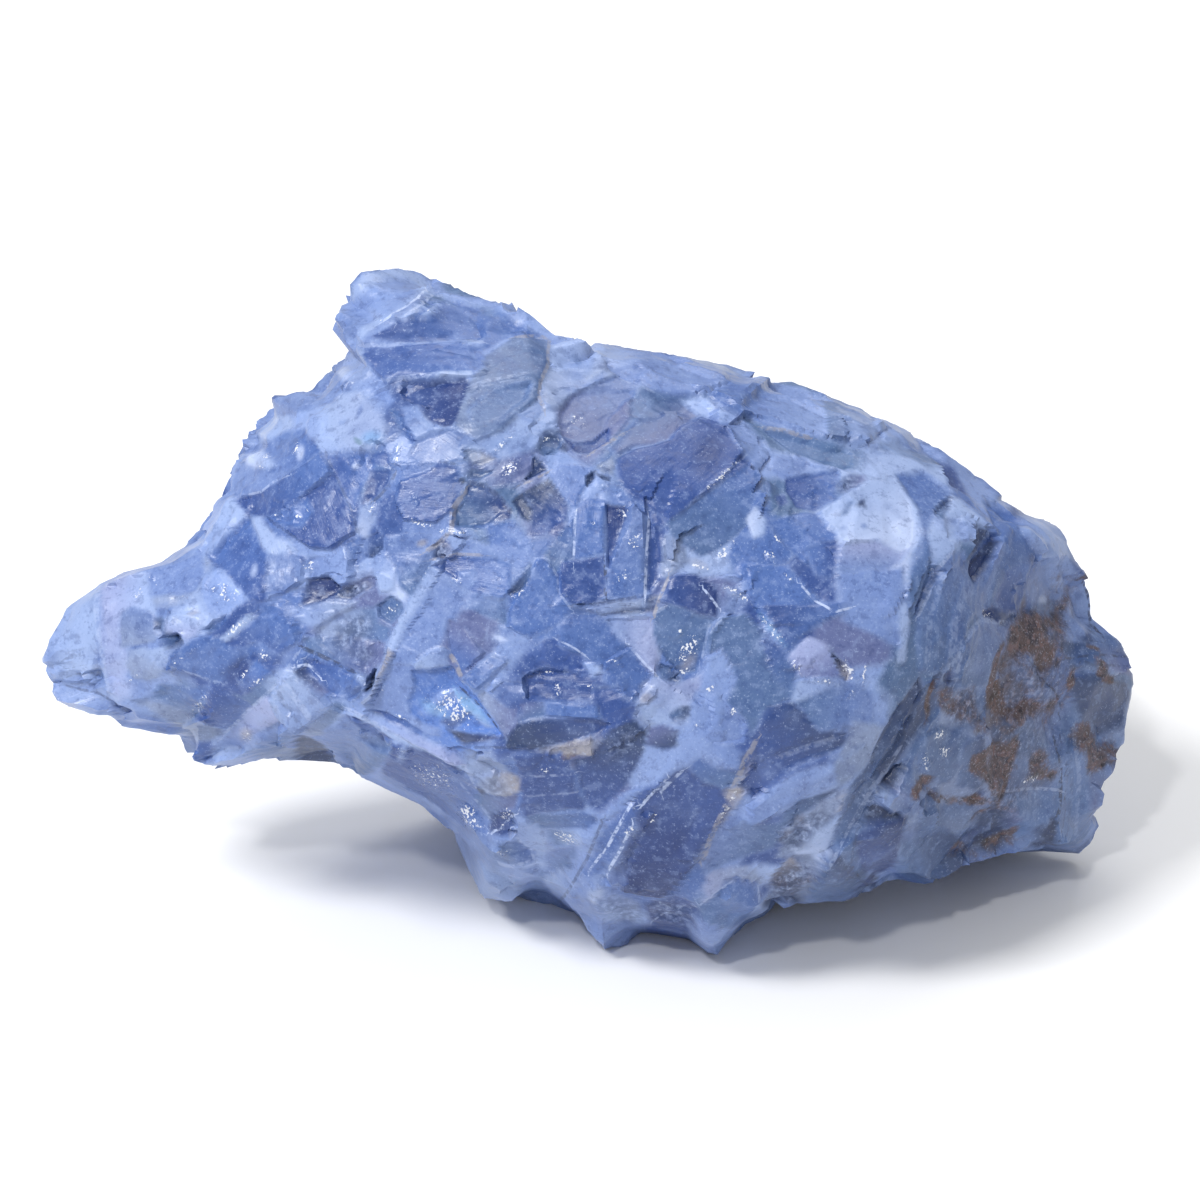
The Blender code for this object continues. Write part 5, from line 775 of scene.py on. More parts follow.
        19.9, -26.7, 18.1, -26.6, 16.4, -25.9, 13.0, -29.0]),
    "grit low": ("slate", "tan", 80, 0.35, -0.1, [20.3, -27.0, 21.5, -25.0, 22.7, -24.0, 23.8, -25.1,
        23.4, -29.0, 22.7, -29.1]),
    "steel toe": ("steel", "slate", 60, 0.3, 0.0, [24.4, -28.6, 27.7, -22.2, 30.0, -26.2, 29.6, -28.3,
        27.1, -29.0]),
    "dark tab": ("navy", "dark", 0, 0.2, -0.2, [30.5, -27.0, 31.5, -25.7, 32.5, -26.1, 31.8, -27.6]),
    "prism bar": ("pale", "soft", 340, 0.3, 0.3, [31.7, -16.4, 32.5, -16.1, 36.4, -17.3, 35.2, -19.0,
        32.1, -17.8]),
    "prism shadow": ("dark", "pit", 0, 0.35, -0.2, [30.5, -19.7, 31.6, -17.9, 35.2, -19.1, 31.9, -20.3]),
    "blue block low": ("navy", "deep", 270, 0.5, 0.0, [30.1, -23.4, 30.8, -20.8, 32.3, -19.9,
        35.2, -19.4, 35.0, -21.9, 31.5, -24.7, 30.2, -24.7]),
    "pale column": ("pale", "soft", 270, 0.3, 0.15, [35.2, -19.4, 36.6, -19.0, 36.2, -21.9, 34.8, -21.8]),
    "ribbon of the end": ("sky", "soft", 300, 0.3, 0.2, [47.8, -1.1, 48.9, -1.6, 50.0, -4.1,
        51.8, -5.7, 52.2, -10.0, 51.6, -10.2, 50.5, -7.7, 48.0, -3.9]),
    "panel dark": ("slate", "dark", 280, 0.4, -0.1, [44.8, -17.8, 45.7, -18.1, 46.1, -23.2,
        45.0, -23.7, 44.6, -20.6]),
    "eye wide": ("slate", "navy", 240, 0.4, -0.2, [42.3, 7.5, 42.6, 8.9, 44.1, 10.6, 45.8, 11.5,
        45.5, 10.4, 42.9, 6.4]),
    "eye small": ("slate", "steel", 240, 0.35, -0.1, [38.5, 13.6, 39.1, 15.2, 40.2, 16.2, 40.2, 14.8,
        39.5, 13.5]),
    "shoulder chip": ("pale", "sky", 300, 0.25, 0.2, [40.5, 12.6, 41.4, 13.6, 42.4, 13.1, 42.7, 11.9,
        42.1, 11.1, 40.9, 11.4]),
    "shoulder chip small": ("pale", "pale", 0, 0.25, 0.1, [38.6, 13.3, 39.7, 13.5, 40.1, 12.6,
        39.4, 12.3, 38.7, 12.4]),
    "shoulder slit": ("steel", "slate", 240, 0.3, -0.2, [38.1, 9.2, 38.6, 8.9, 37.8, 6.2, 36.2, 3.0]),
    "hook dark": ("navy", "slate", 0, 0.3, -0.2, [44.8, 4.1, 45.5, 3.5, 47.3, 3.1, 47.6, 1.9,
        46.1, 1.7, 43.8, 2.6, 43.7, 3.3]),
    "right strip": ("sky", "sky", 270, 0.4, 0.1, [52.6, 7.5, 54.6, 6.9, 55.5, 4.8, 55.5, 1.4,
        54.6, -0.3, 52.9, -0.1]),
    "slab lower field": ("soft", "steel", 300, 0.4, 0.0, [-26.2, -8.8, -25.2, -9.7, -21.4, -11.5,
        -22.9, -13.8, -24.6, -15.0, -26.2, -14.7]),
    "deep slab": ("deep", "blue", 330, 0.35, 0.05, [-21.4, -11.3, -16.3, -12.9, -13.5, -14.5,
        -11.0, -19.6, -12.3, -21.9, -14.9, -19.4, -19.2, -17.5, -22.7, -14.8]),
    "slab edge light": ("soft", "sky", 330, 0.3, 0.1, [-22.9, -15.0, -21.6, -15.0, -18.8, -16.8,
        -16.3, -18.5, -15.6, -19.6, -20.9, -16.6]),
    "brown mound": ("mist", "tan", 0, 0.4, 0.2, [-12.1, -15.7, -11.0, -14.7, -8.9, -14.3, -7.5, -15.0,
        -7.2, -16.4, -8.6, -17.3, -10.9, -16.8]),
    "under the mound": ("steel", "mauve", 0, 0.3, -0.1, [-12.5, -17.1, -10.9, -16.8, -8.6, -17.3,
        -7.5, -16.8, -7.9, -18.5, -10.9, -19.6]),
    "navy pocket": ("navy", "deep", 0, 0.25, -0.2, [-10.3, -19.2, -8.6, -18.8, -7.8, -19.1,
        -8.2, -21.5, -10.5, -21.5, -10.8, -20.3]),
    "tooth field": ("soft", "steel", 280, 0.4, 0.1, [-14.9, -20.3, -10.3, -21.7, -9.8, -24.0,
        -8.9, -25.8, -6.8, -27.0, -6.3, -28.2, -11.6, -28.7]),
    "glassy chip": ("sky", "pale", 0, 0.4, 0.1, [-7.5, -19.1, -4.7, -20.8, -4.0, -23.1, -5.4, -23.8,
        -7.7, -21.8]),
    "lens of the foot": ("steel", "blue", 0, 0.3, -0.1, [-9.8, -22.6, -7.7, -22.1, -6.1, -23.1,
        -5.9, -24.4, -7.9, -24.9, -10.0, -24.4]),
    "pale band of the foot": ("sky", "soft", 0, 0.3, 0.1, [-9.6, -25.1, -5.8, -24.9, -5.0, -24.2,
        -5.8, -26.6, -8.6, -26.1]),
    "arc band": ("steel", "blue", 0, 0.3, 0.0, [-5.9, -18.9, -1.5, -19.0, -0.1, -18.5, 1.3, -19.6,
        0.2, -20.7, -5.0, -20.7, -6.6, -19.4]),
    "foot middle": ("steel", "soft", 0, 0.4, 0.0, [-5.4, -25.4, -4.3, -25.8, -4.5, -27.2, -3.3, -28.6,
        -6.6, -28.7]),
    "foot pale block": ("pale", "sky", 0, 0.3, 0.1, [-4.8, -26.0, -3.5, -25.9, -2.4, -25.2,
        -1.0, -25.4, -0.8, -26.5, -2.0, -28.2, -2.9, -28.7, -4.5, -27.0]),
    "triangle facet": ("sky", "electric", 300, 0.5, 0.1, [-18.6, -7.8, -16.3, -5.5, -14.2, -5.1,
        -17.4, -9.0]),
    "triangle hollow": ("deep", "blue", 0, 0.4, -0.2, [-16.3, -9.0, -12.6, -7.6, -13.5, -9.0,
        -14.9, -10.1]),
    "triangle streak": ("cyan", "sky", 310, 0.4, 0.1, [-14.9, -5.0, -10.2, -9.9, -11.6, -9.5,
        -13.9, -7.4]),
}

# Lines of the front by kind: width, strength, points (across, up, across, up and so on)
LINES = {
    "vein": [
        (0.55, 0.7, [-24.7, 32.6, -20.3, 32.8, -15.8, 33.3, -13.1, 33.4, -11.6, 33.1]),
        (0.4, 0.8, [-22.5, 28.9, -17.0, 29.4, -12.7, 29.7]),
        (0.3, 0.8, [-12.8, 28.3, -11.2, 28.7]),
        (0.35, 0.8, [-11.3, 28.7, -6.6, 29.5]),
        (0.25, 0.5, [-7.0, 29.0, -10.4, 28.4, -12.7, 28.0]),
        (0.3, 0.7, [-7.5, 7.4, -5.3, 9.3, -4.2, 9.1]),
        (0.3, 0.7, [-4.2, 9.1, -3.2, 7.2, -3.0, 5.4, -1.8, 3.8]),
        (0.3, 0.6, [2.4, 30.1, 4.8, 28.8, 7.4, 27.5]),
        (0.3, 0.7, [27.7, 25.7, 29.4, 24.9, 31.2, 23.9]),
        (0.25, 0.5, [11.8, 15.6, 14.7, 18.1, 17.5, 20.4]),
        (0.3, 0.7, [-45.9, -2.6, -43.2, -3.6, -40.8, -4.5]),
        (0.3, 0.8, [-7.2, -14.8, -4.3, -14.7, -1.3, -14.6]),
        (0.25, 0.5, [-7.1, -17.0, -4.1, -16.8, -0.9, -16.6]),
        (0.3, 0.6, [13.4, 0.9, 12.8, -1.7, 12.4, -3.3]),
        (0.7, 0.4, [20.7, -13.2, 24.0, -11.9, 27.7, -10.7]),
        (0.9, 0.5, [41.9, 5.8, 40.6, 2.1, 40.1, -2.8]),
        (0.7, 0.5, [37.5, -2.1, 37.9, 2.7, 39.5, 7.3]),
        (0.3, 0.7, [27.8, 25.8, 29.4, 24.7, 31.1, 24.0]),
        (0.5, 0.6, [34.9, -13.6, 33.1, -14.7, 31.6, -16.1, 30.1, -19.4]),
        (0.4, 0.6, [26.8, -24.4, 29.2, -20.2, 32.4, -15.2, 34.7, -11.7]),
        (0.6, 0.7, [40.6, -4.3, 41.2, -0.3, 43.6, 2.4, 47.2, 1.8]),
        (0.5, 0.5, [53.8, -9.9, 54.3, -15.0, 53.8, -21.3]),
        (0.25, 0.9, [11.9, -29.8, 14.4, -27.6, 16.4, -26.4]),
        (0.3, 1.0, [19.0, -27.6, 19.1, -29.0, 17.6, -30.8, 16.1, -31.8]),
        (0.5, 0.9, [40.2, 9.6, 38.7, 7.9, 37.7, 5.2, 36.7, 3.1]),
        (0.25, 0.7, [-13.9, -15.7, -12.1, -17.8, -10.7, -19.6]),
        (0.35, 0.9, [-7.7, -21.8, -6.3, -22.9, -5.8, -24.4, -8.6, -25.1, -9.8, -24.5]),
    ],
    "tan": [
        (0.45, 0.7, [-8.0, 33.5, -6.2, 33.7, -4.1, 33.5, -4.3, 32.0, -4.3, 30.4, -5.1, 28.7,
        -5.3, 27.1, -4.7, 25.6]),
        (0.6, 0.8, [-13.5, 16.7, -14.8, 14.6, -14.9, 12.3, -16.3, 10.9, -17.6, 10.1]),
        (0.3, 0.8, [-7.4, 17.3, -5.9, 17.9, -4.2, 18.8]),
        (0.4, 0.8, [0.6, 20.9, 2.3, 22.0, 4.4, 23.1]),
        (0.4, 0.7, [-17.0, 9.1, -14.3, 9.7, -11.6, 9.6]),
        (0.4, 0.9, [9.0, 6.9, 8.0, 4.6, 7.5, 3.0]),
        (0.4, 0.7, [19.5, 23.6, 21.6, 23.3, 24.6, 22.6]),
        (0.6, 0.9, [-14.9, -1.6, -14.4, -2.5, -13.9, -3.7]),
        (0.7, 0.8, [18.7, -11.1, 17.5, -13.2, 16.7, -15.2, 15.4, -18.1, 14.0, -20.9, 13.0, -23.8]),
    ],
    # Painted highlights: white glint lines where edges catch the light
    "glint": [
        (0.28, 1.0, [-22.5, 35.4, -21.1, 36.3, -19.9, 36.9, -18.6, 37.9, -18.1, 38.4]),
        (0.25, 0.5, [-17.0, 38.1, -18.6, 36.9, -20.3, 35.8]),
        (0.22, 0.5, [-37.4, 16.2, -36.0, 16.5, -34.4, 17.7, -32.8, 18.2]),
        (0.3, 0.9, [-1.2, 14.4, -1.3, 11.8, -1.4, 9.1]),
        (0.35, 0.9, [6.9, 13.4, 6.6, 8.9, 6.5, 5.2]),
        (0.25, 0.7, [-3.3, 0.3, -1.4, -0.6, 0.0, -1.6]),
        (0.3, 0.9, [13.1, 5.7, 13.9, 4.7, 14.5, 3.9]),
        (0.3, 1.0, [23.9, 6.1, 25.3, 4.6, 26.9, 3.6]),
        (0.3, 0.9, [27.5, 3.3, 29.4, 3.8]),
        (0.35, 1.0, [-32.2, -2.8, -31.1, -2.6, -29.6, -3.9]),
        (0.3, 0.8, [4.8, -0.5, 6.2, -2.1, 7.7, -3.6]),
        (0.4, 1.0, [5.0, -17.8, 3.8, -19.9, 2.4, -22.6]),
        (0.35, 1.0, [1.6, -23.6, 0.4, -25.3]),
        (0.4, 1.0, [8.5, -15.6, 6.2, -18.0]),
        (0.4, 1.0, [2.5, -25.2, 3.8, -23.0, 4.9, -20.6]),
        (0.4, 0.7, [8.5, -16.4, 10.6, -14.4]),
        (0.2, 0.5, [7.1, -31.2, 8.5, -30.1, 10.7, -30.7]),
        (0.2, 0.5, [11.6, -29.5, 9.6, -29.8, 7.9, -29.0]),
        (0.3, 0.9, [-9.5, -20.8, -8.6, -19.9, -8.0, -19.3]),
        (0.3, 0.9, [-10.5, -21.2, -9.5, -21.1]),
    ],
    "seam": [
        (0.35, 0.5, [-28.8, 20.8, -27.9, 18.6, -27.0, 16.7, -26.0, 14.6, -25.2, 12.1]),
        (0.4, 0.9, [-21.2, 18.5, -21.8, 17.3, -22.9, 16.1, -23.4, 15.7]),
        (0.4, 0.6, [-16.4, 20.0, -14.7, 19.7]),
        (0.7, 0.6, [-13.0, 17.6, -11.2, 17.3, -9.8, 16.2, -8.4, 14.5]),
        (0.45, 0.8, [-1.7, 4.0, 1.0, 4.1, 3.1, 4.5, 6.2, 5.1]),
        (0.3, 0.6, [1.7, 3.0, 4.9, 3.4]),
        (0.35, 0.8, [-14.4, -11.7, -9.2, -11.7, -3.7, -11.7]),
        (1.1, 0.5, [19.1, -14.0, 23.6, -11.5, 28.9, -9.7]),
        (0.9, 0.4, [40.8, 6.4, 39.5, 1.8, 39.0, -2.8]),
        (0.6, 0.6, [33.1, -9.7, 31.3, -14.3, 29.0, -18.3]),
        (0.4, 0.6, [30.0, -20.9, 29.4, -23.1, 28.7, -25.7]),
        (0.5, 0.4, [53.3, -11.2, 53.5, -16.3, 52.8, -21.3]),
        (0.4, 0.9, [-3.1, -29.0, -2.2, -27.9, 0.0, -24.2, 1.7, -20.0]),
        (0.3, 0.7, [59.4, -3.0, 56.9, -2.7, 53.1, -2.9]),
    ],
    "crack": [
        (0.4, 0.9, [2.1, 8.5, 2.1, 4.8]),
        (0.3, 0.5, [-58.9, -4.5, -56.9, -5.2, -54.2, -5.7, -51.9, -7.2]),
        (0.5, 0.8, [-31.3, -0.8, -28.7, -2.0, -25.8, -3.4]),
        (0.3, 0.9, [29.4, -24.7, 30.1, -26.2, 30.8, -26.9]),
        (0.35, 0.8, [48.6, -1.6, 50.0, -4.1, 51.7, -5.7, 52.2, -7.9]),
        (0.35, 0.9, [51.6, -10.5, 52.4, -14.0, 52.2, -18.1, 51.4, -22.2]),
        (0.4, 0.9, [45.6, -17.1, 44.8, -20.6, 45.3, -23.4]),
        (0.3, 0.7, [53.0, -2.0, 56.4, -1.6, 59.4, -1.9]),
        (0.35, 0.9, [55.0, 6.0, 55.6, 4.1, 55.6, 1.9, 56.6, 0.8]),
        (0.3, 0.9, [-13.9, -5.3, -11.6, -7.4, -10.0, -9.5]),
    ],
    # Painted shade: dark lines in folds and under ledges, such as under the snout's lip
    "fold": [
        (0.35, 0.7, [-57.6, -2.0, -57.0, -1.9, -56.2, -1.6]),
        (0.3, 0.4, [-57.1, -1.2, -56.3, -1.1, -55.6, -0.8]),
        (0.45, 0.6, [-57.3, -3.7, -56.2, -3.9, -55.0, -3.6, -53.7, -3.0]),
        (0.5, 0.6, [-34.0, -5.5, -32.8, -7.4, -31.3, -9.2]),
        (0.5, 0.7, [-32.2, -12.4, -30.5, -12.6, -28.7, -12.7]),
        (0.4, 0.7, [53.6, -2.9, 55.3, -2.7, 56.8, -2.9]),
    ],
    "ridge": [
        (0.6, 0.7, [-53.9, 5.5, -54.1, 3.4, -53.9, 0.5, -53.5, -1.6, -53.3, -3.6, -52.8, -5.5,
        -51.7, -6.8]),
        (0.4, 0.8, [-40.5, -10.7, -37.1, -7.4, -34.2, -4.7, -31.9, -1.3]),
        (0.7, 0.8, [-33.1, -4.5, -31.5, -6.6, -30.5, -8.0]),
        (0.4, 0.8, [46.4, -16.7, 49.3, -16.4, 51.9, -16.6]),
        (0.5, 1.0, [-26.2, -7.4, -23.0, -9.1, -19.2, -11.0, -15.3, -12.7, -13.3, -13.6, -12.3, -15.7]),
    ],
}

# Spots of the front by kind: across, up, length, width, turn in degrees, strength
SPOTS = {
    "cyan": [
        (-23.7, 22.5, 3.5, 2.3, 10, 0.9),
        (-12.5, -7.4, 6.8, 1.4, 312, 0.8),
        (-16.8, -7.6, 5.3, 2.0, 330, 0.6),
        (20.5, 1.4, 7.4, 0.8, 308, 0.6),
    ],
    "blue": [
        (-25.0, 25.4, 2.3, 0.8, 250, 0.5),
        (-27.0, 24.2, 1.4, 0.8, 20, 0.4),
        # The two broad spots that follow are painted shade below the ear
        (-21.8, 24.3, 25.4, 14.4, 80, 0.4),
        (-20.7, 14.4, 18.8, 12.2, 80, 0.35),
    ],
    "moss": [
        (-25.2, 22.1, 1.8, 0.8, 322, 0.8),
    ],
    # Painted shade at the bottom of a pit
    "pit": [
        (-13.7, 17.8, 1.2, 0.9, 300, 1.0),
        (-13.7, 17.8, 0.8, 0.6, 300, 1.0),
    ],
    # Painted highlights: where the break glitters the material paints white flecks, and it also lowers the roughness
    # and adds small facets
    "glints": [
        (-23.0, 35.7, 1.8, 1.2, 20, 0.8),
        (-17.4, 36.7, 2.7, 0.7, 38, 0.6),
        (-1.4, 24.2, 4.5, 3.5, 30, 0.6),
        (-4.4, 22.6, 1.6, 1.2, 30, 0.9),
        (-9.4, 21.9, 3.9, 1.2, 38, 0.9),
        (-8.4, 19.7, 3.5, 1.0, 40, 0.8),
        (-32.2, 21.4, 2.4, 1.0, 80, 1.0),
        (-35.4, 20.4, 1.8, 1.0, 80, 1.0),
        (-36.0, 19.2, 1.8, 0.6, 0, 0.8),
        (-34.0, 13.8, 2.0, 0.5, 340, 1.0),
        (-31.9, 13.8, 1.6, 1.0, 300, 1.0),
        (-30.9, 14.7, 1.4, 0.5, 280, 0.9),
        (-31.3, 12.6, 1.8, 0.5, 320, 0.7),
        (-21.1, 20.4, 4.0, 1.0, 80, 0.9),
        (-23.8, 14.3, 2.6, 1.2, 70, 1.0),
        (-18.9, 15.7, 2.2, 0.8, 300, 1.0),
        (-18.4, 13.1, 4.0, 1.0, 340, 1.0),
        (-40.0, 5.2, 5.1, 3.4, 330, 0.8),
        (-30.7, 8.4, 2.4, 1.2, 80, 1.0),
        (-21.6, 3.6, 2.6, 1.8, 20, 0.9),
        (-8.4, 19.1, 4.7, 1.8, 35, 0.8),
        (-3.0, 12.0, 1.2, 0.8, 40, 1.0),
        (0.4, 13.1, 2.3, 1.2, 10, 0.9),
        (3.9, 14.4, 2.9, 2.3, 300, 0.9),
        (5.3, 11.0, 4.7, 2.3, 80, 0.9),
        (3.9, 7.1, 3.1, 2.3, 60, 0.8),
        (-14.7, 12.1, 5.3, 1.0, 355, 1.0),
        (-7.3, 5.4, 2.7, 1.0, 35, 1.0),
        (-14.3, 6.7, 1.8, 1.2, 300, 0.8),
        (-4.3, -3.4, 3.1, 0.8, 0, 1.0),
        (-3.3, -5.2, 2.9, 1.4, 300, 0.9),
        (0.0, -5.0, 3.3, 1.0, 350, 0.8),
        (3.5, -2.3, 2.9, 0.8, 330, 0.8),
        (10.3, 0.9, 1.6, 1.0, 40, 0.9),
        (11.7, -0.7, 4.1, 1.8, 50, 1.0),
        (10.9, -3.2, 2.9, 1.2, 30, 0.9),
        (14.8, 18.1, 8.6, 0.9, 41, 1.0),
        (12.4, 8.4, 4.1, 1.4, 340, 0.7),
        (15.5, 10.2, 4.7, 2.5, 30, 0.8),
        (20.2, 9.6, 3.3, 1.2, 300, 1.0),
        (21.0, 11.6, 2.7, 0.8, 300, 0.8),
        (22.3, 7.1, 2.3, 1.0, 300, 0.9),
        (16.7, 5.3, 6.8, 1.2, 330, 1.0),
        (-49.6, 5.2, 2.3, 2.1, 60, 0.9),
        (-47.7, 6.5, 2.7, 0.8, 320, 0.9),
        (-44.6, 4.8, 2.7, 0.5, 0, 1.0),
        (-50.4, -4.5, 1.5, 1.0, 20, 1.0),
        (-49.3, -3.6, 1.2, 1.2, 60, 0.9),
        (-38.6, 1.6, 5.4, 1.5, 38, 1.0),
        (-42.7, -6.8, 6.2, 1.0, 53, 1.0),
        (-38.0, -3.8, 4.8, 0.8, 58, 1.0),
        (-36.5, -4.5, 4.2, 1.0, 42, 1.0),
        (-35.7, -1.6, 2.3, 1.7, 40, 1.0),
        (-44.6, -1.9, 5.4, 0.7, 38, 0.9),
        (-37.5, -10.3, 3.1, 2.3, 50, 0.7),
        (-22.5, -5.0, 1.4, 0.7, 70, 1.0),
        (-15.0, -7.4, 8.6, 5.3, 320, 1.0),
        (-20.3, -8.5, 3.5, 0.6, 335, 1.0),
        (-17.0, -14.9, 8.6, 4.1, 330, 0.7),
        (-12.9, -19.4, 4.9, 2.9, 310, 1.0),
        (-9.0, -19.6, 3.3, 2.3, 60, 0.9),
        (-4.5, -14.1, 3.7, 0.9, 15, 1.0),
        (-2.3, -21.7, 4.5, 2.0, 340, 0.9),
        (-9.2, -23.3, 2.3, 0.8, 20, 1.0),
        (11.3, -0.7, 6.8, 3.1, 60, 1.0),
        (13.8, -5.2, 2.0, 1.8, 40, 1.0),
        (16.2, -7.6, 1.6, 2.3, 60, 1.0),
        (12.2, -9.2, 1.4, 1.0, 0, 0.9),
        (20.5, 1.4, 7.8, 1.2, 308, 1.0),
        (23.2, -2.7, 2.9, 1.2, 300, 1.0),
        (26.3, -4.3, 5.3, 0.8, 0, 1.0),
        (7.4, -19.4, 1.8, 1.2, 50, 1.0),
        (4.8, -20.9, 2.7, 1.4, 60, 1.0),
        (15.4, -18.5, 9.4, 1.2, 60, 0.9),
        (29.0, -3.1, 4.2, 2.0, 300, 1.0),
        (30.8, -3.5, 4.0, 0.9, 80, 1.0),
        (29.2, -5.8, 2.6, 0.7, 30, 1.0),
        (38.9, -10.3, 2.4, 1.8, 40, 1.0),
        (39.4, -12.2, 2.2, 2.0, 60, 1.0),
        (37.4, -13.2, 2.8, 1.3, 280, 1.0),
        (44.4, 3.0, 2.8, 1.3, 320, 0.9),
        (49.2, -15.3, 3.8, 1.2, 25, 1.0),
        (-20.2, -12.0, 2.8, 2.1, 60, 0.5),
        (-9.3, -23.4, 2.1, 1.1, 350, 0.9),
    ],
    "white": [
        # The first white spot is a painted glint on the cheek
        (-31.8, 20.9, 2.5, 1.3, 80, 0.9),
        (-25.6, 19.4, 1.2, 1.0, 0, 1.0),
        (-36.8, 7.8, 2.4, 1.2, 80, 0.6),
        (-34.6, 8.2, 2.0, 1.0, 80, 0.5),
        (-9.6, 0.4, 2.3, 1.0, 340, 0.9),
        (50.3, 4.5, 1.8, 1.3, 30, 0.9),
        (1.1, -28.2, 3.3, 1.5, 50, 0.8),
        # A broad spot of painted light along the crest
        (0.3, 32.6, 12.2, 4.9, 345, 0.35),
    ],
    "tan": [
        (-18.2, 10.9, 1.8, 1.2, 20, 0.7),
        (12.4, 8.6, 3.5, 1.6, 340, 0.4),
        (-43.4, 3.1, 1.9, 1.0, 20, 0.6),
        (-37.7, -10.3, 2.3, 1.9, 60, 0.7),
        (11.3, -2.3, 3.5, 1.8, 50, 0.6),
        (6.6, -6.2, 2.3, 1.8, 30, 0.7),
    ],
    "deep": [
        (-38.6, 10.5, 5.1, 3.2, 240, 0.6),
    ],
    "crush": [
        (-25.5, 5.8, 5.1, 1.6, 25, 0.7),
        (-26.1, 1.1, 8.3, 5.1, 40, 0.8),
        (-15.9, 10.1, 2.9, 2.3, 0, 0.8),
        (-25.0, -1.2, 5.3, 3.1, 350, 0.6),
        (-9.9, -16.0, 4.7, 3.5, 330, 0.5),
        (3.8, -11.5, 6.1, 4.1, 50, 0.5),
        (24.6, -20.3, 7.8, 3.5, 30, 0.8),
        (3.8, -29.8, 9.5, 4.3, 340, 0.6),
        (9.7, -30.3, 7.4, 4.1, 340, 0.7),
        (22.3, -26.7, 6.1, 5.2, 60, 0.9),
        (28.8, 17.4, 4.2, 2.0, 40, 0.7),
        (23.5, -21.6, 7.0, 3.7, 40, 0.9),
        (23.4, -26.2, 4.8, 4.8, 60, 0.9),
        (41.7, -7.3, 6.1, 4.8, 60, 1.0),
        (47.4, -8.1, 7.1, 3.3, 10, 1.0),
        (49.0, -4.4, 26.5, 10.0, 85, 0.45),
        (45.7, -17.7, 13.3, 6.6, 0, 0.4),
    ],
    "pale": [
        (-14.7, 11.8, 4.9, 1.2, 350, 0.5),
        (16.3, 5.3, 5.3, 1.2, 330, 0.5),
        (-20.3, -12.3, 3.5, 1.2, 70, 0.7),
        (42.9, -2.6, 3.8, 2.8, 60, 0.5),
        # From here on, the broad spots are painted light on the crest, the right shoulder, the foot and the snout;
        # the two small ones are pale chips of the foot
        (0.3, 32.6, 15.5, 6.6, 340, 0.5),
        (31.3, 23.2, 17.7, 6.6, 325, 0.35),
        (54.5, 11.1, 13.3, 6.6, 300, 0.5),
        (-10.7, -26.5, 12.2, 6.6, 0, 0.5),
        (-56.6, 0.0, 14.4, 8.8, 80, 0.4),
        (2.8, -30.1, 3.8, 1.5, 20, 0.8),
        (5.9, -30.4, 1.8, 1.5, 0, 0.8),
        (51.8, 13.3, 14.4, 8.8, 310, 0.6),
        (0.3, 37.1, 13.3, 6.6, 350, 0.5),
        (-9.6, -28.8, 14.4, 5.5, 0, 0.45),
        (-56.1, -2.2, 12.2, 13.3, 80, 0.3),
        (32.4, 23.8, 15.5, 6.6, 325, 0.3),
    ],
    "steel": [
        (29.0, 14.9, 1.8, 1.0, 40, 0.7),
        (28.5, 14.1, 1.7, 1.1, 40, 0.9),
        # The broad spot that follows is painted shade below the ear's shoulder
        (-10.7, 22.1, 28.8, 12.2, 70, 0.35),
    ],
    "slate": [
        (30.6, 14.9, 1.4, 0.8, 300, 0.7),
        (30.3, 15.1, 1.7, 0.9, 40, 0.95),
        # The four broad spots that follow are painted shade over the right end and its foot, the side turned away
        # from the key light
        (44.6, -4.4, 46.5, 25.4, 75, 0.32),
        (37.9, -19.9, 25.4, 13.3, 10, 0.3),
        (50.1, -6.6, 25.4, 15.5, 70, 0.32),
        (33.5, -18.8, 14.4, 12.2, 0, 0.25),
    ],
    "navy": [
        (13.4, 20.6, 6.8, 4.7, 60, 0.7),
        (-38.6, -3.1, 5.6, 3.1, 45, 0.8),
        (9.3, -22.8, 8.6, 4.9, 60, 0.8),
    ],
    "rust": [
        (-1.1, -11.7, 4.1, 2.0, 20, 0.5),
        (21.9, -26.2, 6.1, 5.8, 60, 0.45),
        (23.2, -21.5, 5.2, 3.3, 20, 0.4),
        (23.4, -22.0, 6.4, 4.4, 40, 0.4),
        (23.4, -25.7, 5.0, 5.9, 60, 0.45),
        (37.9, -6.8, 9.4, 2.3, 55, 1.0),
        (41.7, -7.5, 7.4, 6.5, 60, 0.75),
        (38.0, -15.6, 4.5, 3.5, 340, 1.0),
        (41.3, -17.0, 8.2, 2.6, 355, 0.95),
        (44.8, -13.9, 11.4, 3.2, 82, 1.0),
        (46.1, -4.4, 13.9, 3.5, 82, 1.0),
        (45.4, -22.4, 5.9, 2.6, 70, 1.0),
        (41.2, -24.6, 4.2, 2.6, 40, 0.8),
        (50.0, 0.8, 13.7, 6.9, 65, 1.0),
        (46.2, -2.0, 7.9, 3.7, 60, 1.0),
        (52.5, -5.6, 8.2, 2.4, 82, 1.0),
        (47.7, -8.1, 10.3, 6.1, 10, 1.0),
        (50.5, -14.0, 6.5, 6.1, 40, 1.0),
        (44.5, -14.2, 8.2, 4.1, 70, 1.0),
        (58.6, -3.2, 6.5, 3.3, 350, 1.0),
        (56.6, -11.6, 7.9, 4.1, 20, 1.0),
        (54.3, 6.0, 6.5, 1.9, 325, 0.6),
        (45.4, -22.4, 5.1, 3.7, 80, 0.9),
        (49.0, -4.4, 28.8, 12.2, 88, 0.5),
        (45.7, -16.6, 14.4, 7.7, 0, 0.45),
        (51.2, 5.5, 12.2, 6.6, 60, 0.5),
        (50.5, -13.5, 6.6, 3.8, 350, 0.9),
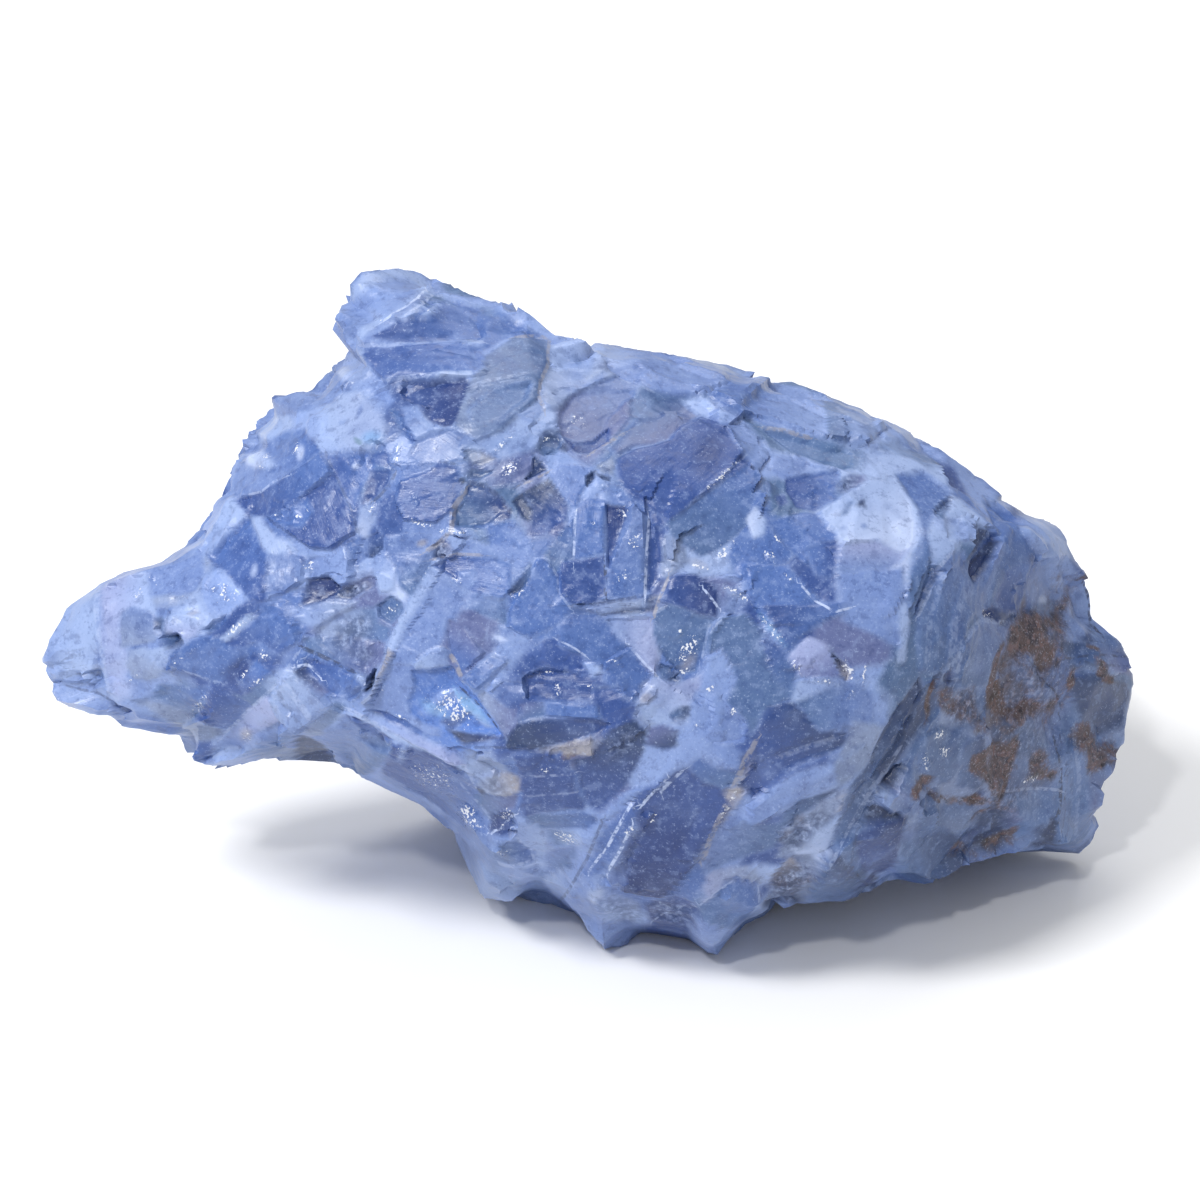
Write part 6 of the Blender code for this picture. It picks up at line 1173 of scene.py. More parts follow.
        (56.9, -11.5, 6.3, 4.1, 340, 0.9),
        (45.5, -23.7, 10.7, 2.8, 20, 0.7),
        (54.1, 6.0, 3.7, 2.2, 340, 0.9),
        (56.5, -0.6, 4.4, 2.2, 340, 0.8),
    ],
    "soft": [
        (30.6, 12.6, 1.1, 0.9, 0, 0.9),
        (28.3, 12.3, 1.0, 0.8, 0, 0.7),
    ],
    "sky": [
        (41.5, 12.2, 2.8, 2.9, 60, 0.9),
        (39.1, 13.0, 2.0, 1.3, 300, 0.7),
    ],
}

# Tones of the grains on the sides that the photo doesn't show, and how often each comes
HIDDEN_TONES = {
    "deep": 0.14,
    "blue": 0.22,
    "soft": 0.22,
    "sky": 0.14,
    "pale": 0.05,
    "steel": 0.10,
    "grey": 0.05,
    "mist": 0.04,
    "teal": 0.04,
}

# Kinds of line: its group (0 white, 1 dark, 2 warm), how strongly it shows, how far it stands out
LINE_KINDS = {
    "vein": (0, 0.45, 0.06),
    "ridge": (0, 0.45, 0.3),
    # glint lines are painted highlights
    "glint": (0, 1.0, 0.06),
    "crack": (1, 0.9, -0.3),
    "seam": (1, 0.55, -0.2),
    # folds are painted shade
    "fold": (1, 0.45, -0.15),
    "tan": (2, 0.8, 0.05),
}


def tone(name, description, by_eye):
    """A colour setting whose default is given as a screen shows it, 0 to 255."""
    screen = np.array(by_eye) / 255
    linear = np.where(screen > 0.04045, ((screen + 0.055) / 1.055) ** 2.4, screen / 12.92)
    return bpy.props.FloatVectorProperty(
        name=name,
        description=description,
        default=tuple(float(value) for value in linear),
        subtype="COLOR",
        min=0,
        max=1,
    )


class StoneShape(bpy.types.PropertyGroup):
    """Sizes of the fine relief that the finished skin adds to the plain solid."""

    raggedness: bpy.props.FloatProperty(
        name="Raggedness",
        description="How far the borders of the grains wander, in millimetres",
        default=0.20,
    )
    softening: bpy.props.FloatProperty(
        name="Softening",
        description="Extra width of the slopes between the large grains of the front, in millimetres",
        default=1.4,
    )
    chip_depth: bpy.props.FloatProperty(
        name="Chip depth",
        description="Height of the small cleavage steps inside a grain, in millimetres",
        default=0.13,
    )
    chip_length: bpy.props.FloatProperty(
        name="Chip length",
        description="Length of one small cleavage step, in millimetres",
        default=2.6,
    )
    hidden_chips: bpy.props.FloatProperty(
        name="Hidden chips",
        description="How much higher the small steps are on the sides away from the eye",
        default=1.5,
    )
    crush_depth: bpy.props.FloatProperty(
        name="Crush depth",
        description="Depth of the broken ground in crushed places, in millimetres",
        default=0.55,
    )
    grain_depth: bpy.props.FloatProperty(
        name="Grain depth",
        description="Depth of the fine unevenness all over the skin, in millimetres",
        default=0.05,
    )
    tile_lean: bpy.props.FloatProperty(
        name="Tile lean",
        description="How much the facets of the front lean against each other",
        default=0.07,
    )
    flatness: bpy.props.FloatProperty(
        name="Flatness of the front",
        description="Share of the large grains' relief that the finished front leaves out",
        default=0.6,
    )
    rim_light: bpy.props.FloatProperty(
        name="Rim light",
        description="Strength of the milky rims round the facets",
        default=0.3,
    )
    sharpness: bpy.props.FloatProperty(
        name="Sharpness",
        description="Edges that turn by more than this angle are sharp",
        default=math.radians(38),
        subtype="ANGLE",
    )


class StoneColours(bpy.types.PropertyGroup):
    """The tones of the stone. Each grain, patch and spot takes one of them by its name."""

    navy: tone("Navy", "Deepest clear windows", (34, 58, 117))
    deep: tone("Deep", "Clear deep blue grains", (57, 85, 149))
    blue: tone("Blue", "Middle blue grains", (86, 116, 178))
    soft: tone("Soft", "Cloudy middle blue grains", (121, 143, 195))
    sky: tone("Sky", "Milky light blue grains", (143, 164, 213))
    pale: tone("Pale", "Milky pale grains and veins", (168, 186, 226))
    white: tone("White", "White crushed and milky places", (200, 211, 241))
    grey: tone("Grey", "Greyish beige slabs", (131, 146, 180))
    mist: tone("Mist", "Pale greyish grains", (150, 164, 198))
    mauve: tone("Mauve", "Purplish rough grains", (106, 115, 160))
    steel: tone("Steel", "Greyish blue grains", (93, 119, 165))
    teal: tone("Teal", "Greenish blue grains", (88, 115, 156))
    slate: tone("Slate", "Dark shaded hollows", (48, 67, 106))
    electric: tone("Electric", "Vivid blue of the sparkling break", (92, 132, 208))
    lilac: tone("Lilac", "Pale purplish grains of the tapering end", (166, 174, 214))
    tan: tone("Tan", "Warm pale rims", (172, 166, 172))
    rust: tone("Rust", "Iron stain", (104, 84, 77))
    russet: tone("Russet", "Warmest iron stain", (138, 101, 87))
    cyan: tone("Cyan", "Pale greenish blue of the copper tint", (150, 190, 232))
    moss: tone("Moss", "Dark green specks", (58, 106, 112))
    # Cracks and gaps, and also painted shade: the fold lines, the nooks and the shadow under the prism bar
    dark: tone("Dark", "Open cracks and thin gaps", (52, 62, 92))
    # Painted shade: the near black of pits, nooks and the shadow under the prism bar
    pit: tone("Pit", "Bottom of a pit", (22, 26, 38))
    depth: tone("Depth", "Multiplies the whole of the paint", (216, 222, 230))


class StageSettings(bpy.types.PropertyGroup):
    """Floor, light and camera."""

    floor_colour: bpy.props.FloatVectorProperty(
        name="Floor",
        description="Colour of the floor",
        default=(0.92, 0.92, 0.92),
        subtype="COLOR",
        min=0,
        max=1,
    )
    room_light: bpy.props.FloatProperty(
        name="Room light",
        description="Strength of the even light from all round",
        default=0.50,
    )
    key_power: bpy.props.FloatProperty(
        name="Key light",
        description="Power of the soft light from the upper left",
        default=5.4,
        unit="POWER",
    )
    lens: bpy.props.FloatProperty(
        name="Lens",
        description="Focal length of the camera, in millimetres",
        default=141.05,
    )


def along(vectors):
    """Each row made one long."""
    return vectors / np.linalg.norm(vectors, axis=-1, keepdims=True)


def ramp(low, high, values):
    """0 below low, 1 above high, and a smooth rise t * t * (3 - 2 * t) between them."""
    share = np.clip((values - low) / (high - low), 0, 1)
    return share * share * (3 - 2 * share)


def scattered(cells, seed):
    """A number from 0 to 1 for each whole-numbered cell, the same each time for the same seed."""
    mixed = np.full(cells.shape[:-1], seed * 7919 + 12345, np.uint32)
    for number, prime in enumerate((73856093, 19349663, 83492791)[: cells.shape[-1]]):
        mixed = mixed ^ (cells[..., number].astype(np.int64) & 0xFFFFFFFF).astype(np.uint32) * np.uint32(prime)
        mixed = (mixed ^ (mixed >> np.uint32(15))) * np.uint32(2246822519)
        mixed = mixed ^ (mixed >> np.uint32(13))
    return mixed / 4294967296.0


def cloud(places, size, seed):
    """Soft noise from 0 to 1: numbers scattered on a lattice of that size, joined smoothly."""
    scaled = places / size
    low = np.floor(scaled).astype(np.int64)
    part = scaled - low
    part = part * part * (3 - 2 * part)
    total = np.zeros(len(places))
    for corner in np.ndindex(2, 2, 2):
        weight = np.where(np.array(corner) == 1, part, 1 - part).prod(axis=1)
        total += weight * scattered(low + np.array(corner), seed)
    return total


def outline_reach(angle):
    """Distance from the heart to the outline, which runs straight between its corners.

    The ray from the heart meets the straight side between corners p and q at the distance
    cross(p, q - p) / cross(ray, q - p).
    """
    corners = np.array(OUTLINE) - HEART[:2]
    corners = corners[np.argsort(np.arctan2(corners[:, 1], corners[:, 0]))]
    bearings = np.arctan2(corners[:, 1], corners[:, 0])
    start = (np.searchsorted(bearings, angle) - 1) % len(corners)
    p = corners[start]
    side = corners[(start + 1) % len(corners)] - p
    ray = np.stack([np.cos(angle), np.sin(angle)], axis=-1)
    across_side = p[..., 0] * side[..., 1] - p[..., 1] * side[..., 0]
    return across_side / (ray[..., 0] * side[..., 1] - ray[..., 1] * side[..., 0])


def blurred(values, spread):
    """Values round a circle, each averaged with its neighbours by a bell curve of that spread."""
    steps = np.arange(-3 * spread, 3 * spread + 1)
    weights = np.exp(-0.5 * (steps / spread) ** 2)
    around = np.concatenate([values[-3 * spread :], values, values[: 3 * spread]])
    return np.convolve(around, weights / weights.sum(), "valid")


BEARINGS = np.linspace(-math.pi, math.pi, 720, endpoint=False)
BROAD_REACH = blurred(outline_reach(BEARINGS), OUTLINE_BLUR)


def gauge(places):
    """How many times further from the heart a place is than the skin of the broad form.

    It is the power mean of the same ratio for the blurred outline and for each broad face.
    """
    angle = np.arctan2(places[:, 1], places[:, 0])
    reach = np.interp(angle, BEARINGS, BROAD_REACH, period=2 * math.pi)
    total = (np.hypot(places[:, 0], places[:, 1]) / reach) ** BROAD_CRISPNESS
    for looks, distance in BROAD_FACES.values():
        share = places @ along(np.array(looks)) / distance
        total += np.clip(share, 0.0, None) ** BROAD_CRISPNESS
    return total ** (1.0 / BROAD_CRISPNESS)


def broad_normals(places):
    """The way the broad form looks at each place: the slope of the gauge, read a little apart."""
    slopes = []
    for step in np.eye(3) * NORMAL_PROBE:
        slopes.append(gauge(places + step) - gauge(places - step))
    return along(np.stack(slopes, axis=-1))


def grain(middle, normal, long_way, length, width, lift, lean, tone_name):
    """One grain: its middle, its facet's normal, and the two measures of its rhomb footprint."""
    long_way = along(long_way - normal * (long_way @ normal))
    short_way = np.cross(normal, long_way)
    slanted = math.cos(CLEAVAGE) * long_way + math.sin(CLEAVAGE) * short_way
    measures = np.linalg.inv(np.stack([long_way, slanted, normal], axis=1))
    return {
        "middle": middle + normal * lift,
        "facet": along(normal + lean),
        "measures": measures / np.array([[length / 2], [width / 2], [GRAIN_DEPTH]]),
        "halves": (length / 2, width / 2, GRAIN_DEPTH),
        "size": min(length, width) / 2,
        "tone": tone_name,
    }


def front_grains(skin, drawn, table):
    """The named grains of one table, each set where the eye sees its middle on the front."""
    grains = []
    for across, up, length, width, turn, lift, lean_right, lean_up, tone_name in table.values():
        apart = np.hypot(drawn[:, 0] - across, drawn[:, 1] - up)
        middle = skin[np.argmin(apart - NEARER_WINS * skin[:, 2])]
        normal = broad_normals(middle[None])[0]
        heading = math.radians(turn)
        long_way = np.array([math.cos(heading), math.sin(heading), 0.0])
        lean = np.array([lean_right, lean_up, 0.0])
        square_on = along(normal + FRONT_BIAS)
        lean = normal - square_on + lean
        grains.append(grain(middle, square_on, long_way, length, width, lift, lean, tone_name))
    return grains


def plain_grains(skin_of, named):
    """Grains spread evenly over the rest of the skin, with seeded sizes, turns and leans."""
    dice = np.random.default_rng(PLAIN_SEED)
    tone_dice = np.random.default_rng(PLAIN_SEED + 1)
    count = np.arange(PLAIN_GRAINS)
    height = 1 - (2 * count + 1) / PLAIN_GRAINS
    turn = count * math.pi * (3 - math.sqrt(5))
    ring = np.sqrt(1 - height**2)
    ways = along(np.stack([height, ring * np.cos(turn), ring * np.sin(turn)], axis=-1) * STRETCH)
    middles = skin_of(ways)
    normals = broad_normals(middles)
    tones = tone_dice.choice(list(HIDDEN_TONES), PLAIN_GRAINS, p=list(HIDDEN_TONES.values()))
    grains = []
    for middle, normal, tone_name in zip(middles, normals, tones):
        length = dice.uniform(*PLAIN_LENGTH)
        width = length * dice.uniform(*PLAIN_NARROWING)
        heading = dice.uniform(0, 2 * math.pi)
        lean = dice.normal(0, PLAIN_LEAN, 3)
        lift = dice.uniform(-PLAIN_LIFT, PLAIN_LIFT)
        apart = [np.abs(front["measures"] @ (middle - front["middle"])).max() for front in named]
        if min(apart) < PLAIN_CLEARANCE:
            continue
        aside = along(np.cross(normal, SEEDING_AXIS))
        long_way = math.cos(heading) * aside + math.sin(heading) * np.cross(normal, aside)
        grains.append(grain(middle, normal, long_way, length, width, lift, lean, str(tone_name)))
    return grains


def cube_ball(cuts):
    """Directions and faces of a cube's surface blown up to a ball, all six squares joined.

    A square's parameters s and t run from -1 to 1, and the tangent of a quarter turn times them
    keeps the cells even. Cube corners that two squares share are kept once.
    """
    span = np.arange(cuts + 1)
    across, up = np.meshgrid(span, span, indexing="ij")
    lattice, faces = [], []
    for axis in range(3):
        for side in (0, cuts):
            places = np.empty((cuts + 1, cuts + 1, 3), np.int64)
            places[..., axis] = side
            places[..., (axis + 1) % 3] = across
            places[..., (axis + 2) % 3] = up
            number = np.arange((cuts + 1) ** 2).reshape(cuts + 1, cuts + 1) + len(lattice) * (cuts + 1) ** 2
            quads = np.stack([number[:-1, :-1], number[1:, :-1], number[1:, 1:], number[:-1, 1:]], axis=-1)
            faces.append((quads if side else quads[..., ::-1]).reshape(-1, 4))
            lattice.append(places.reshape(-1, 3))
    lattice = np.concatenate(lattice)
    code = lattice @ np.array([(cuts + 1) ** 2, cuts + 1, 1])
    _, kept, index = np.unique(code, return_index=True, return_inverse=True)
    cube = np.tan((lattice[kept] / cuts - 0.5) * math.pi / 2)
    return along(cube), index.reshape(-1)[np.concatenate(faces)]


def claimed(broad, far, ways, grains, ragged, step_width):
    """Which grain each point of the skin belongs to, its facet's reach, and how near the border is.

    Each grain measures how far a point is from its middle in halves of its own rhomb, and the
    least measure claims the point. Next to a border the two facets meet in a short ramp.
    """
    amount = len(ways)
    looked_up = broad + ragged
    first = np.full(amount, np.inf)
    second = first.copy()
    owner = np.zeros(amount, np.int64)
    rival = owner.copy()
    reach_first, reach_second = far.copy(), far.copy()
    local = np.zeros((amount, 3))
    for number, piece in enumerate(grains):
        coordinates = (looked_up - piece["middle"]) @ piece["measures"].T
        measure = np.abs(coordinates).max(axis=1)
        slope = np.clip(ways @ piece["facet"], FLATTEST_SIGHT, None)
        reach = piece["middle"] @ piece["facet"] / slope
        reach = np.clip(reach, far - TALLEST_STEP, far + TALLEST_STEP)
        closest = measure < first
        closer = ~closest & (measure < second)
        second = np.where(closest, first, np.where(closer, measure, second))
        reach_second = np.where(closest, reach_first, np.where(closer, reach, reach_second))
        rival = np.where(closest, owner, np.where(closer, number, rival))
        first = np.where(closest, measure, first)
        reach_first = np.where(closest, reach, reach_first)
        owner = np.where(closest, number, owner)
        local[closest] = coordinates[closest] * piece["halves"]
    sizes = np.array([piece["size"] for piece in grains])
    from_border = (second - first) / (1 / sizes[owner] + 1 / sizes[rival])
    share = 0.5 - 0.5 * ramp(0, step_width, from_border)
    return {
        "owner": owner,
        "rival": rival,
        "reach": reach_first + (reach_second - reach_first) * share,
        "share": share,
        "inside": first,
        "from_border": from_border,
        "local": local,
    }


def fitted_to_outline(places):
    """The skin moved in or out, square to the view, until its rim lies on the outline.

    For each bearing round the heart the widest place of the skin is found, as it looks from
    the eye, and the ratio of the outline to it is the stretch at the rim. The blurred part of that
    ratio fades slowly from the rim inwards, and the rest, the teeth and notches, fades fast.
    """
    looks_larger = EYE_DISTANCE / (EYE_DISTANCE - places[:, 2])
    bearing = np.arctan2(places[:, 1], places[:, 0])
    spread = np.hypot(places[:, 0], places[:, 1])
    slot = ((bearing / (2 * math.pi) + 0.5) * OUTLINE_BEARINGS).astype(int) % OUTLINE_BEARINGS
    widest = np.zeros(OUTLINE_BEARINGS)
    np.maximum.at(widest, slot, spread * looks_larger)
    middles = ((np.arange(OUTLINE_BEARINGS) + 0.5) / OUTLINE_BEARINGS - 0.5) * 2 * math.pi
    rim = np.interp(bearing, middles, widest, period=2 * math.pi)
    broad_ratios = blurred(RIM_EXCESS * outline_reach(middles) / widest, RATIO_BLUR)
    broad_ratio = np.interp(bearing, middles, broad_ratios, period=2 * math.pi)
    teeth = RIM_EXCESS * outline_reach(bearing) / rim - broad_ratio
    rimness = np.clip(spread * looks_larger / rim, 0, 1)
    stretch = 1 + (broad_ratio - 1) * rimness**RIM_HOLD + teeth * rimness**TEETH_HOLD
    return places * np.stack([stretch, stretch, np.ones(len(places))], axis=-1)


def as_drawn(places):
    """Across and up of each place as the eye sees it against the front's own plane."""
    seen = places + HEART
    return seen[:, :2] * (EYE_DISTANCE / (EYE_DISTANCE - seen[:, 2]))[:, None]


def stood_up(places):
    """From the eye's directions, about the heart, to the ground's: right, behind and above."""
    across, up, near = (places + HEART).T
    lean_sin, lean_cos = math.sin(LEAN_BACK), math.cos(LEAN_BACK)
    behind = up * lean_sin - near * lean_cos
    above = up * lean_cos + near * lean_sin
    drop = HEART[1] * lean_cos + HEART[2] * lean_sin - REST_DROP
    return np.stack([across - BOX_MIDDLE[0], behind - BOX_MIDDLE[1], above - drop], axis=-1)


def depth_inside(drawn, corners):
    """Distance of each drawn point inside a closed polygon, negative outside it.

    The distance is that to the nearest side, and a point is inside when a level ray from it
    crosses the sides an odd number of times.
    """
    corners = np.array(corners)
    nearest = np.full(len(drawn), np.inf)
    inside = np.zeros(len(drawn), bool)
    for start, end in zip(corners, np.roll(corners, -1, axis=0)):
        side = end - start
        part = np.clip((drawn - start) @ side / (side @ side), 0, 1)
        nearest = np.minimum(nearest, np.linalg.norm(drawn - start - part[:, None] * side, axis=1))
        spans = (start[1] > drawn[:, 1]) != (end[1] > drawn[:, 1])
        meets = start[0] + side[0] * (drawn[:, 1] - start[1]) / (side[1] if side[1] else 1e-9)
        inside ^= spans & (drawn[:, 0] < meets)
    return np.where(inside, nearest, -nearest)


def near_box(drawn, corners, margin, facing):
    """Numbers of the points of the front that lie in the box round the corners, or near it."""
    low, high = corners.min(axis=0) - margin, corners.max(axis=0) + margin
    return np.flatnonzero(((drawn > low) & (drawn < high)).all(axis=1) & (facing > 0))


def from_line(drawn, points):
    """Distance of each drawn point from a line of straight stretches, below zero on its right."""
    nearest = np.full(len(drawn), np.inf)
    for start, end in zip(points, points[1:]):
        side = end - start
        apart = drawn - start
        part = np.clip(apart @ side / (side @ side), 0, 1)
        distance = np.linalg.norm(apart - part[:, None] * side, axis=1)
        left = np.where(side[0] * apart[:, 1] > side[1] * apart[:, 0], 1, -1)
        nearest = np.where(distance < np.abs(nearest), distance * left, nearest)
    return nearest


def rows_of(table):
    """Every row of a table that is grouped by kind, each with its kind in front."""
    return [(kind, *row) for kind, rows in table.items() for row in rows]


def spot_strength(drawn, across, up, length, width, turn):
    """1 in the middle of a turned ellipse, falling smoothly to 0 at its rim."""
    heading = math.radians(turn)
    way = np.array([math.cos(heading), math.sin(heading)])
    apart = drawn - [across, up]
    along_way = apart @ way / (length / 2)
    across_way = (apart @ [-way[1], way[0]]) / (width / 2)
    return ramp(0, 1, 1.25 - 1.25 * np.hypot(along_way, across_way))


def seen_share(places, faces):
    """1 where the skin is turned to the eye, falling to 0 where it is turned away.

    A point's normal is the sum of the cross products of the diagonals of the faces round it.
    """
    a, b, c, d = (places[faces[:, number]] for number in range(4))
    across = np.cross(c - a, d - b)
    normals = np.zeros_like(places)
    for axis in range(3):
        normals[:, axis] = np.bincount(faces.ravel(), np.repeat(across[:, axis], 4), len(places))
    to_eye = along(np.array([0, 0, EYE_DISTANCE]) - (places + HEART))
    return ramp(-0.22, 0.02, (along(normals) * to_eye).sum(axis=1))


def stone_surface(shape, colours):
    """The finished skin: places in metres, faces, and the values that the material reads."""
    directions, faces = cube_ball(SQUARE_CUTS)
    # The cube's third way is up, and the skin's is near, so turning them keeps it right side out
    ways = np.stack([directions[:, 0], directions[:, 2], -directions[:, 1]], axis=-1)
    ways = along(along(ways + [0, 0, TOWARDS_EYE]) * STRETCH)

    def skin_of(some_ways):
        return some_ways / gauge(some_ways)[:, None]

    broad = skin_of(ways)
    far = 1 / gauge(ways)
    normals = broad_normals(broad)
    square_on = ramp(0.40, 0.85, normals[:, 2])
    drawn = as_drawn(fitted_to_outline(broad))
    named = front_grains(broad, drawn, FRONT_GRAINS)
    grains = named + plain_grains(skin_of, named)
    wander = [cloud(broad, 2.2, 11), cloud(broad, 2.2, 12), cloud(broad, 2.2, 13)]
    wander_fine = [cloud(broad, 0.9, 14), cloud(broad, 0.9, 15), cloud(broad, 0.9, 16)]
    ragged = (np.stack(wander, axis=-1) - 0.5) * 2 * shape.raggedness
    ragged += (np.stack(wander_fine, axis=-1) - 0.5) * shape.raggedness
    claim = claimed(broad, far, ways, grains, ragged, STEP_WIDTH + shape.softening * square_on)
    reach = far + (claim["reach"] - far) * (1 - shape.flatness * square_on)
    places = fitted_to_outline(ways * reach[:, None])
    drawn = as_drawn(places)
    seen_fully = seen_share(fitted_to_outline(broad), faces)

    palette = {name: np.array(getattr(colours, name)) for name in StoneColours.__annotations__}
    by_grain = np.array([palette[piece["tone"]] for piece in grains])
    hidden = 1 - seen_fully
    share = (0.5 - 0.5 * ramp(0, STEP_WIDTH + shape.softening * hidden, claim["from_border"]))[:, None]
    paint = by_grain[claim["owner"]] * (1 - share) + by_grain[claim["rival"]] * share

    # Milky rims between the grains, and clear hearts inside them
    soft_noise = cloud(broad, 5.0, 21) * 0.6 + cloud(broad, 1.8, 22) * 0.4
    outer = ramp(0.72, 1.35, claim["inside"] + (soft_noise - 0.5) * 0.7)
    vein = 1 - ramp(0.05, 0.45, claim["from_border"])
    vein *= ramp(0.35, 0.75, cloud(broad, 4.0, 23))
    paint = mixed_in(paint, palette["sky"], outer * 0.3)
    paint = mixed_in(paint, palette["pale"], vein * 0.22)

    # Small cleavage steps inside the grains, lying along their own rhombs
    local = claim["local"]
    swayed = (np.stack(wander[:2], axis=-1) - 0.5) * 0.25
    lattice = local[:, :2] / [shape.chip_length, shape.chip_length * 0.7] + swayed
    cells = np.concatenate([np.floor(lattice), claim["owner"][:, None]], axis=1).astype(np.int64)
    local[:, 2] = ramp(0.15, 0.6, claim["from_border"])
    draw = scattered(cells, 31)
    height = np.where(draw > 0.72, (draw - 0.72) / 0.28, 0) - np.where(draw < 0.14, 0.8, 0)
    relief = shape.chip_depth * height * (1 + shape.hidden_chips * hidden)
    paint = paint * (1 + (scattered(cells, 32) - 0.5) * 0.10)[:, None]

    masks = {kind: np.zeros(len(ways)) for kind in ("glints", "crush", "rust")}
    dice = np.random.default_rng(71)
    wandering = drawn + ragged[:, :2] * 0.7
    seeping = drawn + (np.stack([cloud(broad, 3.5, 25), cloud(broad, 3.5, 26)], axis=-1) - 0.5) * 5.0
    rim_noise = ramp(0.35, 0.65, cloud(broad, 1.5, 24))
    for tone_name, far_tone, heading, softness, lift, corners in PATCHES.values():
        corners = np.array(corners).reshape(-1, 2)
        near = near_box(wandering, corners, 1.0, seen_fully)
        depth = depth_inside(wandering[near], corners)
        seen = seen_fully[near]
        amount = ramp(-softness / 2, softness / 2, depth) * seen
        way = np.array([math.cos(math.radians(heading)), math.sin(math.radians(heading))])
        along_way = corners @ way
        change = ramp(along_way.min(), along_way.max(), drawn[near] @ way)[:, None]
        colour = palette[tone_name] * (1 - change) + palette[far_tone] * change
        paint[near] = mixed_in(paint[near], colour * dice.uniform(0.90, 1.10), amount)
        rim = (1 - ramp(0.05, 0.28, np.abs(depth + 0.05))) * rim_noise[near] * seen
        paint[near] = mixed_in(paint[near], palette["sky"], rim * shape.rim_light)
        lean = (drawn[near] - corners.mean(axis=0)) @ dice.normal(0, shape.tile_lean, 2)
        relief[near] *= 1 - min(softness, 1) * ramp(0, 0.5, depth)
        relief[near] += (lift * 1.4 + np.clip(lean, -0.6, 0.6)) * ramp(-0.08, 0.22, depth) * seen
        # Streaks inside a facet run along its longest side
        sides = np.roll(corners, -1, axis=0) - corners
        side = along(sides[np.argmax(np.linalg.norm(sides, axis=1))])
        apart = drawn[near] - corners.mean(axis=0)
        turned = np.stack([apart @ side, apart @ [-side[1], side[0]], seen], axis=-1)
        local[near] = np.where(depth[:, None] > 0, turned, local[near])
        local[near, 2] = np.minimum(local[near, 2], ramp(0.15, 0.6, np.abs(depth)))
    line_reach = np.full((len(ways), 3), 9.0)
    line_strength = np.zeros((len(ways), 3))
    nearest = np.full((len(ways), 3), np.inf)
    # Lines of the front, kept as distances for the material: among them painted glints and, in the folds, painted
    # shade
    for kind, width, strength, points in rows_of(LINES):
        points = np.array(points).reshape(-1, 2)
        near = near_box(drawn, points, LINE_MARGIN, seen_fully)
        apart = from_line(drawn[near], points)
        group, weight, lift = LINE_KINDS[kind]
        fading = seen_fully[near] * (1 - ramp(0.8, 1.6, np.abs(apart))) * strength
        nearer = (np.abs(apart) < nearest[near, group]) & (np.abs(apart) < LINE_MARGIN)
        nearest[near[nearer], group] = np.abs(apart[nearer])
        line_reach[near[nearer], group] = apart[nearer] / width
        line_strength[near[nearer], group] = fading[nearer] * weight
        if width >= 0.5:
            relief[near] += lift * (1 - ramp(0.2, 0.9, np.abs(apart))) * fading
    # Spots: marks of tone, and broad spots of painted light and painted shade; glints, crush and rust go into masks
    for kind, across, up, length, width, turn, strength in rows_of(SPOTS):
        where = seeping if kind == "rust" else drawn
        near = near_box(where, np.array([(across, up)]), length, seen_fully)
        amount = spot_strength(where[near], across, up, length, width, turn) * seen_fully[near] * strength
        if kind in masks:
            masks[kind][near] = np.maximum(masks[kind][near], amount)
        else:
            paint[near] = mixed_in(paint[near], palette[kind], amount)

    masks["rust"] = np.maximum(masks["rust"], hidden * ramp(0.70, 0.86, cloud(broad, 13.0, 51)) * ramp(0, 25, broad[:, 0]) * 0.8)
    masks["crush"] = np.maximum(masks["crush"], hidden * ramp(0.60, 0.85, cloud(broad, 6.0, 52)) * 0.5)
    # painted highlights scattered over the hidden sides as well
    masks["glints"] = np.maximum(masks["glints"], hidden * ramp(0.60, 0.80, cloud(broad, 5.0, 53)) * 0.6)

    rough_ground = cloud(places, 1.1, 61) * 0.6 + cloud(places, 0.6, 62) * 0.4 - 0.5
    fine_ground = cloud(places, 1.6, 63) * 0.6 + cloud(places, 0.7, 64) * 0.4 - 0.5
    relief = relief + rough_ground * 2 * shape.crush_depth * np.maximum(masks["crush"], masks["rust"] * 0.6)
    relief = relief + fine_ground * 2 * shape.grain_depth
    places = places + normals * (relief * (1 - 0.8 * (1 - np.abs(normals[:, 2]))))[:, None]
    world = stood_up(places)
    world[:, 2] = np.clip(world[:, 2], 0, None)
    return {
        "places": world * MM,
        "faces": split_quads(faces, np.linalg.norm(places, axis=1)),
        "paint": paint,
        "masks": masks,
        "local": local,
        "line_reach": line_reach,
        "line_strength": line_strength,
    }


def mixed_in(paint, colour, amount):
    """The paint moved towards one colour by the given share at each point."""
    return paint + (colour - paint) * amount[:, None]


def split_quads(quads, reach):
    """Two triangles for each square, cut along the diagonal whose ends are nearest in reach."""
    a, b, c, d = quads.T
    even = np.abs(reach[a] - reach[c]) < np.abs(reach[b] - reach[d])
    first = np.where(even, [a, b, c], [a, b, d])
    second = np.where(even, [a, c, d], [b, c, d])
    return np.concatenate([first.T, second.T])


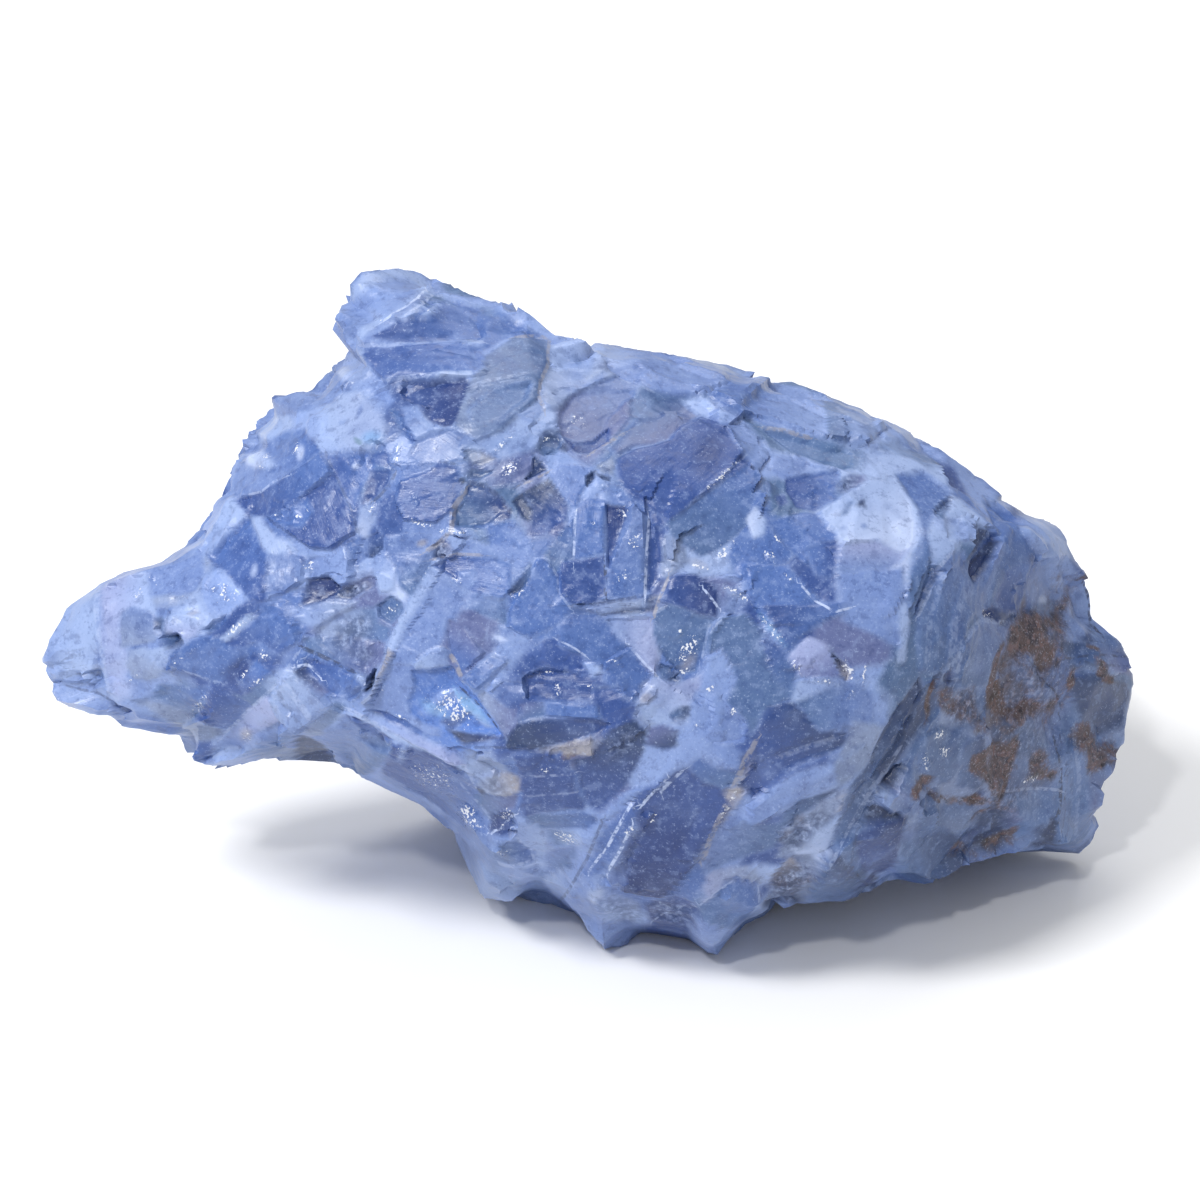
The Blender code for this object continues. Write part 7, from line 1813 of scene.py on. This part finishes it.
def mesh_from(name, surface, colours_as, vectors_as):
    """A mesh of triangles with its point colours and point vectors stored as attributes."""
    mesh = bpy.data.meshes.new(name)
    places, faces = surface["places"], surface["faces"]
    mesh.vertices.add(len(places))
    mesh.vertices.foreach_set("co", places.astype(np.float32).ravel())
    mesh.loops.add(faces.size)
    mesh.loops.foreach_set("vertex_index", faces.astype(np.int32).ravel())
    mesh.polygons.add(len(faces))
    mesh.polygons.foreach_set("loop_start", np.arange(0, faces.size, 3, dtype=np.int32))
    mesh.update(calc_edges=True)
    for title, values in colours_as.items():
        layer = mesh.attributes.new(title, "FLOAT_COLOR", "POINT")
        rgba = np.concatenate([values, np.ones((len(values), 1))], axis=1)
        layer.data.foreach_set("color", rgba.astype(np.float32).ravel())
    for title, values in vectors_as.items():
        layer = mesh.attributes.new(title, "FLOAT_VECTOR", "POINT")
        layer.data.foreach_set("vector", values.astype(np.float32).ravel())
    return mesh


def stone_material(colours):
    """Cloudy blue calcite: painted tones with clouds, fibres, white flecks of painted glints, rust and wet gloss."""
    material = bpy.data.materials.new("cloudy blue calcite")
    material.use_nodes = True
    nodes, links = material.node_tree.nodes, material.node_tree.links
    shader = nodes["Principled BSDF"]

    def add(kind, **inputs):
        node = nodes.new(kind)
        for socket, value in inputs.items():
            socket = socket.replace("_", " ")
            if isinstance(value, bpy.types.NodeSocket):
                links.new(value, node.inputs[socket])
            else:
                node.inputs[socket].default_value = value
        return node

    def maths(operation, first, second=0.5, third=0.5):
        node = nodes.new("ShaderNodeMath")
        node.operation = operation
        for number, value in enumerate((first, second, third)):
            if isinstance(value, bpy.types.NodeSocket):
                links.new(value, node.inputs[number])
            else:
                node.inputs[number].default_value = value
        return node.outputs[0]

    def between(low, high, value, to_low=0.0, to_high=1.0):
        node = nodes.new("ShaderNodeMapRange")
        node.interpolation_type = "SMOOTHSTEP"
        for socket, number in (("From Min", low), ("From Max", high), ("To Min", to_low), ("To Max", to_high)):
            node.inputs[socket].default_value = number
        links.new(value, node.inputs["Value"])
        return node.outputs["Result"]

    def blended(kind, share, first, second):
        node = nodes.new("ShaderNodeMix")
        node.data_type = "RGBA"
        node.blend_type = kind
        for socket, value in ((0, share), (6, first), (7, second)):
            if isinstance(value, bpy.types.NodeSocket):
                links.new(value, node.inputs[socket])
            else:
                node.inputs[socket].default_value = value
        return node.outputs[2]

    def stored(title):
        node = nodes.new("ShaderNodeAttribute")
        node.attribute_name = title
        return node

    def noise(where, size, detail=3.0, roughness=0.55):
        node = add("ShaderNodeTexNoise", Vector=where, Scale=1 / size, Detail=detail, Roughness=roughness)
        return node.outputs["Fac"]

    place = nodes.new("ShaderNodeTexCoord").outputs["Object"]
    paint = stored("paint").outputs["Color"]
    marks = nodes.new("ShaderNodeSeparateColor")
    links.new(stored("marks").outputs["Color"], marks.inputs["Color"])
    glints, crush, rust = marks.outputs
    local = stored("grain_place").outputs["Vector"]
    stretched = add("ShaderNodeMapping", Vector=local)
    stretched.inputs["Scale"].default_value = (0.12, 1.0, 0.0)
    fibre = noise(stretched.outputs["Vector"], 0.0009, 4.0, 0.65)
    inner = add("ShaderNodeSeparateXYZ", Vector=local).outputs["Z"]
    fibre_share = maths("MULTIPLY", between(0.35, 0.75, noise(place, 0.006, 1.0)), inner)

    cloudy = noise(place, 0.004, 4.0)
    fine = noise(place, 0.0012, 4.0, 0.65)
    base = blended("MIX", between(0.5, 0.8, cloudy, 0.0, 0.18), paint, tuple(colours.pale) + (1.0,))
    base = blended("MIX", between(0.5, 0.25, cloudy, 0.0, 0.30), base, tuple(colours.deep) + (1.0,))
    fibre_light = between(0.5, 0.75, fibre)
    base = blended("MIX", maths("MULTIPLY", maths("MULTIPLY", fibre_light, fibre_share), 0.17), base, tuple(colours.pale) + (1.0,))
    fibre_dark = between(0.45, 0.25, fibre)
    base = blended("MIX", maths("MULTIPLY", maths("MULTIPLY", fibre_dark, fibre_share), 0.26), base, tuple(colours.deep) + (1.0,))
    base = blended("MIX", between(0.52, 0.66, fine, 0.0, 0.22), base, tuple(colours.pale) + (1.0,))
    base = blended("MIX", between(0.48, 0.34, fine, 0.0, 0.28), base, tuple(colours.navy) + (1.0,))

    # Small flat facets of the break: each has a tone and a tilt of its own
    laid = add("ShaderNodeMapping", Vector=local)
    laid.inputs["Scale"].default_value = (0.5, 1.0, 0.0)
    facet = nodes.new("ShaderNodeTexVoronoi")
    facet.voronoi_dimensions = "2D"
    facet.distance = "CHEBYCHEV"
    facet.inputs["Scale"].default_value = 1 / 0.0019
    links.new(laid.outputs["Vector"], facet.inputs["Vector"])
    pick = nodes.new("ShaderNodeSeparateColor")
    links.new(facet.outputs["Color"], pick.inputs["Color"])
    facet_share = maths("MULTIPLY", between(0.40, 0.62, noise(place, 0.005, 1.0), 0.15, 1.0), inner)
    lighter = maths("MULTIPLY", between(0.68, 0.72, pick.outputs[0], 0.0, 0.26), facet_share)
    darker = maths("MULTIPLY", between(0.34, 0.30, pick.outputs[0], 0.0, 0.32), facet_share)
    base = blended("MIX", lighter, base, tuple(colours.pale) + (1.0,))
    base = blended("MIX", darker, base, tuple(colours.deep) + (1.0,))
    from_middle = nodes.new("ShaderNodeVectorMath")
    from_middle.operation = "SUBTRACT"
    links.new(laid.outputs["Vector"], from_middle.inputs[0])
    links.new(facet.outputs["Position"], from_middle.inputs[1])
    leaning = nodes.new("ShaderNodeVectorMath")
    leaning.operation = "SUBTRACT"
    links.new(facet.outputs["Color"], leaning.inputs[0])
    leaning.inputs[1].default_value = (0.5, 0.5, 0.5)
    tilt = nodes.new("ShaderNodeVectorMath")
    tilt.operation = "DOT_PRODUCT"
    links.new(from_middle.outputs["Vector"], tilt.inputs[0])
    links.new(leaning.outputs["Vector"], tilt.inputs[1])
    facet_tilt = maths("MULTIPLY", tilt.outputs["Value"], maths("MULTIPLY", facet_share, 1300.0))

    # Hairlines of the cleavage, along the grain and slanted across it
    for scales, strength in (((0.03, 1.0, 0.0), 0.26), ((1.0, 0.06, 0.0), 0.10)):
        drawn_out = add("ShaderNodeMapping", Vector=local)
        drawn_out.inputs["Scale"].default_value = scales
        hair = noise(drawn_out.outputs["Vector"], 0.0011, 2.0, 0.5)
        hairline = maths("MULTIPLY", between(0.585, 0.60, hair), between(0.66, 0.63, hair))
        hairline = maths("MULTIPLY", hairline, between(0.42, 0.55, cloudy, 0.0, strength))
        hairline = maths("MULTIPLY", hairline, inner)
        base = blended("MIX", hairline, base, tuple(colours.pale) + (1.0,))

    # Thin lines: dark seams and cracks, painted shade in the folds, warm rims, and white veins and painted glints,
    # each a band about its middle
    reaches = add("ShaderNodeSeparateXYZ", Vector=stored("line_reach").outputs["Vector"])
    strengths = nodes.new("ShaderNodeSeparateColor")
    links.new(stored("line_strength").outputs["Color"], strengths.inputs["Color"])
    broken = between(0.38, 0.56, noise(place, 0.0007, 2.0), 0.08, 1.0)
    for number, line_tone in ((1, colours.dark), (2, colours.tan), (0, colours.white)):
        band = between(0.62, 0.30, maths("ABSOLUTE", reaches.outputs[number]))
        band = maths("MULTIPLY", maths("MULTIPLY", band, strengths.outputs[number]), broken)
        base = blended("MIX", band, base, tuple(line_tone) + (1.0,))

    # White dust specks everywhere, and dense bright flecks where the break glitters: painted highlights, on top of
    # the glints' real gloss and bumps
    speck = noise(place, 0.0003, 2.0, 0.8)
    base = blended("MIX", between(0.45, 0.30, speck, 0.0, 0.16), base, tuple(colours.navy) + (1.0,))
    dust = between(0.60, 0.72, speck, 0.0, 0.36)
    base = blended("MIX", dust, base, tuple(colours.white) + (1.0,))
    glint_speck_noise = noise(place, 0.00042, 2.0, 0.7)
    glint_speck_level = maths("ADD", glint_speck_noise, maths("MULTIPLY", glints, 0.22))
    flecks = maths("MULTIPLY", between(0.72, 0.79, glint_speck_level), between(0.05, 0.3, glints))
    base = blended("MIX", flecks, base, (0.95, 0.93, 0.95, 1.0))

    # Crushed ground: grey and white crumbs
    crumb = noise(place, 0.0008, 3.0, 0.6)
    crumbs = blended("MIX", between(0.42, 0.62, crumb), tuple(colours.slate) + (1.0,), tuple(colours.mist) + (1.0,))
    crumbs = blended("MIX", between(0.60, 0.68, crumb), crumbs, tuple(colours.white) + (1.0,))
    base = blended("MIX", maths("MULTIPLY", crush, 0.75), base, crumbs)

    # Rust: a thin mottled film, dark in its pits and tan where it thins
    mottle = noise(place, 0.0015, 6.0, 0.78)
    rust_sum = maths("ADD", maths("MULTIPLY", rust, 0.75), maths("MULTIPLY", mottle, 1.3))
    rust_level = between(0.82, 1.40, rust_sum, 0.0, 0.88)
    rust_level = maths("MULTIPLY", rust_level, between(0.02, 0.22, rust))
    rust_tone = blended("MIX", between(0.36, 0.52, fine), (0.050, 0.034, 0.032, 1.0), tuple(colours.rust) + (1.0,))
    rust_tone = blended("MIX", between(0.50, 0.62, crumb, 0.0, 0.6), rust_tone, tuple(colours.russet) + (1.0,))
    rust_tone = blended("MIX", between(0.55, 0.68, speck, 0.0, 0.7), rust_tone, tuple(colours.tan) + (1.0,))
    base = blended("MIX", rust_level, base, rust_tone)
    base = blended("MULTIPLY", 1.0, base, tuple(colours.depth) + (1.0,))
    links.new(base, shader.inputs["Base Color"])

    roughness = between(0.35, 0.65, fine, 0.30, 0.45)
    roughness = maths("ADD", roughness, maths("MULTIPLY", crush, 0.25))
    roughness = maths("ADD", roughness, maths("MULTIPLY", rust_level, 0.4))
    roughness = maths("SUBTRACT", roughness, maths("MULTIPLY", glints, 0.2))
    links.new(roughness, shader.inputs["Roughness"])

    facets = nodes.new("ShaderNodeTexVoronoi")
    facets.inputs["Scale"].default_value = 1 / 0.0011
    links.new(place, facets.inputs["Vector"])
    facet_height = maths("MULTIPLY", facets.outputs["Distance"], glints)
    ground = maths("ADD", maths("MULTIPLY", fine, 0.45), maths("MULTIPLY", fibre, 0.42))
    ground = maths("ADD", ground, maths("MULTIPLY", facet_height, 1.2))
    ground = maths("ADD", ground, facet_tilt)
    ground = maths("ADD", ground, maths("MULTIPLY", maths("MULTIPLY", crumb, crush), 1.5))
    bump = add("ShaderNodeBump", Height=ground, Strength=0.55, Distance=0.00025)
    links.new(bump.outputs["Normal"], shader.inputs["Normal"])

    shader.inputs["IOR"].default_value = 1.5
    return material


def soft_panel(name, power, width, place, target):
    """A square area light that looks from its place to its target."""
    light = bpy.data.lights.new(name, "AREA")
    light.energy = power
    light.size = width
    lamp = bpy.data.objects.new(name, light)
    bpy.context.scene.collection.objects.link(lamp)
    lamp.location = place
    look = np.array(target) - np.array(place)
    lamp.rotation_euler = (
        math.atan2(math.hypot(look[0], look[1]), -look[2]),
        0.0,
        math.atan2(look[1], look[0]) - math.pi / 2,
    )
    return lamp


class CALCITE_OT_stone(bpy.types.Operator):
    """Make the finished stone in place of the plain solid"""

    bl_idname = "calcite.stone"
    bl_label = "Calcite stone"

    def execute(self, context):
        scene = context.scene
        surface = stone_surface(scene.stone_shape, scene.stone_colours)
        masks = surface["masks"]
        marks = np.stack([masks["glints"], masks["crush"], masks["rust"]], axis=-1)
        colours_as = {"paint": surface["paint"], "marks": marks, "line_strength": surface["line_strength"]}
        vectors_as = {"grain_place": surface["local"] * MM, "line_reach": surface["line_reach"]}
        mesh = mesh_from("calcite_stone", surface, colours_as, vectors_as)
        mesh.set_sharp_from_angle(angle=scene.stone_shape.sharpness)
        mesh.materials.append(stone_material(scene.stone_colours))
        stone = bpy.data.objects.new("calcite_stone", mesh)
        scene.collection.objects.link(stone)
        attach(stone, "root")
        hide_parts(STONE)
        return {"FINISHED"}


class CALCITE_OT_stage(bpy.types.Operator):
    """Make the pale floor, the soft light and the camera"""

    bl_idname = "calcite.stage"
    bl_label = "Floor, light and camera"

    def execute(self, context):
        scene = context.scene
        settings = scene.stage_settings
        mesh = bpy.data.meshes.new("floor")
        half = 2.5
        mesh.from_pydata([(-half, -half, 0), (half, -half, 0), (half, half, 0), (-half, half, 0)], [], [(0, 1, 2, 3)])
        floor = bpy.data.objects.new("floor", mesh)
        scene.collection.objects.link(floor)
        material = bpy.data.materials.new("pale floor")
        material.use_nodes = True
        shader = material.node_tree.nodes["Principled BSDF"]
        shader.inputs["Base Color"].default_value = tuple(settings.floor_colour) + (1.0,)
        shader.inputs["Roughness"].default_value = 0.9
        shader.inputs["Specular IOR Level"].default_value = 0.0
        mesh.materials.append(material)

        world = bpy.data.worlds.new("soft room")
        scene.world = world
        world.use_nodes = True
        world.node_tree.nodes["Background"].inputs["Color"].default_value = (0.97, 0.98, 1.0, 1.0)
        world.node_tree.nodes["Background"].inputs["Strength"].default_value = settings.room_light
        soft_panel("key light", settings.key_power, 0.20, (-0.42, -0.28, 0.70), (0, 0, 0.03))
        soft_panel("top light", settings.key_power * 0.45, 0.5, (0.10, 0.42, 0.80), (0, 0, 0.03))
        soft_panel("glint light", settings.key_power * 0.35, 0.05, (-0.20, -0.62, 0.75), (0, 0, 0.03))

        camera = bpy.data.cameras.new("camera")
        camera.lens = settings.lens
        camera.sensor_width = 36.0
        camera.clip_start = 0.01
        eye = bpy.data.objects.new("camera", camera)
        scene.collection.objects.link(eye)
        across, up, near = 1.44, 4.42, EYE_DISTANCE
        behind = up * math.sin(LEAN_BACK) - near * math.cos(LEAN_BACK)
        above = up * math.cos(LEAN_BACK) + near * math.sin(LEAN_BACK)
        drop = HEART[1] * math.cos(LEAN_BACK) - REST_DROP
        eye.location = ((across - BOX_MIDDLE[0]) * MM, (behind - BOX_MIDDLE[1]) * MM, (above - drop) * MM)
        eye.rotation_euler = (math.pi / 2 - LEAN_BACK, 0.0, 0.0)
        scene.camera = eye
        scene.view_settings.view_transform = "Standard"
        return {"FINISHED"}


class CALCITE_PT_panel(bpy.types.Panel):
    """Lists the pieces and their settings"""

    bl_idname = "CALCITE_PT_panel"
    bl_label = "Blue calcite"
    bl_space_type = "VIEW_3D"
    bl_region_type = "UI"
    bl_category = "Calcite"

    def draw(self, context):
        scene = context.scene
        for settings in (scene.stone_shape, scene.stone_colours, scene.stage_settings):
            for name in settings.__annotations__:
                self.layout.prop(settings, name)
        for operator in (CALCITE_OT_stone, CALCITE_OT_stage):
            self.layout.operator(operator.bl_idname)


CLASSES = (StoneShape, StoneColours, StageSettings, CALCITE_OT_stone, CALCITE_OT_stage, CALCITE_PT_panel)


def register():
    for item in CLASSES:
        bpy.utils.register_class(item)
    bpy.types.Scene.stone_shape = bpy.props.PointerProperty(type=StoneShape)
    bpy.types.Scene.stone_colours = bpy.props.PointerProperty(type=StoneColours)
    bpy.types.Scene.stage_settings = bpy.props.PointerProperty(type=StageSettings)


def unregister():
    del bpy.types.Scene.stage_settings
    del bpy.types.Scene.stone_colours
    del bpy.types.Scene.stone_shape
    for item in reversed(CLASSES):
        bpy.utils.unregister_class(item)


def main():
    register()
    bpy.ops.calcite.stone()
    bpy.ops.calcite.stage()


if __name__ == "__main__":
    main()
